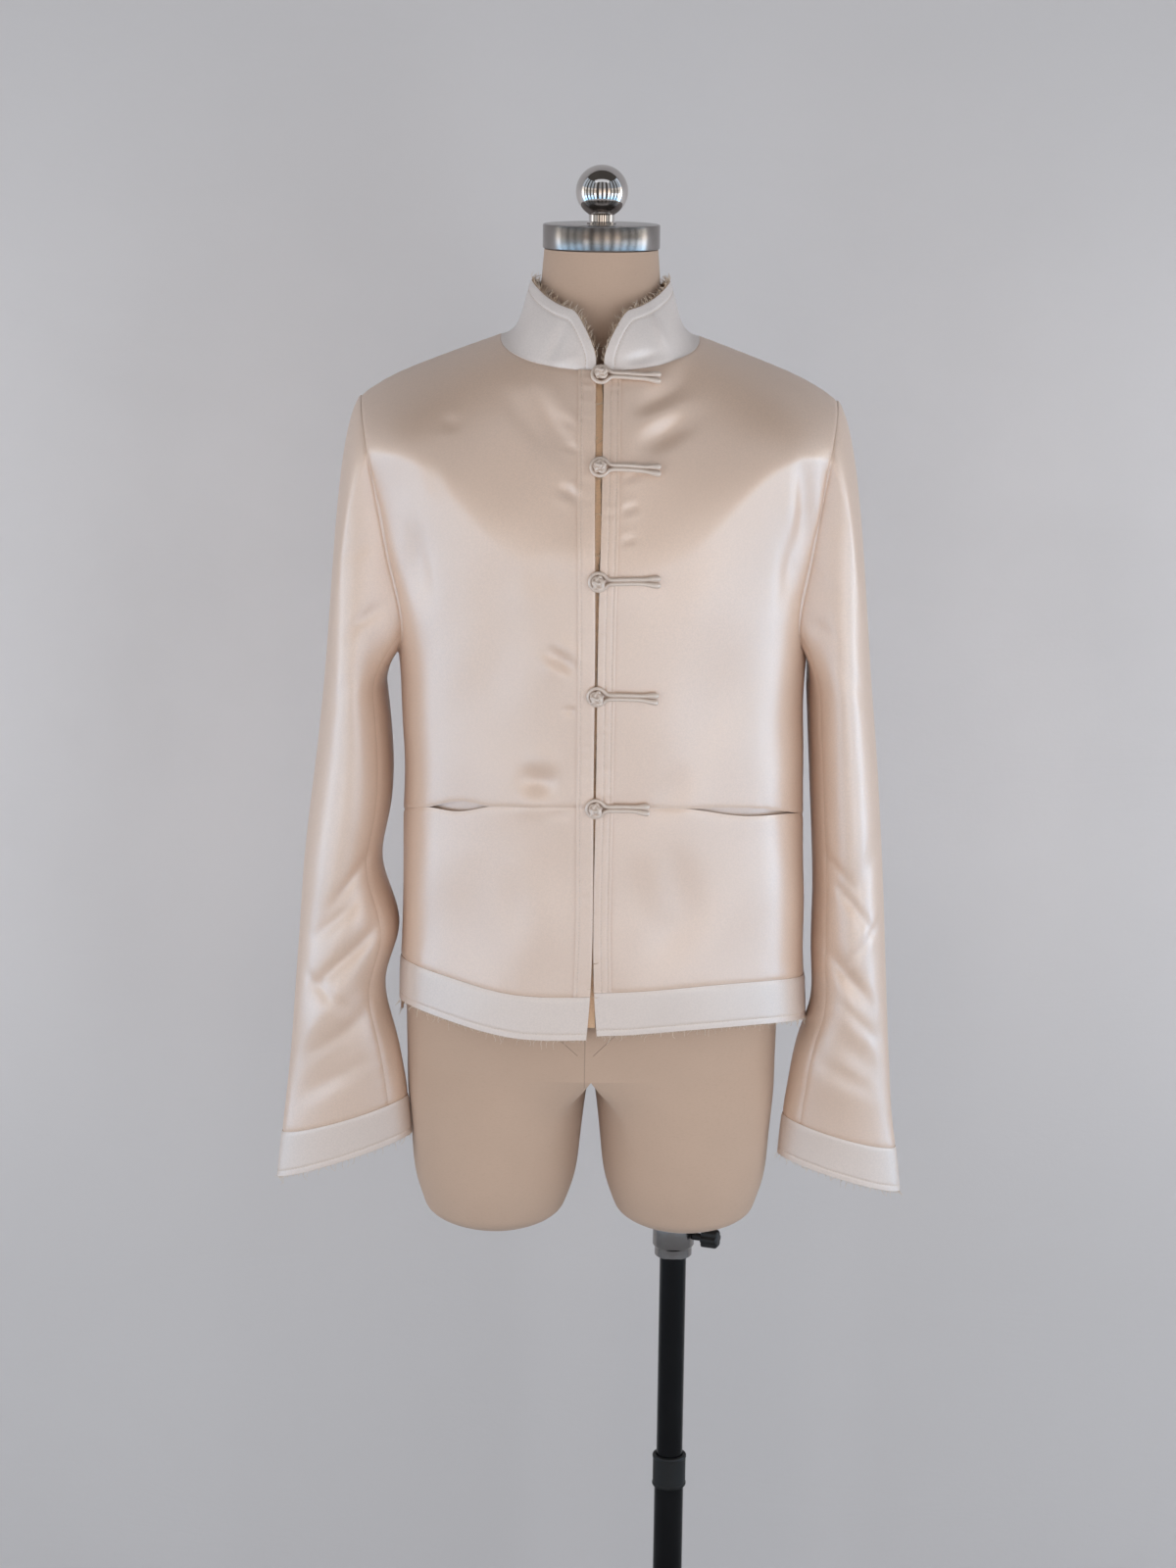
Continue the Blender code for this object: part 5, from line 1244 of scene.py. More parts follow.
@dataclass
class Scatter:
    """Geometry Nodes that set a small mesh along a line, each one turned and sized a little differently."""

    name: str
    finish: Finish
    low: tuple[float, float, float]
    high: tuple[float, float, float]
    jitter: tuple[float, float, float]
    seed: int = 1
    identifiers: dict[str, str] = field(default_factory=dict)

    def tree(self) -> bpy.types.GeometryNodeTree:
        """The node tree, with named inputs for its unit, sizes, jitter, seed and material."""
        tree = bpy.data.node_groups.new(f"{self.name}_tree", "GeometryNodeTree")
        interface = tree.interface
        interface.new_socket("Geometry", in_out="OUTPUT", socket_type="NodeSocketGeometry")
        for name, kind in (("Geometry", "Geometry"), ("Unit", "Object"), ("Low", "Vector"),
                           ("High", "Vector"), ("Jitter", "Vector"), ("Seed", "Int"),
                           ("Material", "Material")):
            made = interface.new_socket(name, in_out="INPUT", socket_type=f"NodeSocket{kind}")
            self.identifiers[name] = made.identifier
        given = tree.nodes.new("NodeGroupInput").outputs

        def node(kind: str, output: str, inputs: dict[Any, Any], **settings: str) -> bpy.types.NodeSocket:
            """Adds a node, with its settings and its inputs' links or values, and gives one output."""
            made = tree.nodes.new(kind)
            for key, value in settings.items():
                setattr(made, key, value)
            for key, value in inputs.items():
                if isinstance(value, bpy.types.NodeSocket):
                    tree.links.new(value, made.inputs[key])
                else:
                    made.inputs[key].default_value = value
            return made.outputs[output]

        def aligned(name: str, inputs: dict[str, Any], **axes: str) -> bpy.types.NodeSocket:
            """A rotation whose axis follows the points' vector of that name."""
            vector = node("GeometryNodeInputNamedAttribute", "Attribute", {"Name": name},
                          data_type="FLOAT_VECTOR")
            return node("FunctionNodeAlignRotationToVector", "Rotation", {**inputs, "Vector": vector},
                        **axes)

        def random(low: bpy.types.NodeSocket, high: bpy.types.NodeSocket,
                   shift: int) -> bpy.types.NodeSocket:
            """A random vector for each point."""
            seed = node("ShaderNodeMath", "Value", {0: given["Seed"], 1: shift})
            return node("FunctionNodeRandomValue", "Value", {"Seed": seed, "Min": low, "Max": high},
                        data_type="FLOAT_VECTOR")

        ahead = aligned("ahead", {}, axis="Z")
        outward = aligned("outward", {"Rotation": ahead}, axis="X", pivot_axis="Z")
        negative = node("ShaderNodeVectorMath", "Vector", {0: given["Jitter"], "Scale": -1.0},
                        operation="SCALE")
        shaken = random(negative, given["Jitter"], 1)
        turn = node("FunctionNodeEulerToRotation", "Rotation", {"Euler": shaken})
        both = node("FunctionNodeRotateRotation", "Rotation", {"Rotation": outward, "Rotate By": turn},
                    rotation_space="LOCAL")
        shape = node("GeometryNodeObjectInfo", "Geometry", {"Object": given["Unit"]})
        instances = node("GeometryNodeInstanceOnPoints", "Instances", {
            "Points": given["Geometry"], "Instance": shape, "Rotation": both,
            "Scale": random(given["Low"], given["High"], 2)})
        realized = node("GeometryNodeRealizeInstances", "Geometry", {"Geometry": instances})
        painted = node("GeometryNodeSetMaterial", "Geometry",
                       {"Geometry": realized, "Material": given["Material"]})
        tree.links.new(painted, tree.nodes.new("NodeGroupOutput").inputs["Geometry"])
        return tree

    def build(self, points: Array, ahead: Array, outward: Array,
              small: bpy.types.Object) -> bpy.types.Object:
        """Sets the units and turns them into one plain mesh.

        Args:
            points: Where the units stand.
            ahead: Each unit's own Z.
            outward: About where its own X points.
            small: The unit, which is removed afterwards.

        Returns:
            The finished object.
        """
        mesh = bpy.data.meshes.new(f"{self.name}_points")
        mesh.from_pydata(points.tolist(), [], [])
        for name, values in (("ahead", ahead), ("outward", outward)):
            layer = mesh.attributes.new(name, "FLOAT_VECTOR", "POINT")
            layer.data.foreach_set("vector", np.ascontiguousarray(values, dtype=np.float32).ravel())
        holder = linked(f"{self.name}_points", mesh)
        modifier = holder.modifiers.new("scatter", "NODES")
        modifier.node_group = self.tree()
        values = {"Unit": small, "Low": self.low, "High": self.high, "Jitter": self.jitter,
                  "Seed": self.seed, "Material": dressed(self.finish)}
        for name, value in values.items():
            modifier[self.identifiers[name]] = value
        graph = bpy.context.evaluated_depsgraph_get()
        graph.update()
        made = bpy.data.meshes.new_from_object(holder.evaluated_get(graph), depsgraph=graph)
        made.name = self.name
        made.shade_smooth()
        piece = linked(self.name, made)
        bpy.data.objects.remove(holder)
        bpy.data.objects.remove(small)
        return piece


@dataclass
class Sewing:
    """Stitches and frayed edges, gathered by kind from every cloth piece and made together at the end."""

    body: str = "dressed_form"
    pitch: float = 0.0029
    stitch_length: float = 0.0023
    stitch_radius: float = 0.00024
    fray_pitch: float = 0.00075
    stitches: list[Run] = field(default_factory=list)
    frays: dict[Finish, list[tuple[Run, Array]]] = field(default_factory=dict)
    strands: dict[Finish, list[tuple[Run, Array]]] = field(default_factory=dict)

    def stitch(self, run: Run, start: float = 0.001, end: float = 0.001) -> None:
        """Adds a row of stitches along a line."""
        self.stitches.append(run.lifted(0.00008).evened(self.pitch, start, end))

    def fray(self, grid: Grid, edge: str, finish: Finish, thickness: float, pitch: float = 1.0,
             long_pitch: float = 0.0055) -> None:
        """Frays an edge of the cloth.

        Args:
            grid: The cloth.
            edge: The edge, one of bottom, top, start and end.
            finish: The yarn's finish.
            thickness: The cloth's.
            pitch: How much sparser than usual the short yarns stand.
            long_pitch: The distance between two long loose threads.
        """
        rim, inside = grid.line(edge, 0.0), grid.line(edge, 0.004)
        away = unit(rim.points - inside.points)
        middle = rim.points - rim.normals * thickness / 2
        for store, step in ((self.frays, self.fray_pitch * pitch), (self.strands, long_pitch)):
            both = Run(middle, away).evened(step)
            outward = Run(middle, rim.normals).evened(step)
            store.setdefault(finish, []).append((both, outward.normals))

    def capsule(self) -> bpy.types.Object:
        """One stitch, along its own Z and a little flat."""
        half, radius = self.stitch_length / 2, self.stitch_radius
        profile = [(0, -half), (0.7 * radius, -0.86 * half), (radius, -0.5 * half), (radius, 0.5 * half),
                   (0.7 * radius, 0.86 * half), (0, half)]
        return lathe("stitch_unit", profile, Finish.STITCH, Matrix(), 6)

    @staticmethod
    def yarn(bend: float, radius: float, finish: Finish) -> bpy.types.Object:
        """One yarn a millimetre long, rooted at the origin and bent towards its own X."""
        t = np.linspace(0, 1, 6)
        middle = spread(bend * np.sin(t * 2.6) * t * 0.001, 0.35 * bend * np.sin(4 * t) * 0.001, t * 0.001)
        rings = []
        for point, share in zip(middle, t):
            turn = 2 * np.pi * np.arange(3) / 3
            size = radius * (1.0 - 0.55 * share)
            rings.append(point + spread(np.cos(turn) * size, np.sin(turn) * size, 0.0 * turn))
        faces = [(3 * i + k, 3 * i + (k + 1) % 3, 3 * i + 3 + (k + 1) % 3, 3 * i + 3 + k)
                 for i in range(len(t) - 1) for k in range(3)]
        faces += [(2, 1, 0), (3 * len(t) - 3, 3 * len(t) - 2, 3 * len(t) - 1)]
        return new_piece("yarn_unit", np.concatenate(rings), faces, (finish,), angle=80.0)

    def build(self) -> None:
        """Makes every stitch and every yarn."""
        points = np.concatenate([run.points for run in self.stitches])
        ahead = np.concatenate([run.ahead() for run in self.stitches])
        outward = np.concatenate([run.normals for run in self.stitches])
        scatter = Scatter("stitches", Finish.STITCH, (0.9, 0.9, 0.9), (1.1, 1.1, 1.06), (0.02, 0.02, 0.3))
        fitted(scatter.build(points, ahead, outward, self.capsule()), self.body, "satin")
        for kind, stored, radius, bend, low, high, jitter in (
            ("short", self.frays, 0.00017, 0.5, (1.0, 1.0, 0.8), (1.0, 1.0, 2.6), (0.5, 0.7, 3.1)),
            ("loose", self.strands, 0.00005, 0.38, (4.0, 4.0, 2.5), (8.5, 8.5, 9.0), (0.45, 0.7, 3.1)),
        ):
            for finish, rows in stored.items():
                points = np.concatenate([run.points for run, _ in rows])
                ahead = np.concatenate([run.normals for run, _ in rows])
                outward = np.concatenate([facing for _, facing in rows])
                name = f"{kind}_yarns_{finish.name.lower()}"
                scatter = Scatter(name, finish, low, high, jitter, seed=len(points))
                yarn = self.yarn(bend, radius, finish)
                fitted(scatter.build(points, ahead, outward, yarn), self.body, "satin")


def fitted(piece: bpy.types.Object, body: str, slot: str, *nodes: str) -> bpy.types.Object:
    """Sets a piece on its body, in place of the nodes."""
    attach(piece, body)
    if nodes:
        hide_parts(*nodes)
    LOG.info("%s: %d faces, on %s", piece.name, len(piece.data.polygons), body)
    return piece


def declared(piece: bpy.types.Object, grid: Grid) -> None:
    """Works out the flat size of a cloth piece's grid, which nothing else uses."""
    width, length = grid.size()


def cloth(name: str, grid: Grid, thickness: float, body: str, nodes: Sequence[str], held: str,
          rests_on: Sequence[str], **look: Any) -> None:
    """Makes a cloth piece from its outer face.

    Args:
        name: The piece's name.
        grid: Its outer face.
        thickness: The cloth's thickness.
        body: The body that it rides.
        nodes: The solids that it replaces.
        held: How it is held; not used.
        rests_on: The pieces that it lies on; not used.
        look: Its finishes and whether it is a ring, as shell takes them.
    """
    declared(fitted(shell(name, grid, thickness, **look), body, "satin", *nodes), grid)


# ---------------------------------------------------------------- the jacket's body


def eased_rows(length: float, step: float, turn: float) -> Array:
    """The shares up a panel that has an armhole.

    Args:
        length: The panel's height.
        step: About how far apart the rows are.
        turn: The share up it at which the armhole starts.

    Returns:
        The shares, closer together towards the armhole's top.
    """
    rows = shares(length, step, turn)
    rise = (rows[rows > turn] - turn) / (1 - turn)
    return np.concatenate([rows[rows <= turn], turn + (1 - turn) * (1 - (1 - rise) ** ARMHOLE_EASE)])


def joined(right: Grid, left: Grid) -> Grid:
    """One grid of two halves that meet at the centre line."""
    return Grid(*(np.concatenate([far[:, ::-1][:, :-1], near], 1) for far, near in
                  ((right.points, left.points), (right.normals, left.normals))))


def side_name(side: int) -> str:
    """left or right, the wearer's."""
    return "left" if side > 0 else "right"


@dataclass
class JacketBody:
    """Fronts, back, hem bands, front strips, pocket facings and the facing behind the opening."""

    sewing: Sewing
    body: str = "dressed_form"
    hem_stitch: float = 0.0055
    strip_stitches: dict[int, tuple[float, ...]] = field(
        default_factory=lambda: {-1: (0.0032,), 1: (0.0029, 0.0089)})
    step: float = 0.0027
    columns_width: float = 0.166
    strip_columns: int = 7
    upper_height: float = 0.40
    lower_height: float = 0.145
    back_height: float = 0.60
    half_back_width: float = 0.19
    facing_heights: tuple[float, float] = (0.803, 1.384)
    facing_reach: float = 0.0100
    facing_back: float = 0.0016
    facing_cloth: float = 0.0008

    def front_columns(self) -> Array:
        """The shares across a front from the strip's edge to the side seam."""
        return shares(self.columns_width, self.step, FRONT_NECK_SHARE)

    def with_strip(self, rest: Place, edge: Place) -> Place:
        """Adds the strip's columns before a front's others.

        Args:
            rest: The places from the strip's edge outwards.
            edge: The front edge's places, one for each row.

        Returns:
            The places of the whole front.
        """
        inner = np.linspace(0, 1, self.strip_columns + 1)[:-1][None, :]
        start_x = BodyShape.section_x(edge[0], edge[1])
        end_x = BodyShape.section_x(rest[0][:, 0], rest[1][:, 0])
        x = start_x[:, None] * (1 - inner) + end_x[:, None] * inner
        height = edge[1][:, None] * (1 - inner) + rest[1][:, :1] * inner
        across = BodyShape.across_of(x, height)
        return np.concatenate([across, rest[0]], 1), np.concatenate([height, rest[1]], 1)

    def upper_places(self, side: int) -> Place:
        """The front above the waist seam."""
        low = float(waist_height(0.0))
        strip_x = float(FRONT_EDGE.at("half_gap", NECK_FRONT_Z)) + STRIP_WIDTH
        top = top_edge(-1, FRONT_NECK_SHARE, neck_share(strip_x))
        high = float(top(np.zeros(1))[1][0])
        first = float(edge_place(np.array(low), STRIP_WIDTH)[0])

        def left(v: Array) -> Place:
            """The strip's edge."""
            return edge_place(low + (high - low) * v, STRIP_WIDTH)

        def bottom(u: Array) -> Place:
            """The waist seam, with the pocket mouth's upper lip."""
            across = first + (1 - first) * u
            seam = waist_height(across)
            return across, seam + pocket_part(side, BodyShape.section_x(across, seam), "rise")

        right = outer_edge(-1, float(waist_height(1.0)), BELOW_SHARE)
        v = eased_rows(self.upper_height, self.step, BELOW_SHARE)
        rest = coons(left, right, bottom, top, self.front_columns(), v)
        return self.with_strip(rest, edge_place(low + (NECK_FRONT_Z - low) * v))

    def lower_places(self, first: Callable[[Array], Array], last: Callable[[Array], Array],
                     height: float, lines: Sequence[float] = ()) -> Place:
        """The front between two edges below the waist seam.

        Args:
            first: The lower edge's height at a share across.
            last: The upper edge's height.
            height: About how far apart they are.
            lines: How far the stitch lines lie above the lower edge.

        Returns:
            The places.
        """
        v = shares(height, self.step, lines=lines)
        zero = np.zeros(1)
        edge_height = float(first(zero)[0]) * (1 - v) + float(last(zero)[0]) * v
        start = edge_place(edge_height, STRIP_WIDTH)[0]
        across = start[:, None] + (1 - start[:, None]) * self.front_columns()[None, :]
        rows = first(across) * (1 - v[:, None]) + last(across) * v[:, None]
        return self.with_strip((across, rows), edge_place(edge_height))

    def make_fronts(self) -> None:
        """Both fronts, their hem bands and the strips down their edges."""
        for side in (1, -1):
            name = side_name(side)

            def seam(across: Array, side: int = side) -> Array:
                """The waist seam with the pocket mouth's lower lip."""
                line = waist_height(across)
                return line - pocket_part(side, BodyShape.section_x(across, line), "sag")

            def band_top(across: Array, side: int = side) -> Array:
                """The hem band's upper edge."""
                return hem_height(-1, side, across, HEM_BAND)

            def raw(across: Array, side: int = side) -> Array:
                """The raw hem."""
                return hem_height(-1, side, across)

            upper = self.upper_places(side)
            lower = self.lower_places(band_top, seam, self.lower_height)
            for level, places, seed, held, rests_on in (
                ("upper", upper, 3, "draped", "form_body"),
                ("lower", lower, 5, "hung", f"satin_front_{name}_upper"),
            ):
                grid = body_grid(-1, side, places)
                grid.seam("bottom top end", 0.00030, seed + side)
                cloth(f"satin_front_{name}_{level}", grid, CLOTH, self.body, [f"front_{name}_{level}"],
                      held, [rests_on])

            places = self.lower_places(raw, band_top, HEM_BAND, (self.hem_stitch,))
            grid = body_grid(-1, side, places, BAND_CLOTH - CLOTH)
            grid.seam("top end", 0.00022, 7 + side)
            self.sew_hem(grid)
            cloth(f"hem_band_{name}_cloth", grid, BAND_CLOTH, self.body, [f"hem_band_{name}"],
                  "hung", [f"satin_front_{name}_lower"], outer=Finish.CROSS)
            self.make_strip(side, upper, lower)

    def sew_hem(self, grid: Grid) -> None:
        """The stitch line above a raw hem, and its fray."""
        grid.groove("bottom", self.hem_stitch)
        self.sewing.stitch(grid.line("bottom", self.hem_stitch))
        self.sewing.fray(grid, "bottom", Finish.FRAY, BAND_CLOTH)

    def make_strip(self, side: int, upper: Place, lower: Place) -> None:
        """The strip down a front's edge, on the points of the front itself."""
        count = self.strip_columns + 1
        across, height = (np.concatenate([low[:-1, :count], high[:, :count]]) for low, high in
                          zip(lower, upper))
        fine, coarse = np.linspace(0, 1, 29), np.linspace(0, 1, count)
        places = tuple(np.array([np.interp(fine, coarse, row) for row in values])
                       for values in (across, height))
        grid = body_grid(-1, side, places, GAP + STRIP_CLOTH)
        run = travel(grid.points[:, len(fine) // 2])
        swell = 1 - np.abs(2 * fine - 1) ** 6
        quilt = 0.00016 * ripple(run, 0.010, 31 + side)[:, None] * swell[None, :]
        grid.push(0.0005 * (1 - swell)[None, :] + quilt)
        grid.inset(bottom=4 * GAP, top=4 * GAP, end=GAP)
        for away in self.strip_stitches[side]:
            grid.groove("end", away, 0.00045)
            self.sewing.stitch(grid.line("end", away), 0.003, 0.003)
        self.sewing.fray(grid, "start", Finish.TAN_FRAY, STRIP_CLOTH, 1.6, 0.03)
        name = side_name(side)
        cloth(f"strip_{name}", grid, STRIP_CLOTH * 0.9, self.body, [f"front_strip_{name}"],
              "laid", [f"satin_front_{name}_upper"])

    def back_grid(self, places: Place, lift: float = 0.0) -> Grid:
        """A grid from the wearer's right side seam to the left one."""
        return joined(body_grid(1, -1, places, lift), body_grid(1, 1, places, lift))

    def half_back_places(self) -> Place:
        """The back above its hem band, from the centre line to the side seam."""
        low = float(hem_height(1, 1, np.zeros(1), HEM_BAND)[0])
        top = top_edge(1, BACK_NECK_SHARE, 0.0)
        side_bottom = float(hem_height(1, 1, np.ones(1), HEM_BAND)[0])
        right = outer_edge(1, side_bottom, BACK_BELOW_SHARE)

        def left(v: Array) -> Place:
            """The centre line."""
            return np.zeros_like(v), low + (NECK_BACK_Z - low) * v

        def bottom(u: Array) -> Place:
            """The hem band's seam."""
            return u, hem_height(1, 1, u, HEM_BAND)

        u = shares(self.half_back_width, self.step, BACK_NECK_SHARE)
        v = eased_rows(self.back_height, self.step, BACK_BELOW_SHARE)
        return coons(left, right, bottom, top, u, v)

    def make_back(self) -> None:
        """The back and its hem band."""
        grid = self.back_grid(self.half_back_places())
        grid.seam("bottom top start end", 0.00028, 11)
        cloth("satin_back", grid, CLOTH, self.body, ["back"], "draped", ["form_body"])
        u = shares(self.half_back_width, self.step)
        v = shares(HEM_BAND, self.step, lines=(self.hem_stitch,))
        low, high = hem_height(1, 1, u), hem_height(1, 1, u, HEM_BAND)
        height = low[None, :] * (1 - v[:, None]) + high[None, :] * v[:, None]
        grid = self.back_grid((np.broadcast_to(u[None, :], height.shape), height), BAND_CLOTH - CLOTH)
        grid.seam("top start end", 0.00022, 13)
        self.sew_hem(grid)
        cloth("hem_band_back_cloth", grid, BAND_CLOTH, self.body, ["hem_band_back"],
              "hung", ["satin_back"], outer=Finish.CROSS)

    def make_pocket_facings(self) -> None:
        """The cloth seen inside each pocket mouth."""
        margin = 0.006
        for mouth in POCKETS:
            x = np.linspace(mouth.start - margin, mouth.end + margin, 40)
            across = BodyShape.across_of(x, waist_height(0.5))
            up = np.linspace(-0.5, 0.5, 14)
            height = waist_height(across)[None, :] + POCKET_FACING_HEIGHT * up[:, None]
            places = (np.broadcast_to(across[None, :], height.shape), height)
            grid = body_grid(-1, mouth.side, places, -POCKET_SET_BACK - CLOTH)
            name = side_name(mouth.side)
            cloth(f"pocket_facing_{name}_cloth", grid, CLOTH, self.body, [f"pocket_facing_{name}"],
                  "hung", [f"satin_front_{name}_upper"])

    def make_placket_facing(self) -> None:
        """The facing that shows between the front edges, a little behind them, with its raw edge."""
        height = np.linspace(*self.facing_heights, 230)
        wander = 0.0007 * ripple(height, 0.05, 41) + 0.0003 * ripple(height, 0.008, 43)
        raw_edge = np.maximum(FRONT_EDGE.at("half_gap", height) * 0.80 + wander, 0.0003)
        halves = []
        for side, edge in ((-1, np.full_like(height, self.facing_reach)), (1, raw_edge)):
            x = edge[:, None] * np.linspace(0, 1, 8)[None, :]
            rows = np.broadcast_to(height[:, None], x.shape)
            places = (BodyShape.across_of(x, rows), rows)
            halves.append(body_grid(-1, side, places, -CLOTH - self.facing_back))
        grid = joined(*halves)
        cloth("placket_facing", grid, self.facing_cloth, self.body, [], "hung",
              ["satin_front_right_upper"], outer=Finish.FACING, inner=Finish.FACING)
        self.sewing.fray(grid, "end", Finish.TAN_FRAY, self.facing_cloth, 1.3, 0.012)

    def build(self) -> None:
        """Makes every piece of the body."""
        self.make_fronts()
        self.make_back()
        self.make_pocket_facings()
        self.make_placket_facing()


# ---------------------------------------------------------------- the collar


@dataclass
class Collar:
    """The stand collar, with a rounded corner at each front end."""

    sewing: Sewing
    body: str = "dressed_form"
    channel: float = 0.0095
    height: float = 0.0485
    corner: float = 0.0385
    corner_start: float = 0.008
    corner_power: float = 1.65
    top_x: float = 0.0616
    top_front_y: float = -0.069
    top_back_y: float = 0.056
    bow: float = 0.0022
    flare: float = 0.0105
    foot_half_depth: float = 0.075
    rows: int = 46

    def foot(self, side: int) -> Array:
        """Points round half the neckline, from the front edge to the centre back."""
        strip_x = float(FRONT_EDGE.at("half_gap", NECK_FRONT_Z)) + STRIP_WIDTH
        edge = edge_place(np.array(NECK_FRONT_Z))
        first = BodyShape.point(-1, side, edge[0], edge[1])
        start = neck_share(strip_x)
        front = neck_place(-1, start + (1 - start) * np.linspace(0, 1, 62))
        back = neck_place(1, np.linspace(1, 0, 44)[1:])
        points = BodyShape.point(-1, side, *front)
        lead = first + (points[0] - first) * (np.linspace(0, 1, 20)[:-1] ** 1.5)[:, None]
        return np.concatenate([lead, points, BodyShape.point(1, side, *back)])

    def columns(self, foot: Array) -> Array:
        """The collar's points above each point of its foot, row by row."""
        side = np.sign(foot[:, 0])
        turn = np.arctan2(np.abs(foot[:, 0]) / NECK_SIDE_X,
                          np.abs(foot[:, 1] - SEAM_Y) / self.foot_half_depth)
        end_y = np.where(foot[:, 1] < SEAM_Y, self.top_front_y, self.top_back_y)
        lean = spread(side * self.top_x * np.sin(turn) - foot[:, 0],
                      end_y * np.cos(turn) - foot[:, 1], 0.0)
        reach = np.abs(foot[:, 0]) - float(FRONT_EDGE.at("half_gap", NECK_FRONT_Z))
        rest = 1 - np.clip(reach, 0, None) / self.corner
        curve = np.maximum(1 - np.maximum(rest, 0) ** self.corner_power, 0) ** (1 / self.corner_power)
        low = self.corner_start + (self.height - self.corner_start) * curve
        height = np.where((foot[:, 1] < SEAM_Y) & (reach < self.corner), low, self.height)
        outward = -unit(lean)
        share = np.linspace(0, 1, self.rows + 1)[:, None] * (height / self.height)[None, :]
        swell = self.bow * np.sin(np.pi * share)
        swell = swell - self.flare * np.sin(turn)[None, :] ** 4 * np.sin(np.pi * share**0.5)
        up = spread(0.0 * share, 0.0 * share, self.height * share + GAP)
        return foot[None] + lean[None] * share[..., None] + outward[None] * swell[..., None] + up

    def grid(self) -> Grid:
        """The outer face from the right front edge round the back to the left one."""
        foot = np.concatenate([self.foot(-1), self.foot(1)[::-1][1:]])
        points = self.columns(foot)
        along = np.gradient(points, axis=1)
        up = np.gradient(points, axis=0)
        return Grid(points, unit(np.cross(up, along)))

    def dents(self, grid: Grid) -> Array:
        """How far the collar's soft dents push it in."""
        x, z = grid.points[..., 0], grid.points[..., 2]
        front = smooth((0.02 - grid.points[..., 1]) / 0.04)
        total = np.zeros_like(x)
        for start, end, width, depth in (
            ((-0.032, 1.424), (-0.044, 1.394), 0.0050, 0.0021),
            ((-0.020, 1.398), (-0.036, 1.392), 0.0060, -0.0008),
            ((0.047, 1.430), (0.058, 1.404), 0.0040, -0.0022),
            ((0.026, 1.395), (0.046, 1.399), 0.0050, 0.0018),
            ((0.070, 1.432), (0.078, 1.410), 0.0060, 0.0018),
            ((-0.066, 1.436), (-0.074, 1.412), 0.0060, 0.0018),
        ):
            ahead, aside = beside(start, end, x, z)
            across, along = np.exp(-((aside / width) ** 2)), np.exp(-(((ahead - 0.5) * 1.7) ** 2))
            total += depth * across * along * front
        return total

    @staticmethod
    def turn_in(grid: Grid) -> None:
        """Turns the collar's foot in behind the neckline, as its seam allowance."""
        edge, normal = grid.points[0], grid.normals[0]
        up = unit(grid.points[1] - grid.points[0])
        steps = ((0.0026, 0.0022), (0.0016, 0.0018), (0.0008, 0.0011), (0.0003, 0.0004))
        rows = [edge - up * down - normal * deep for down, deep in steps]
        facing = [unit(normal - up * lean) for lean in (1.2, 0.9, 0.5, 0.2)]
        flat = [grid.flat[0] - (0.0, down + deep) for down, deep in steps]
        grid.points = np.concatenate([rows, grid.points])
        grid.normals = np.concatenate([facing, grid.normals])
        grid.flat = np.concatenate([flat, grid.flat])

    def channel_path(self, grid: Grid) -> tuple[Array, Array, Array]:
        """The stitch line at the channel's width from the front and top edges.

        Args:
            grid: The collar.

        Returns:
            The grid's own flat places, the line's flat places, and the line's rows and columns.
        """
        up, along = travel(grid.points), travel(grid.points[0])
        edge = np.concatenate([[(along[0], 0.0)], spread(along, up[-1]), [(along[-1], 0.0)]])
        edge = evened(edge, 0.0004)
        ahead = unit(np.gradient(edge, axis=0))
        line = edge + spread(ahead[:, 1], -ahead[:, 0]) * self.channel
        near = np.linalg.norm(line[:, None] - edge[None, ::3], axis=2).min(1)
        line = line[(near > self.channel - 0.0004) & (line[:, 1] > 0.001)]
        column = np.interp(line[:, 0], along, np.arange(len(along)))
        low = np.clip(np.floor(column).astype(int), 0, len(along) - 2)
        part = (column - low)[None, :]
        heights = up[:, low] * (1 - part) + up[:, low + 1] * part
        row = np.array([np.interp(z, rise, np.arange(len(up))) for z, rise in zip(line[:, 1], heights.T)])
        return spread(along[None, :], up), line, np.stack([row, column], 1)

    def sew(self, grid: Grid) -> None:
        """The stitched channel inside the collar's edge, a little fuller than the rest."""
        flat, line, place = self.channel_path(grid)
        near = np.array([np.linalg.norm(row[:, None] - line[None, ::2], axis=2).min(1) for row in flat])
        edge = np.concatenate([spread(flat[-1, :, 0], flat[-1, :, 1]),
                               spread(flat[0, 0, 0], np.linspace(0, flat[-1, 0, 1], 12)),
                               spread(flat[0, -1, 0], np.linspace(0, flat[-1, -1, 1], 12))])
        rim = np.array([np.linalg.norm(row[:, None] - edge[None], axis=2).min(1) for row in flat])
        full = smooth((self.channel - rim) / 0.002) * smooth(rim / 0.002 + 0.3)
        grid.push(0.00045 * np.exp(-((near / 0.0010) ** 2)) - 0.00035 * full)
        self.sewing.stitch(grid.sample(place[:, 0], place[:, 1]))

    def build(self) -> None:
        """Makes the collar."""
        grid = self.grid()
        grid.push(self.dents(grid))
        grid.tuck("bottom", 0.0005, 0.0020, 0.00012, seed=17)
        self.sew(grid)
        inner = Grid(grid.points - grid.normals * CLOTH * 0.7, grid.normals)
        self.sewing.fray(inner, "top", Finish.TAN_FRAY, 0.0002, 0.8, 0.0030)
        self.sewing.fray(inner, "top", Finish.FRAY, 0.0002, 0.9, 0.0026)
        self.turn_in(grid)
        cloth("collar_cloth", grid, CLOTH, self.body, ["collar"], "stretched",
              ["satin_front_left_upper", "satin_back"], outer=Finish.COLLAR)


# ---------------------------------------------------------------- sleeves

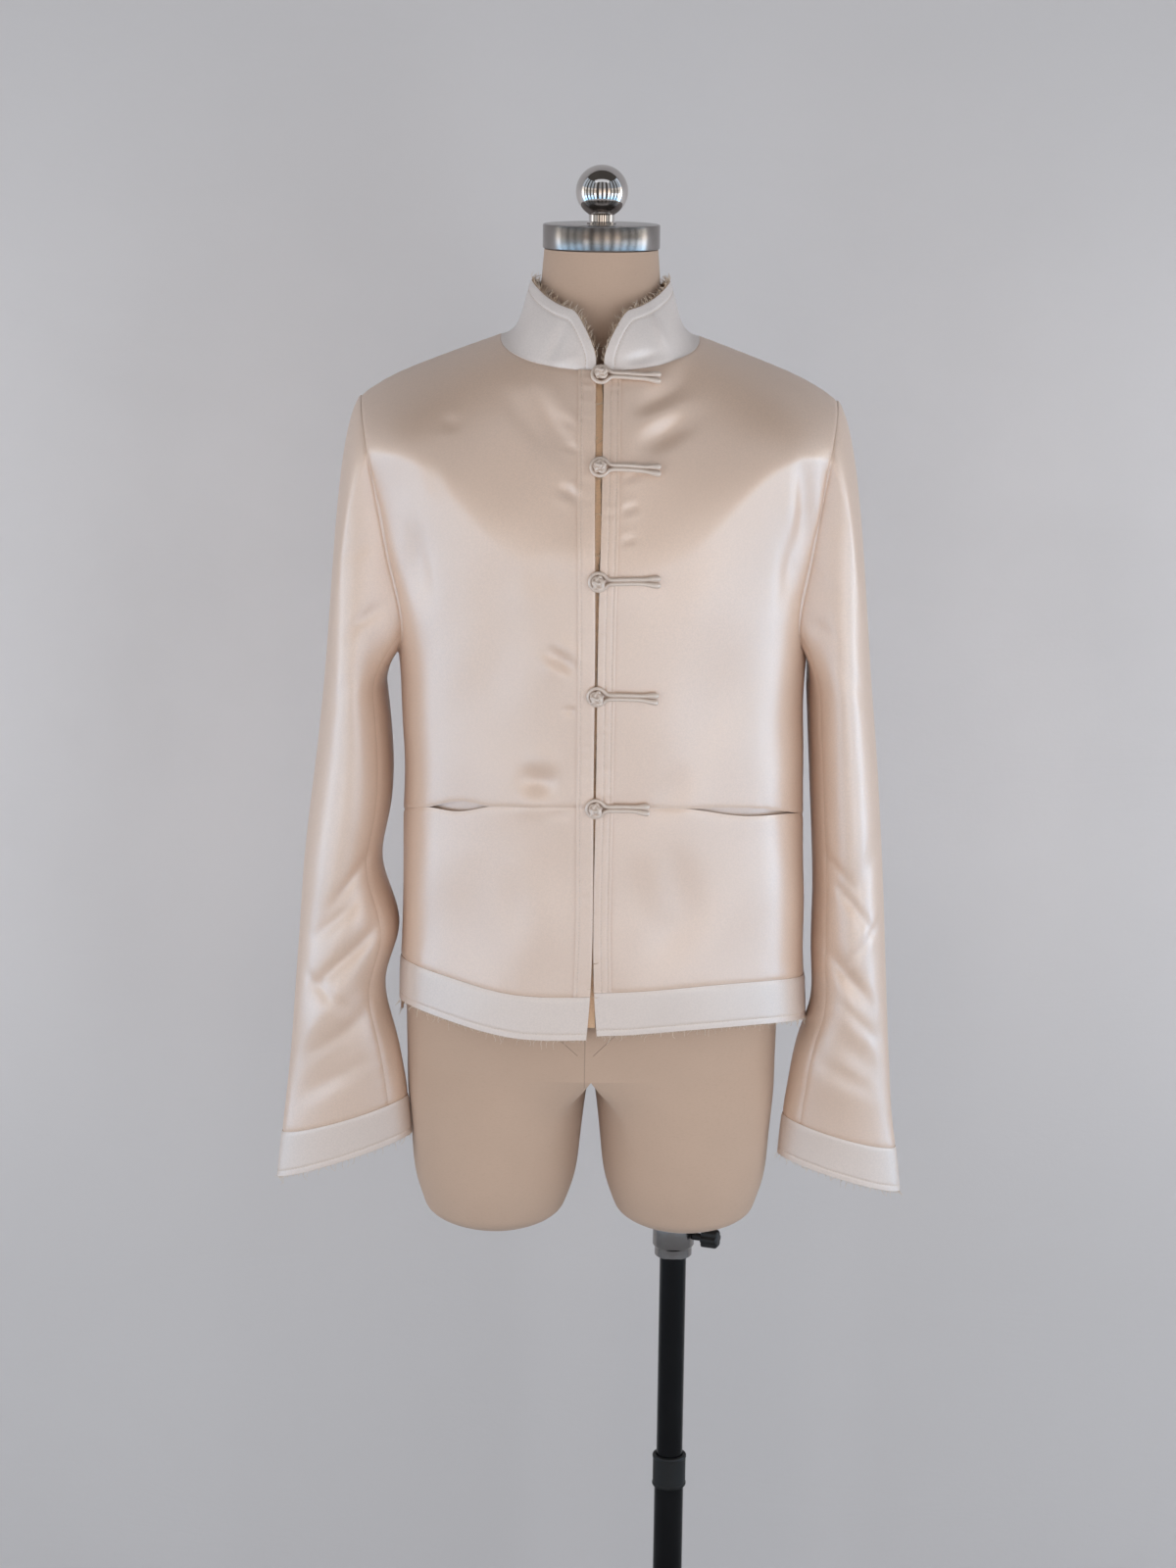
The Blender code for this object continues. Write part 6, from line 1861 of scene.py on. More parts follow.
SLEEVE_LEVELS = {
    1: Table(
        "height outer inner half_depth middle_y tilt",
        (1.090, 0.2520, 0.1925, 0.0780, 0.003, 0.00),
        (1.030, 0.2580, 0.1960, 0.0740, 0.002, 0.00),
        (0.970, 0.2630, 0.1995, 0.0700, 0.000, 0.00),
        (0.900, 0.2680, 0.2025, 0.0640, -0.002, -0.02),
        (0.840, 0.2715, 0.2025, 0.0590, -0.006, -0.06),
        (0.790, 0.2745, 0.2015, 0.0530, -0.010, -0.12),
        (0.765, 0.2762, 0.1935, 0.0475, -0.012, -0.15),
        (0.742, 0.2780, 0.1880, 0.0440, -0.014, -0.18),
        (0.715, 0.2800, 0.1840, 0.0370, -0.016, -0.24),
        (0.677, 0.2855, 0.1790, 0.0290, -0.018, -0.29),
        (0.637, 0.2905, 0.1755, 0.0250, -0.020, -0.31),
    ),
    -1: Table(
        "height outer inner half_depth middle_y tilt",
        (1.090, 0.2480, 0.1905, 0.0780, 0.003, 0.00),
        (1.030, 0.2545, 0.1850, 0.0740, 0.002, 0.00),
        (0.970, 0.2620, 0.1885, 0.0700, 0.000, 0.00),
        (0.925, 0.2668, 0.1945, 0.0650, -0.002, -0.02),
        (0.865, 0.2710, 0.1790, 0.0590, -0.006, -0.06),
        (0.815, 0.2748, 0.1910, 0.0520, -0.010, -0.12),
        (0.760, 0.2790, 0.1825, 0.0420, -0.014, -0.20),
        (0.725, 0.2830, 0.1755, 0.0350, -0.016, -0.26),
        (0.685, 0.2880, 0.1700, 0.0280, -0.018, -0.32),
        (0.648, 0.2922, 0.1670, 0.0230, -0.020, -0.35),
    ),
}
CUFF_TOP = {1: 0.677, -1: 0.688}
CUFF_END = {1: 0.637, -1: 0.648}


@dataclass(frozen=True)
class SleeveFold:
    """A fold in a sleeve: its middle's height and turn, its reach and rise round it, its width and depth."""

    side: int
    height: float
    around: float
    reach: float
    rise: float
    half_width: float
    depth: float


SLEEVE_FOLDS = tuple(SleeveFold(*row) for row in (
    # broad bends at the elbow and above the wrist
    (1, 0.925, 78, 62, -0.045, 0.019, 0.0030),
    (1, 0.868, 72, 55, -0.040, 0.016, -0.0022),
    (1, 0.822, 84, 66, 0.060, 0.019, 0.0032),
    (1, 0.755, 70, 60, 0.040, 0.017, 0.0026),
    (1, 0.870, 250, 62, 0.045, 0.020, 0.0035),
    (1, 0.785, 268, 60, -0.035, 0.018, 0.0032),
    (-1, 0.905, 98, 58, 0.045, 0.019, 0.0030),
    (-1, 0.842, 88, 62, 0.055, 0.019, 0.0032),
    (-1, 0.795, 74, 52, 0.045, 0.016, -0.0022),
    (-1, 0.745, 80, 60, 0.050, 0.017, 0.0026),
    (-1, 0.882, 252, 62, -0.045, 0.020, 0.0035),
    (-1, 0.780, 262, 60, 0.035, 0.018, 0.0032),
    # small diagonal pulls below the sleeve's head
    (1, 1.247, 72, 34, -0.016, 0.0055, 0.0018),
    (1, 1.203, 104, 36, 0.018, 0.0060, 0.0022),
    (1, 1.165, 118, 40, 0.024, 0.0070, 0.0020),
    (1, 1.110, 70, 52, 0.034, 0.0120, 0.0012),
    (-1, 1.228, 72, 34, 0.014, 0.0055, 0.0020),
    (-1, 1.205, 116, 30, -0.012, 0.0050, 0.0018),
    (-1, 1.166, 98, 44, 0.026, 0.0070, 0.0020),
    (-1, 1.095, 74, 50, 0.030, 0.0120, 0.0012),
    # sharper diagonals over the forearm
    (1, 0.938, 116, 46, 0.026, 0.0070, 0.0024),
    (1, 0.902, 88, 58, 0.042, 0.0085, 0.0030),
    (1, 0.868, 70, 50, -0.032, 0.0075, 0.0024),
    (1, 0.836, 98, 60, 0.036, 0.0095, 0.0032),
    (1, 0.792, 78, 52, 0.030, 0.0085, 0.0026),
    (1, 0.738, 88, 58, 0.024, 0.0100, 0.0024),
    (-1, 0.918, 104, 50, 0.036, 0.0075, 0.0028),
    (-1, 0.886, 84, 54, 0.032, 0.0075, 0.0024),
    (-1, 0.850, 96, 60, 0.046, 0.0090, 0.0032),
    (-1, 0.815, 72, 46, -0.022, 0.0075, 0.0022),
    (-1, 0.774, 92, 58, 0.032, 0.0095, 0.0028),
    (-1, 0.728, 80, 54, 0.030, 0.0100, 0.0024),
    # the same behind
    (1, 0.930, 262, 52, 0.030, 0.0080, 0.0026),
    (1, 0.895, 244, 56, -0.034, 0.0090, 0.0028),
    (1, 0.838, 270, 58, 0.040, 0.0090, 0.0028),
    (1, 0.742, 256, 54, 0.026, 0.0100, 0.0024),
    (1, 1.190, 262, 46, -0.030, 0.0080, 0.0022),
    (-1, 0.942, 258, 50, 0.028, 0.0080, 0.0026),
    (-1, 0.900, 272, 56, -0.036, 0.0090, 0.0028),
    (-1, 0.834, 250, 58, 0.038, 0.0090, 0.0028),
    (-1, 0.738, 264, 54, -0.026, 0.0100, 0.0024),
    (-1, 1.195, 256, 46, 0.028, 0.0080, 0.0022),
))


@dataclass
class Sleeves:
    """Both sleeves, each a top piece, an under piece and a cuff band."""

    sewing: Sewing
    body: str = "dressed_form"
    hem_stitch: float = 0.0055
    around: int = 96
    head_rows: int = 56
    row_step: float = 0.003
    head_end: float = 1.090
    head_fall: float = 55.0
    head_push: float = 0.45
    inner_push: float = 0.35
    head_spread: float = 0.25
    head_gap: float = 0.004
    head_length: float = 0.2
    first_head_row: float = 0.0031
    under_start: int = 36
    under_end: int = 72

    def ring(self, side: int) -> tuple[Array, Array, Array]:
        """Points round the armhole with their outward directions and the way out of its edge."""
        half = self.around // 2
        front = armhole_place(-1, np.arange(half + 1) / half)
        back = armhole_place(1, 2 - np.arange(half + 1, self.around) / half)
        points = np.concatenate([BodyShape.point(-1, side, *front), BodyShape.point(1, side, *back)])
        normals = np.concatenate([BodyShape.normal(-1, side, *front), BodyShape.normal(1, side, *back)])
        along = np.roll(points, -1, 0) - np.roll(points, 1, 0)
        return points, normals, unit(np.cross(along, normals) * -side)

    def section(self, side: int, turn: Array, height: Array) -> Array:
        """Points of the plain sleeve at an angle from its outer edge round through the front."""
        levels = SLEEVE_LEVELS[side]
        outer, inner = levels.at("outer", height), levels.at("inner", height)
        half = (outer - inner) / 2
        x = (outer + inner) / 2 + half * np.cos(turn)
        y = levels.at("middle_y", height) - levels.at("half_depth", height) * np.sin(turn)
        return spread(side * x, y, height + levels.at("tilt", height) * half * np.cos(turn))

    def fold_depth(self, side: int, turn: Array, height: Array) -> Array:
        """How far the sleeve's folds push its face in."""
        degrees = np.degrees(turn)
        total = np.zeros(np.broadcast(degrees, height).shape)
        for fold in SLEEVE_FOLDS:
            if fold.side != side:
                continue
            share = np.clip(((degrees - fold.around + 180) % 360 - 180) / fold.reach, -1, 1)
            across = (height - fold.height - fold.rise * share) / fold.half_width
            total = total + fold.depth * np.exp(-across * across) * np.cos(share * np.pi / 2) ** 2
        return total

    def folded(self, side: int, turn: Array, points: Array, amount: Array | float = 1.0) -> Array:
        """Points of the plain sleeve, pushed in by its folds."""
        height = points[..., 2]
        outward = self.section(side, turn, height) - self.section(side, turn + np.pi, height)
        return points - unit(outward) * (self.fold_depth(side, turn, height) * amount)[..., None]

    def head(self, side: int, share: Array, turn: Array) -> Array:
        """The sleeve's face over its head, at shares of the way down from the armhole."""
        start, normal, out = self.ring(side)
        start = start + unit(normal + out) * ARMHOLE_GAP * math.sqrt(2)
        end = self.section(side, turn, np.array(self.head_end))
        below = self.section(side, turn, np.array(self.head_end - 0.01))
        length = np.linalg.norm(end - start, axis=1)[:, None]
        fall = math.radians(self.head_fall)
        leave = unit(spread(side * math.cos(fall), -self.head_spread * np.sin(turn), -math.sin(fall)))
        leave = leave * length * (self.head_push + self.inner_push * smooth(-np.cos(turn)))[:, None]
        arrive = unit(below - end) * length
        t = share[:, None, None]
        points = start * (2 * t**3 - 3 * t**2 + 1) + leave * (t**3 - 2 * t**2 + t)
        points = points + end * (3 * t**2 - 2 * t**3) + arrive * (t**3 - t**2)
        return self.folded(side, turn[None, :], points, smooth(2 * share)[:, None])

    def normals_of(self, rows: Array, side: int) -> Array:
        """Outward directions of rings that run from the bottom up."""
        along = np.roll(rows, -1, 1) - np.roll(rows, 1, 1)
        up = np.gradient(rows, axis=0)
        return unit(np.cross(up, along) * side)

    def grid(self, side: int) -> tuple[Array, Array]:
        """The rings from the cuff band up to the armhole, with their outward directions."""
        turn = 2 * np.pi * np.arange(self.around) / self.around
        length = self.head_end - CUFF_TOP[side]
        share = shares(length, self.row_step)
        share = share[share < 1 - self.head_gap / length]
        heights = CUFF_TOP[side] + length * share
        low = self.folded(side, turn[None, :], self.section(side, turn[None, :], heights[:, None]))
        down = 1 - shares(self.head_length, self.head_length / self.head_rows)
        down = down[down <= 1 - self.first_head_row / self.head_length]
        rows = np.concatenate([low, self.head(side, np.concatenate([[1.0], down]), turn)])
        normals = self.normals_of(rows, side)
        out = self.ring(side)[2]
        last = normals[-1]
        normals[-1] = unit(last - out * np.maximum((last * out).sum(1), 0)[:, None])
        return rows, normals

    def build(self) -> None:
        """Makes both sleeves."""
        for side in (1, -1):
            name = side_name(side)
            rows, normals = self.grid(side)
            for part, first, last in (("top", self.under_end, self.under_start + self.around),
                                      ("under", self.under_start, self.under_end)):
                index = np.arange(first, last + 1) % self.around
                grid = Grid(rows[:, index].copy(), normals[:, index].copy())
                grid.tuck("bottom start end", 0.0006, 0.0022, 0.00025, seed=19 + side)
                grid.tuck("top", 0.0003, 0.0014, 0.00014, seed=23 + side)
                grid.inset(bottom=SEAM_GAP, start=SEAM_GAP, end=SEAM_GAP)
                self.turn_in(grid, side, index)
                nodes = [f"sleeve_{name}_{part}_arm", f"sleeve_{name}_{part}_forearm"]
                cloth(f"satin_sleeve_{name}_{part}", grid, CLOTH, self.body, nodes,
                      "hung", [f"satin_front_{name}_upper", "satin_back"])
            self.make_cuff(side)

    def turn_in(self, grid: Grid, side: int, index: Array) -> None:
        """Turns the cloth in under the edge of the armhole, as its seam allowance.

        Args:
            grid: A piece of the sleeve.
            side: 1 for the wearer's left.
            index: The places round the armhole of its columns.
        """
        _, normal, out = (values[index] for values in self.ring(side))
        edge = grid.points[-1]
        rows = [edge - out * away - normal * deep for away, deep in
                ((0.0004, 0.0003), (0.0009, 0.0010), (0.0016, 0.0017), (0.0026, 0.0020))]
        facing = [unit(grid.normals[-1] + normal * lean) for lean in (0.0, 0.3, 0.8, 1.2)]
        grid.points = np.concatenate([grid.points, rows])
        grid.normals = np.concatenate([grid.normals, facing])
        grid.flat = np.concatenate([grid.flat, [grid.flat[-1] + (0.0, away) for away in
                                                (0.0005, 0.0014, 0.0024, 0.0035)]])

    def make_cuff(self, side: int) -> None:
        """The band round a sleeve's end."""
        turn = 2 * np.pi * np.arange(self.around) / self.around
        low, high = CUFF_END[side], CUFF_TOP[side]
        heights = low + (high - low) * shares(high - low, 0.0027, lines=(self.hem_stitch,))
        rows = self.folded(side, turn[None, :], self.section(side, turn[None, :], heights[:, None]))
        normals = self.normals_of(rows, side)
        grid = Grid(rows + normals * (BAND_CLOTH - CLOTH), normals)
        grid.tuck("top", 0.0006, 0.0020, 0.00020, seed=29 + side)
        grid.inset(top=SEAM_GAP)
        around = [np.concatenate([values, values[:, :1]], 1) for values in (grid.points, grid.normals)]
        closed = Grid(*around)
        closed.groove("bottom", self.hem_stitch)
        grid.points = closed.points[:, :-1]
        self.sewing.stitch(closed.line("bottom", self.hem_stitch))
        self.sewing.fray(closed, "bottom", Finish.FRAY, BAND_CLOTH)
        name = side_name(side)
        cloth(f"cuff_{name}_cloth", grid, BAND_CLOTH, self.body, [f"cuff_{name}"],
              "hung", [f"satin_sleeve_{name}_top"], outer=Finish.CROSS, ring=True)


# ---------------------------------------------------------------- frog fastenings


@dataclass
class Frogs:
    """Five fastenings, each a knotted cord button and the loop round it."""

    body: str = "dressed_form"
    heights: tuple[float, ...] = (1.3820, 1.3065, 1.2105, 1.1090, 1.0075)
    cord: float = 0.0019
    loop: float = 0.0076
    knot: float = 0.0065
    knot_lift: float = 0.0048
    lengths: tuple[float, ...] = (0.0500, 0.0510, 0.0515, 0.0510, 0.0450)
    slopes: tuple[float, ...] = (-0.085, -0.055, 0.0, -0.045, -0.03)
    strand_spread: float = 0.00185
    end_spread: float = 0.0030
    end_swell: float = 0.0010
    end_length: float = 0.011
    knot_cord: float = 0.00155
    knot_path_gap: float = 0.0019
    knot_core_gap: float = 0.0021
    droop: float = 0.022
    opening: float = 1.35
    step_start: float = 0.022
    step_length: float = 0.012
    step: float = 0.3

    def place(self, height: float) -> tuple[Array, Array, Array]:
        """A frog's middle, with the ways outward and up."""
        at = np.array(0.001)
        point = BodyShape.point(-1, 1, at, np.array(height))
        outward = BodyShape.normal(-1, 1, at, np.array(height - self.droop))
        outward[0] = 0
        outward = unit(outward)
        return point, outward, -np.cross((1.0, 0.0, 0.0), outward)

    def on_front(self, x: Array, height: float, lift: Array) -> Array:
        """Points at distances from the centre line, above the left front's face."""
        x = np.maximum(x, 0.0005)
        across = BodyShape.across_of(x, np.full_like(x, height))
        out = BodyShape.normal(-1, 1, across, np.full_like(x, height - self.droop))
        level = np.full_like(x, height)
        face = BodyShape.point(-1, 1, across, level)
        normal = BodyShape.normal(-1, 1, across, level)
        depth = BodyShape.relief(-1, 1, across, level)
        return face - normal * depth[:, None] + out * lift[:, None]

    def loop_path(self, height: float, length: float, slope: float) -> Array:
        """The cord's middle line: in along the cloth, round the knot and back beside itself.

        Args:
            height: The height of its knot.
            length: How far from the centre line its ends lie.
            slope: How much it rises on its way there.

        Returns:
            The line.
        """
        place, outward, up = self.place(height)
        on_strip = GAP + STRIP_CLOTH + GAP + self.cord
        share = np.linspace(0, 1, 34, endpoint=False)
        x = length + (self.loop + self.cord - length) * share
        offset = self.strand_spread + (self.end_spread - self.strand_spread) * smooth(1 - 3.2 * share)
        off_strip = smooth((x - self.step_start) / self.step_length)
        strand = self.on_front(x, height, on_strip - (GAP + STRIP_CLOTH) * self.step * off_strip)
        bow = slope * (x - self.loop) + 0.0006 * np.sin(np.pi * share)
        strand = strand + up * bow[:, None]
        start = math.asin(self.strand_spread / self.loop) * self.opening
        angle = start + (2 * math.pi - 2 * start) * np.linspace(0, 1, 37)
        centre = place + outward * on_strip
        eye = centre + spread(self.loop * np.cos(angle), 0.0 * angle, 0.0 * angle)
        eye = eye + up * (self.loop * np.sin(angle))[:, None]
        upper, lower = strand + up * offset[:, None], strand - up * offset[:, None]
        path = np.concatenate([upper, eye, lower[::-1]])
        for _ in range(3):
            path = np.concatenate([path[:1], (path[:-2] + 2 * path[1:-1] + path[2:]) / 4, path[-1:]])
        return evened(path, 0.0008)

    def knot_path(self, height: float) -> Array:
        """The knot's cord, which passes over and under itself round a ball."""
        place, outward, up = self.place(height)
        foot = GAP + STRIP_CLOTH + GAP
        centre = place + outward * (foot + self.cord + self.knot_lift)
        t = np.linspace(0, 2 * np.pi, 260, endpoint=False)
        turn, tilt = 3 * t, 0.98 * np.cos(4 * t)
        radius = self.knot - self.knot_path_gap + 0.0007 * np.sin(8 * t + 0.4)
        level, z = radius * np.cos(tilt), radius * np.sin(tilt)
        x, y = level * np.cos(turn), level * np.sin(turn)
        lean = math.radians(35)
        y, z = y * math.cos(lean) - z * math.sin(lean), y * math.sin(lean) + z * math.cos(lean)
        right = np.array((1.0, 0.0, 0.0))
        return centre + x[:, None] * right + y[:, None] * up + z[:, None] * outward

    def build(self) -> None:
        """Makes the loops and the knots."""
        for number, height in enumerate(self.heights, 1):
            path = self.loop_path(height, self.lengths[number - 1], self.slopes[number - 1])
            run = travel(path)
            near_end = np.minimum(run, run[-1] - run)
            radius = self.cord + self.end_swell * smooth(1 - near_end / self.end_length)
            loop = swept(f"loop_cord_{number}", path, radius, Finish.CORD, 12)
            fitted(loop, self.body, "frog_cord", f"frog_loop_{number}")
            knot = swept(f"knot_cord_{number}", self.knot_path(height), self.knot_cord, Finish.CORD,
                         closed=True)
            fitted(knot, self.body, "frog_cord", f"frog_knot_{number}")
            self.make_heart(f"knot_heart_{number}", height)

    def make_heart(self, name: str, height: float) -> None:
        """The core that a knot's cord lies round, on a short neck that stands on the strip."""
        place, outward, up = self.place(height)
        turn = Matrix((Vector((1, 0, 0)), Vector(up), Vector(outward))).transposed().to_4x4()
        foot = GAP + STRIP_CLOTH + GAP
        ball = foot + self.cord + self.knot_lift
        core = self.knot - self.knot_core_gap
        profile = [(0.0034, foot), (0.0036, foot + 0.0005), (0.0030, foot + 0.0012),
                   (0.0022, foot + 0.0018)]
        for k in range(1, 10):
            angle = math.radians(-60 + 150 * k / 10)
            profile.append((core * math.cos(angle), ball + core * math.sin(angle)))
        profile.append((0, ball + core))
        heart = lathe(name, profile, Finish.CORD, Matrix.Translation(Vector(place)) @ turn, 24)
        fitted(heart, self.body, "frog_cord")


# ---------------------------------------------------------------- the dress form

FORM = Table(
    "height half_width front back middle_y",
    (0.745, 0.1715, 0.100, 0.112, 0.000),
    (0.800, 0.1720, 0.103, 0.115, 0.000),
    (0.860, 0.1650, 0.102, 0.108, 0.000),
    (0.930, 0.1400, 0.094, 0.090, 0.000),
    (1.000, 0.1230, 0.088, 0.080, 0.000),
    (1.060, 0.1280, 0.094, 0.082, 0.000),
    (1.120, 0.1410, 0.110, 0.088, 0.000),
    (1.175, 0.1480, 0.117, 0.094, 0.000),
    (1.230, 0.1540, 0.108, 0.098, 0.000),
    (1.280, 0.1600, 0.092, 0.097, 0.000),
    (1.320, 0.1560, 0.076, 0.088, 0.000),
    (1.348, 0.1380, 0.062, 0.074, 0.002),
    (1.370, 0.1080, 0.055, 0.062, 0.004),
    (1.386, 0.0780, 0.053, 0.056, 0.003),
    (1.402, 0.0610, 0.052, 0.053, 0.001),
    (1.430, 0.0545, 0.051, 0.051, 0.000),
    (1.486, 0.0505, 0.050, 0.050, 0.000),
)
THIGHS = Table(
    "height middle_x middle_y half_width half_depth trunk_share",
    (0.745, 0.0880, 0.0062, 0.0837, 0.0953, 1.00),
    (0.729, 0.0880, 0.0060, 0.0835, 0.0950, 0.70),
    (0.711, 0.0881, 0.0055, 0.0830, 0.0945, 0.30),
    (0.688, 0.0882, 0.0050, 0.0812, 0.0930, 0.08),
    (0.655, 0.0884, 0.0040, 0.0785, 0.0895, 0.00),
    (0.625, 0.0888, 0.0030, 0.0745, 0.0840, 0.00),
    (0.602, 0.0890, 0.0020, 0.0672, 0.0750, 0.00),
    (0.588, 0.0890, 0.0010, 0.0550, 0.0610, 0.00),
    (0.580, 0.0880, 0.0000, 0.0350, 0.0400, 0.00),
)


@dataclass
class DressForm:
    """The linen-covered trunk and thighs, with the steel cap and the chrome ball."""

    body: str = "dressed_form"
    power: float = 2.15
    around: int = 104
    crotch_z: float = 0.737
    crotch_points: int = 15
    trunk_rings: int = 150
    thigh_top: float = 0.742
    thigh_end: float = 0.580
    thigh_rings: int = 35
    cap_radius: float = 0.0520
    cap_bottom: float = 1.4865
    cap_top: float = 1.5080
    ball_radius: float = 0.0232
    ball_z: float = 1.5366
    stem_radius: float = 0.0115
    stem_drop: float = 0.0201

    def ring(self, height: float) -> Array:
        """Points round the trunk, from the middle of the front towards the wearer's left."""
        turn = 2 * np.pi * np.arange(self.around) / self.around
        s, c = np.sin(turn), np.cos(turn)
        x = np.sign(s) * np.abs(s) ** (2 / self.power) * FORM.at("half_width", height)
        reach = np.where(c > 0, FORM.at("front", height), FORM.at("back", height))
        y = -np.sign(c) * np.abs(c) ** (2 / self.power) * reach
        return spread(x, y + FORM.at("middle_y", height), height)

    def thigh_ring(self, side: int, height: float, above: Array) -> Array:
        """Points round a thigh, one below each point of the ring above it."""
        read = {name: float(THIGHS.at(name, height)) for name in THIGHS.values}
        turn = np.arctan2(above[:, 0] * side - read["middle_x"], -above[:, 1])
        x = side * read["middle_x"] + side * read["half_width"] * np.sin(turn)
        y = read["middle_y"] - read["half_depth"] * np.cos(turn)
        share = min(max(read["trunk_share"], 0.0), 1.0)
        return spread(x * (1 - share) + above[:, 0] * share, y * (1 - share) + above[:, 1] * share, height)

    def crotch(self, front: Array, back: Array) -> list[Array]:
        """Points of the arch between the thighs, from the middle of the back to that of the front."""
        made = []
        foot = FORM.keys[0]
        for k in range(1, self.crotch_points + 1):
            share = k / (self.crotch_points + 1)
            point = back * (1 - share) + front * share
            point[2] = foot + (self.crotch_z - foot) * math.sin(math.pi * share) ** 0.35
            made.append(point)
        return made

    def add_thigh(self, side: int, edge: list[int], points: list[Array],
                  faces: list[tuple[int, ...]]) -> None:
        """Adds a thigh with a round end.

        Args:
            side: 1 for the wearer's left.
            edge: The numbers of the points from which it hangs.
            points: All the points so far, which it adds its own to.
            faces: All the faces so far, which it adds its own to.
        """
        above = np.array([points[k] for k in edge])
        share = np.linspace(0, 1, self.thigh_rings + 1)[1:]
        fall = (self.thigh_top - self.thigh_end) * np.sin(share * np.pi / 2) ** 0.9
        for height in self.thigh_top - fall:
            ring = list(range(len(points), len(points) + len(edge)))
            points.extend(self.thigh_ring(side, float(height), above))
            for k in range(len(ring)):
                n = (k + 1) % len(ring)
                faces.append((edge[k], edge[n], ring[n], ring[k])[::side])
            edge = ring
        faces.append(tuple(edge[::side]))

    def make_trunk(self) -> None:
        """The trunk as rings, which part at the crotch into two thighs."""
        keys, count, half = FORM.keys, self.around, self.around // 2
        heights = np.unique(np.concatenate([keys, np.linspace(keys[0], keys[-1], self.trunk_rings)]))
        rings = [self.ring(float(height)) for height in heights]
        points = [point for ring in rings for point in ring]
        faces: list[tuple[int, ...]] = []
        for i in range(len(rings) - 1):
            for k in range(count):
                a, b = i * count + k, i * count + (k + 1) % count
                faces.append((a, b, b + count, a + count))
        faces.append(tuple(range(len(points) - count, len(points))))
        crotch = list(range(len(points), len(points) + self.crotch_points))
        points += self.crotch(rings[0][0], rings[0][half])
        for side in (1, -1):
            edge = [side * k % count for k in range(half + 1)]
            self.add_thigh(side, edge + crotch, points, faces)
        piece = new_piece("linen_form", np.array(points), faces, (Finish.LINEN,), angle=60.0)
        work = bmesh.new()
        work.from_mesh(piece.data)
        bmesh.ops.recalc_face_normals(work, faces=work.faces)
        work.to_mesh(piece.data)
        work.free()
        fitted(piece, self.body, "form_linen", "form_body")

    def make_fittings(self) -> None:
        """The steel cap on the neck and the ball on its stem."""
        radius, low, high = self.cap_radius, self.cap_bottom, self.cap_top
        profile = [(radius - 0.0012, low), (radius - 0.0004, low + 0.0004), (radius, low + 0.0012),
                   (radius, high - 0.0012), (radius - 0.0004, high - 0.0004), (radius - 0.0012, high),
                   (radius * 0.5, high + 0.0001), (0, high + 0.0001)]
        cap = lathe("steel_cap", profile, Finish.STEEL, Matrix())
        fitted(cap, self.body, "brushed_steel", "neck_cap")
        ball, middle, stem, drop = self.ball_radius, self.ball_z, self.stem_radius, self.stem_drop
        profile = [(stem + 0.0014, high + GAP), (stem + 0.0014, high + 0.0016), (stem, high + 0.0024),
                   (stem, middle - drop - 0.0002)]
        start = -math.asin(drop / ball)
        for k in range(1, 48):
            angle = start + (math.pi / 2 - start) * k / 48
            profile.append((ball * math.cos(angle), middle + ball * math.sin(angle)))
        profile.append((0, middle + ball))
        fitted(lathe("chrome_finial", profile, Finish.CHROME, Matrix()), self.body, "chrome_ball", "finial")

    def build(self) -> None:
        """Makes the form and its fittings."""
        self.make_trunk()
        self.make_fittings()


# ---------------------------------------------------------------- the stand


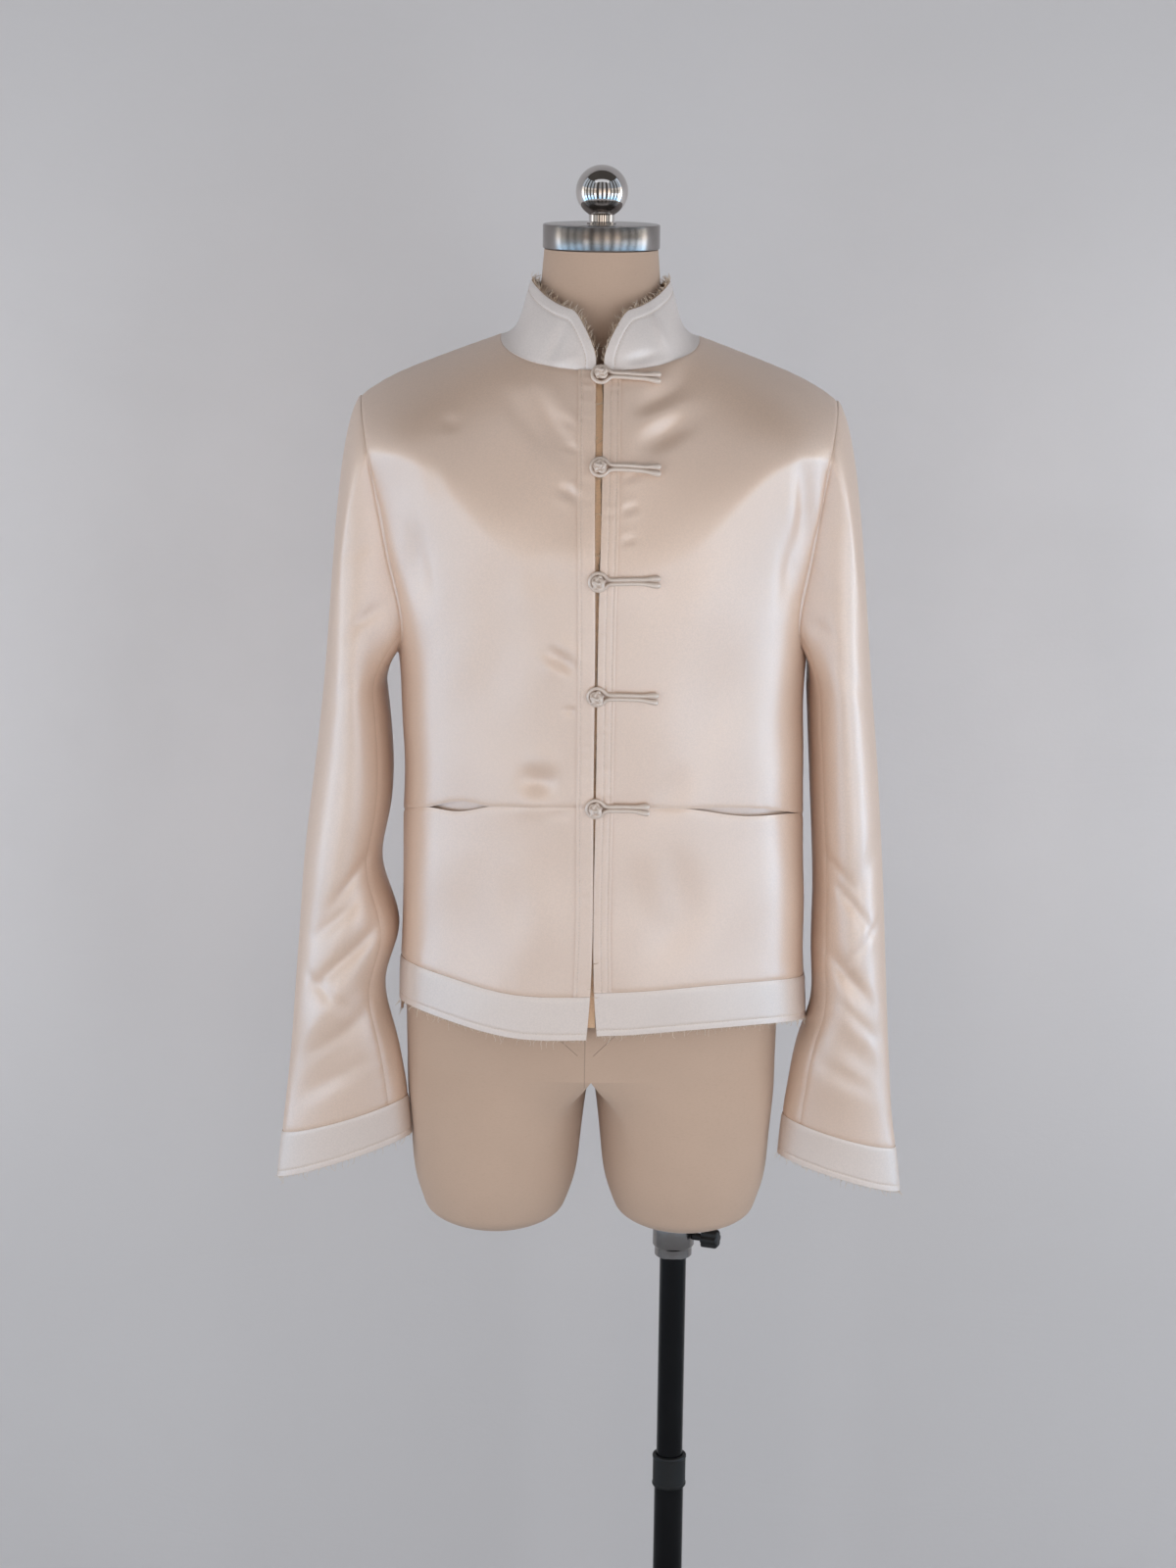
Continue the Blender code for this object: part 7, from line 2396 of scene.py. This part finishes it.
@dataclass
class Stand:
    """Base, telescopic pole, lock ring, socket and clamp screw."""

    x: float = 0.0800
    y: float = 0.0
    inner: float = 0.0125
    outer: float = 0.0140
    outer_top: float = 0.3180
    socket_radius: float = 0.0195
    screw_z: float = 0.56535
    screw_degrees: float = -20.0
    knob_sides: int = 72
    flutes: int = 6
    flute_depth: float = 0.20

    def place(self) -> Matrix:
        """The pole's axis."""
        return Matrix.Translation((self.x, self.y, 0))

    def tube(self, name: str, profile: Sequence[tuple[float, float]], finish: Finish, body: str,
             slot: str, node: str, ring: bool = False) -> None:
        """A piece turned about the pole's axis, on its body."""
        fitted(lathe(name, profile, finish, self.place(), ring=ring), body, slot, node)

    def build(self) -> None:
        """Makes the stand's pieces."""
        self.tube("pole_socket_steel", (
            (self.inner + GAP, 0.5450), (self.inner + GAP, 0.5797), (0.0183, 0.5797), (0.0193, 0.5792),
            (self.socket_radius, 0.5785), (self.socket_radius, 0.5560), (0.0188, 0.5548), (0.0178, 0.5538),
            (0.0176, 0.5530), (0.0176, 0.5458), (0.0170, 0.5450)), Finish.STEEL, "dressed_form",
            "brushed_steel", "pole_socket", ring=True)
        self.tube("pole_inner_painted", ((self.inner, 0.115), (self.inner, 0.5794)), Finish.PAINT,
                  "dressed_form", "black_paint", "pole_inner")
        self.tube("pole_outer_painted", (
            (0, 0.0303), (self.outer - 0.0006, 0.0303), (self.outer, 0.0309), (self.outer, 0.3174),
            (self.outer - 0.0006, self.outer_top), (0.0129, self.outer_top), (0.0129, 0.040),
            (0, 0.040)), Finish.PAINT, "stand", "black_paint", "pole_outer")
        seat, bore, shoulder = self.outer + GAP, self.inner + 2 * GAP, self.outer_top + GAP
        self.tube("lock_ring_plastic", (
            (seat, 0.3105), (seat, shoulder), (bore, shoulder), (bore, 0.3425), (0.0148, 0.3425),
            (0.0158, 0.3420), (0.0162, 0.3411), (0.0162, 0.3395), (0.0157, 0.3388), (0.0157, 0.3142),
            (0.0162, 0.3135), (0.0162, 0.3117), (0.0158, 0.3109), (0.0152, 0.3105)), Finish.PLASTIC,
            "lock_ring", "black_plastic", "pole_lock_ring", ring=True)
        self.tube("base_painted", (
            (0.188, 0.0), (0.1894, 0.0006), (0.190, 0.002), (0.190, 0.005), (0.1891, 0.0071), (0.187, 0.008),
            (0.032, 0.0095), (0.0308, 0.0104), (0.030, 0.012), (0.0266, 0.029), (0.0258, 0.0299),
            (0.0248, 0.030)), Finish.PAINT, "stand", "black_paint", "base")
        self.make_screw()

    def make_screw(self) -> None:
        """The clamp screw, with a fluted knob."""
        turn = math.radians(self.screw_degrees)
        out = Vector((math.cos(turn), math.sin(turn), 0))
        across = Vector((-math.sin(turn), math.cos(turn), 0))
        axes = Matrix((across, Vector((0, 0, 1)), out)).transposed().to_4x4()
        place = Matrix.Translation((self.x, self.y, self.screw_z)) @ axes
        face, sides = self.socket_radius + GAP, self.knob_sides
        knob = face + 0.009
        profile = ((0.0035, face), (0.0035, knob), (0.0080, knob), (0.0088, knob + 0.0004),
                   (0.0090, knob + 0.0012), (0.0090, knob + 0.0136), (0.0085, knob + 0.0150),
                   (0.0070, knob + 0.0160))
        piece = lathe("clamp_screw_plastic", profile, Finish.PLASTIC, place, sides)
        back = place.inverted()
        for k, vertex in enumerate(piece.data.vertices):
            if k >= 2 * sides:
                local = back @ vertex.co
                flute = 0.5 - 0.5 * math.cos(self.flutes * 2 * math.pi * (k % sides) / sides)
                local.xy *= 1 - self.flute_depth * flute**2
                vertex.co = place @ local
        fitted(piece, "clamp_screw_body", "black_plastic", "clamp_screw")


# ---------------------------------------------------------------- camera, room and light


@dataclass
class Studio:
    """Camera, plain floor, plaster wall and soft window light."""

    eye: tuple[float, float, float] = (-0.006, -2.98747, 1.66231)
    pitch: float = 12.5
    roll: float = 0.70
    focal_px: float = 3400.0
    wall_y: float = 0.42
    window_distance: float = 2.6
    daylight: Colour = (0.90, 0.96, 1.03)
    warm_light: Colour = (1.0, 0.84, 0.74)
    bands: tuple[tuple[float, float, float, Colour], ...] = (
        (0.03, 0.45, 2.5, (0.60, 0.97, 1.34)), (0.45, 0.85, 2.8, (0.78, 0.98, 1.17)),
        (0.85, 1.25, 3.1, (0.96, 0.96, 0.98)), (1.25, 1.55, 2.6, (1.0, 0.88, 0.77)),
        (1.55, 1.80, 1.9, (1.0, 0.86, 0.72)), (1.80, 2.15, 1.2, (1.0, 0.88, 0.78)),
        (2.15, 3.90, 0.6, (0.90, 0.96, 1.03)))
    side_tint: Colour = (0.90, 1.01, 1.10)
    dim: float = 0.45
    fill: tuple[tuple[float, float, float], ...] = (
        (-70, 28, 0.62), (-40, 28, 0.62), (-5, 28, 0.36), (35, 28, 0.78), (72, 28, 0.78))
    fill_bands: tuple[tuple[float, float, float], ...] = ((0.05, 1.78, 3.15), (1.78, 3.90, 0.60))
    room: Colour = (0.08, 0.076, 0.072)
    ceiling_size: tuple[float, float] = (2.2, 0.46)
    ceiling_place: tuple[float, float, float] = (0.0, -1.32, 3.05)
    ceiling_aim: tuple[float, float, float] = (0.0, -0.08, 1.40)
    ceiling_brightness: float = 0.9
    room_half_width: float = 3.5
    room_front_y: float = -5.0
    wall_height: float = 3.2
    floor_colour: Colour = (0.56, 0.58, 0.60)
    wall_colour: Colour = (0.83, 0.81, 0.815)
    panes: tuple[tuple[float, float, float, float], ...] = (
        (-93, 12, 1.1, 1.8), (-78, 10, 0.85, 1.2), (-61, 10, 0.75, 1.2), (-45, 10, 0.7, 1.2),
        (-30, 9, 0.8, 1.5), (-8, 11, 0.55, 1.8), (11, 10, 0.75, 1.8), (31, 10, 0.78, 1.8),
        (47, 11, 0.72, 1.5), (64, 10, 0.66, 1.5), (80, 10, 1.0, 1.5), (93, 12, 1.5, 1.8))

    def make_camera(self) -> None:
        """The camera, as a 36 mm sensor along the picture's height."""
        pitch, roll = math.radians(self.pitch), math.radians(self.roll)
        ahead = Vector((0, math.cos(pitch), -math.sin(pitch)))
        level = Vector((0, math.sin(pitch), math.cos(pitch)))
        right = Vector((math.cos(roll), 0, 0)) + level * math.sin(roll)
        up = level * math.cos(roll) - Vector((math.sin(roll), 0, 0))
        data = bpy.data.cameras.new("studio_camera")
        data.sensor_width, data.lens = 36.0, self.focal_px / 1600 * 36.0
        data.clip_start, data.clip_end = 0.05, 60
        camera = linked("studio_camera", data)
        turn = Matrix((right, up, -ahead)).transposed().to_4x4()
        camera.matrix_world = Matrix.Translation(self.eye) @ turn
        bpy.context.scene.camera = camera

    def backdrop(self, name: str, corners: Sequence[tuple[float, float, float]], colour: Colour,
                 plaster: bool) -> None:
        """A flat backdrop seen from its front alone."""
        shader = Shader(name)
        place = shader.place()
        cloud = shader.noise(place, 1.6, 5.0, 0.6)
        grit = shader.noise(place, 260.0, 4.0, 0.6)
        tone = shader.mix(cloud.ramp(0.35, 0.7), colour, shade(colour, 0.94))
        if plaster:
            # painted shade: the wall's colour darkens above and below about 1.05 m, standing in for the
            # window light falling off there
            height = shader.parts(place)[2]
            away = (height - 1.05).absolute().ramp(0.15, 0.75)
            tone = shader.mix(away, tone, shade(colour, 0.79))
        inputs = {"Base Color": tone, "Roughness": 0.9, "Specular IOR Level": 0.2}
        if plaster:
            trowel = shader.noise(shader.scaled(place, (3.0, 1.0, 9.0)), 1.0, 6.0, 0.6, 0.6)
            inputs["Normal"] = shader.bump(trowel + grit * 0.06, 0.004, 0.35)
        surface = shader.node("ShaderNodeBsdfPrincipled", inputs=inputs)
        clear = shader.node("ShaderNodeBsdfTransparent")
        behind = shader.node("ShaderNodeNewGeometry", output="Backfacing")
        made = shader.node("ShaderNodeMixShader", inputs={0: behind, 1: surface, 2: clear})
        shader.node("ShaderNodeOutputMaterial", inputs={"Surface": made})
        mesh = bpy.data.meshes.new(name)
        mesh.from_pydata(corners, [], [(0, 1, 2, 3)])
        mesh.materials.append(shader.material)
        linked(name, mesh)

    def make_room(self) -> None:
        """The floor and the wall."""
        y, wide, front, high = self.wall_y, self.room_half_width, self.room_front_y, self.wall_height
        self.backdrop("studio_floor", [(-wide, front, 0), (wide, front, 0), (wide, y, 0), (-wide, y, 0)],
                      self.floor_colour, False)
        self.backdrop("studio_wall", [(-wide, y, 0), (wide, y, 0), (wide, y, high), (-wide, y, high)],
                      self.wall_colour, True)

    @staticmethod
    def light(name: str, size: tuple[float, float], brightness: float, colour: Colour,
              place: Vector, ahead: Vector) -> bpy.types.Object:
        """A rectangle of light that the camera doesn't see.

        Args:
            name: The light's name.
            size: Its width and height.
            brightness: Its radiance.
            colour: Its tint.
            place: Its middle.
            ahead: The way it shines.

        Returns:
            The light.
        """
        data = bpy.data.lights.new(name, "AREA")
        data.shape, data.size, data.size_y = "RECTANGLE", *size
        data.energy, data.color = brightness * math.pi * data.size * data.size_y, colour
        light = linked(name, data)
        light.matrix_world = Matrix.Translation(place) @ ahead.to_track_quat("-Z", "Y").to_matrix().to_4x4()
        light.visible_camera = False
        return light

    def pane(self, name: str, azimuth: float, width: float, low: float, high: float,
             brightness: float, colour: Colour) -> bpy.types.Object:
        """A tall window pane that faces the form.

        Args:
            name: The light's name.
            azimuth: Its direction from the form, in degrees towards the wearer's left.
            width: How wide it looks from the form, in degrees.
            low: The height of its foot.
            high: The height of its head.
            brightness: Its radiance.
            colour: Its tint.

        Returns:
            The light.
        """
        turn = math.radians(azimuth)
        place = Vector((math.sin(turn), -math.cos(turn), 0)) * self.window_distance
        place.z = (low + high) / 2
        size = (2 * self.window_distance * math.tan(math.radians(width) / 2), high - low)
        return self.light(name, size, brightness, colour, place, Vector((-place.x, -place.y, 0)))

    def make_lights(self) -> None:
        """Wide soft fills, and a row of panes round the camera that the satin and the metal mirror."""
        for k, (azimuth, width, share) in enumerate(self.fill):
            for row, (low, high, brightness) in enumerate(self.fill_bands):
                colour = self.warm_light if abs(azimuth) < 20 else self.daylight
                light = self.pane(f"fill_{k}_{row}", azimuth, width, low, high, brightness * share,
                                  colour)
                light.visible_glossy = False
        for k, (azimuth, width, share, head) in enumerate(self.panes):
            for row, (low, high, brightness, colour) in enumerate(self.bands):
                if head < high < 2:
                    brightness = brightness * self.dim
                if abs(azimuth) > 40:
                    colour = tuple(part * tint for part, tint in zip(colour, self.side_tint))
                light = self.pane(f"window_{k}_{row}", azimuth, width, low, high, brightness * share,
                                  colour)
                light.visible_diffuse = False
        place, aim = Vector(self.ceiling_place), Vector(self.ceiling_aim)
        self.light("ceiling_edge", self.ceiling_size, self.ceiling_brightness, self.daylight, place,
                   aim - place)
        world = bpy.data.worlds.new("room")
        world.use_nodes = True
        background = world.node_tree.nodes["Background"]
        background.inputs["Color"].default_value = (*self.room, 1.0)
        background.inputs["Strength"].default_value = 1.0
        bpy.context.scene.world = world
        bpy.context.scene.view_settings.view_transform = "Standard"

    def build(self) -> None:
        """Makes the camera, the room and the lights."""
        self.make_camera()
        self.make_room()
        self.make_lights()


def main() -> None:
    """Builds every sub-assembly in order."""
    logging.basicConfig(level=logging.INFO, format="%(message)s")
    sewing = Sewing()
    for part in (Studio(), JacketBody(sewing), Collar(sewing), Sleeves(sewing), Frogs(), sewing,
                 DressForm(), Stand()):
        part.build()
        LOG.info("built %s", type(part).__name__)


if __name__ == "__main__":
    main()
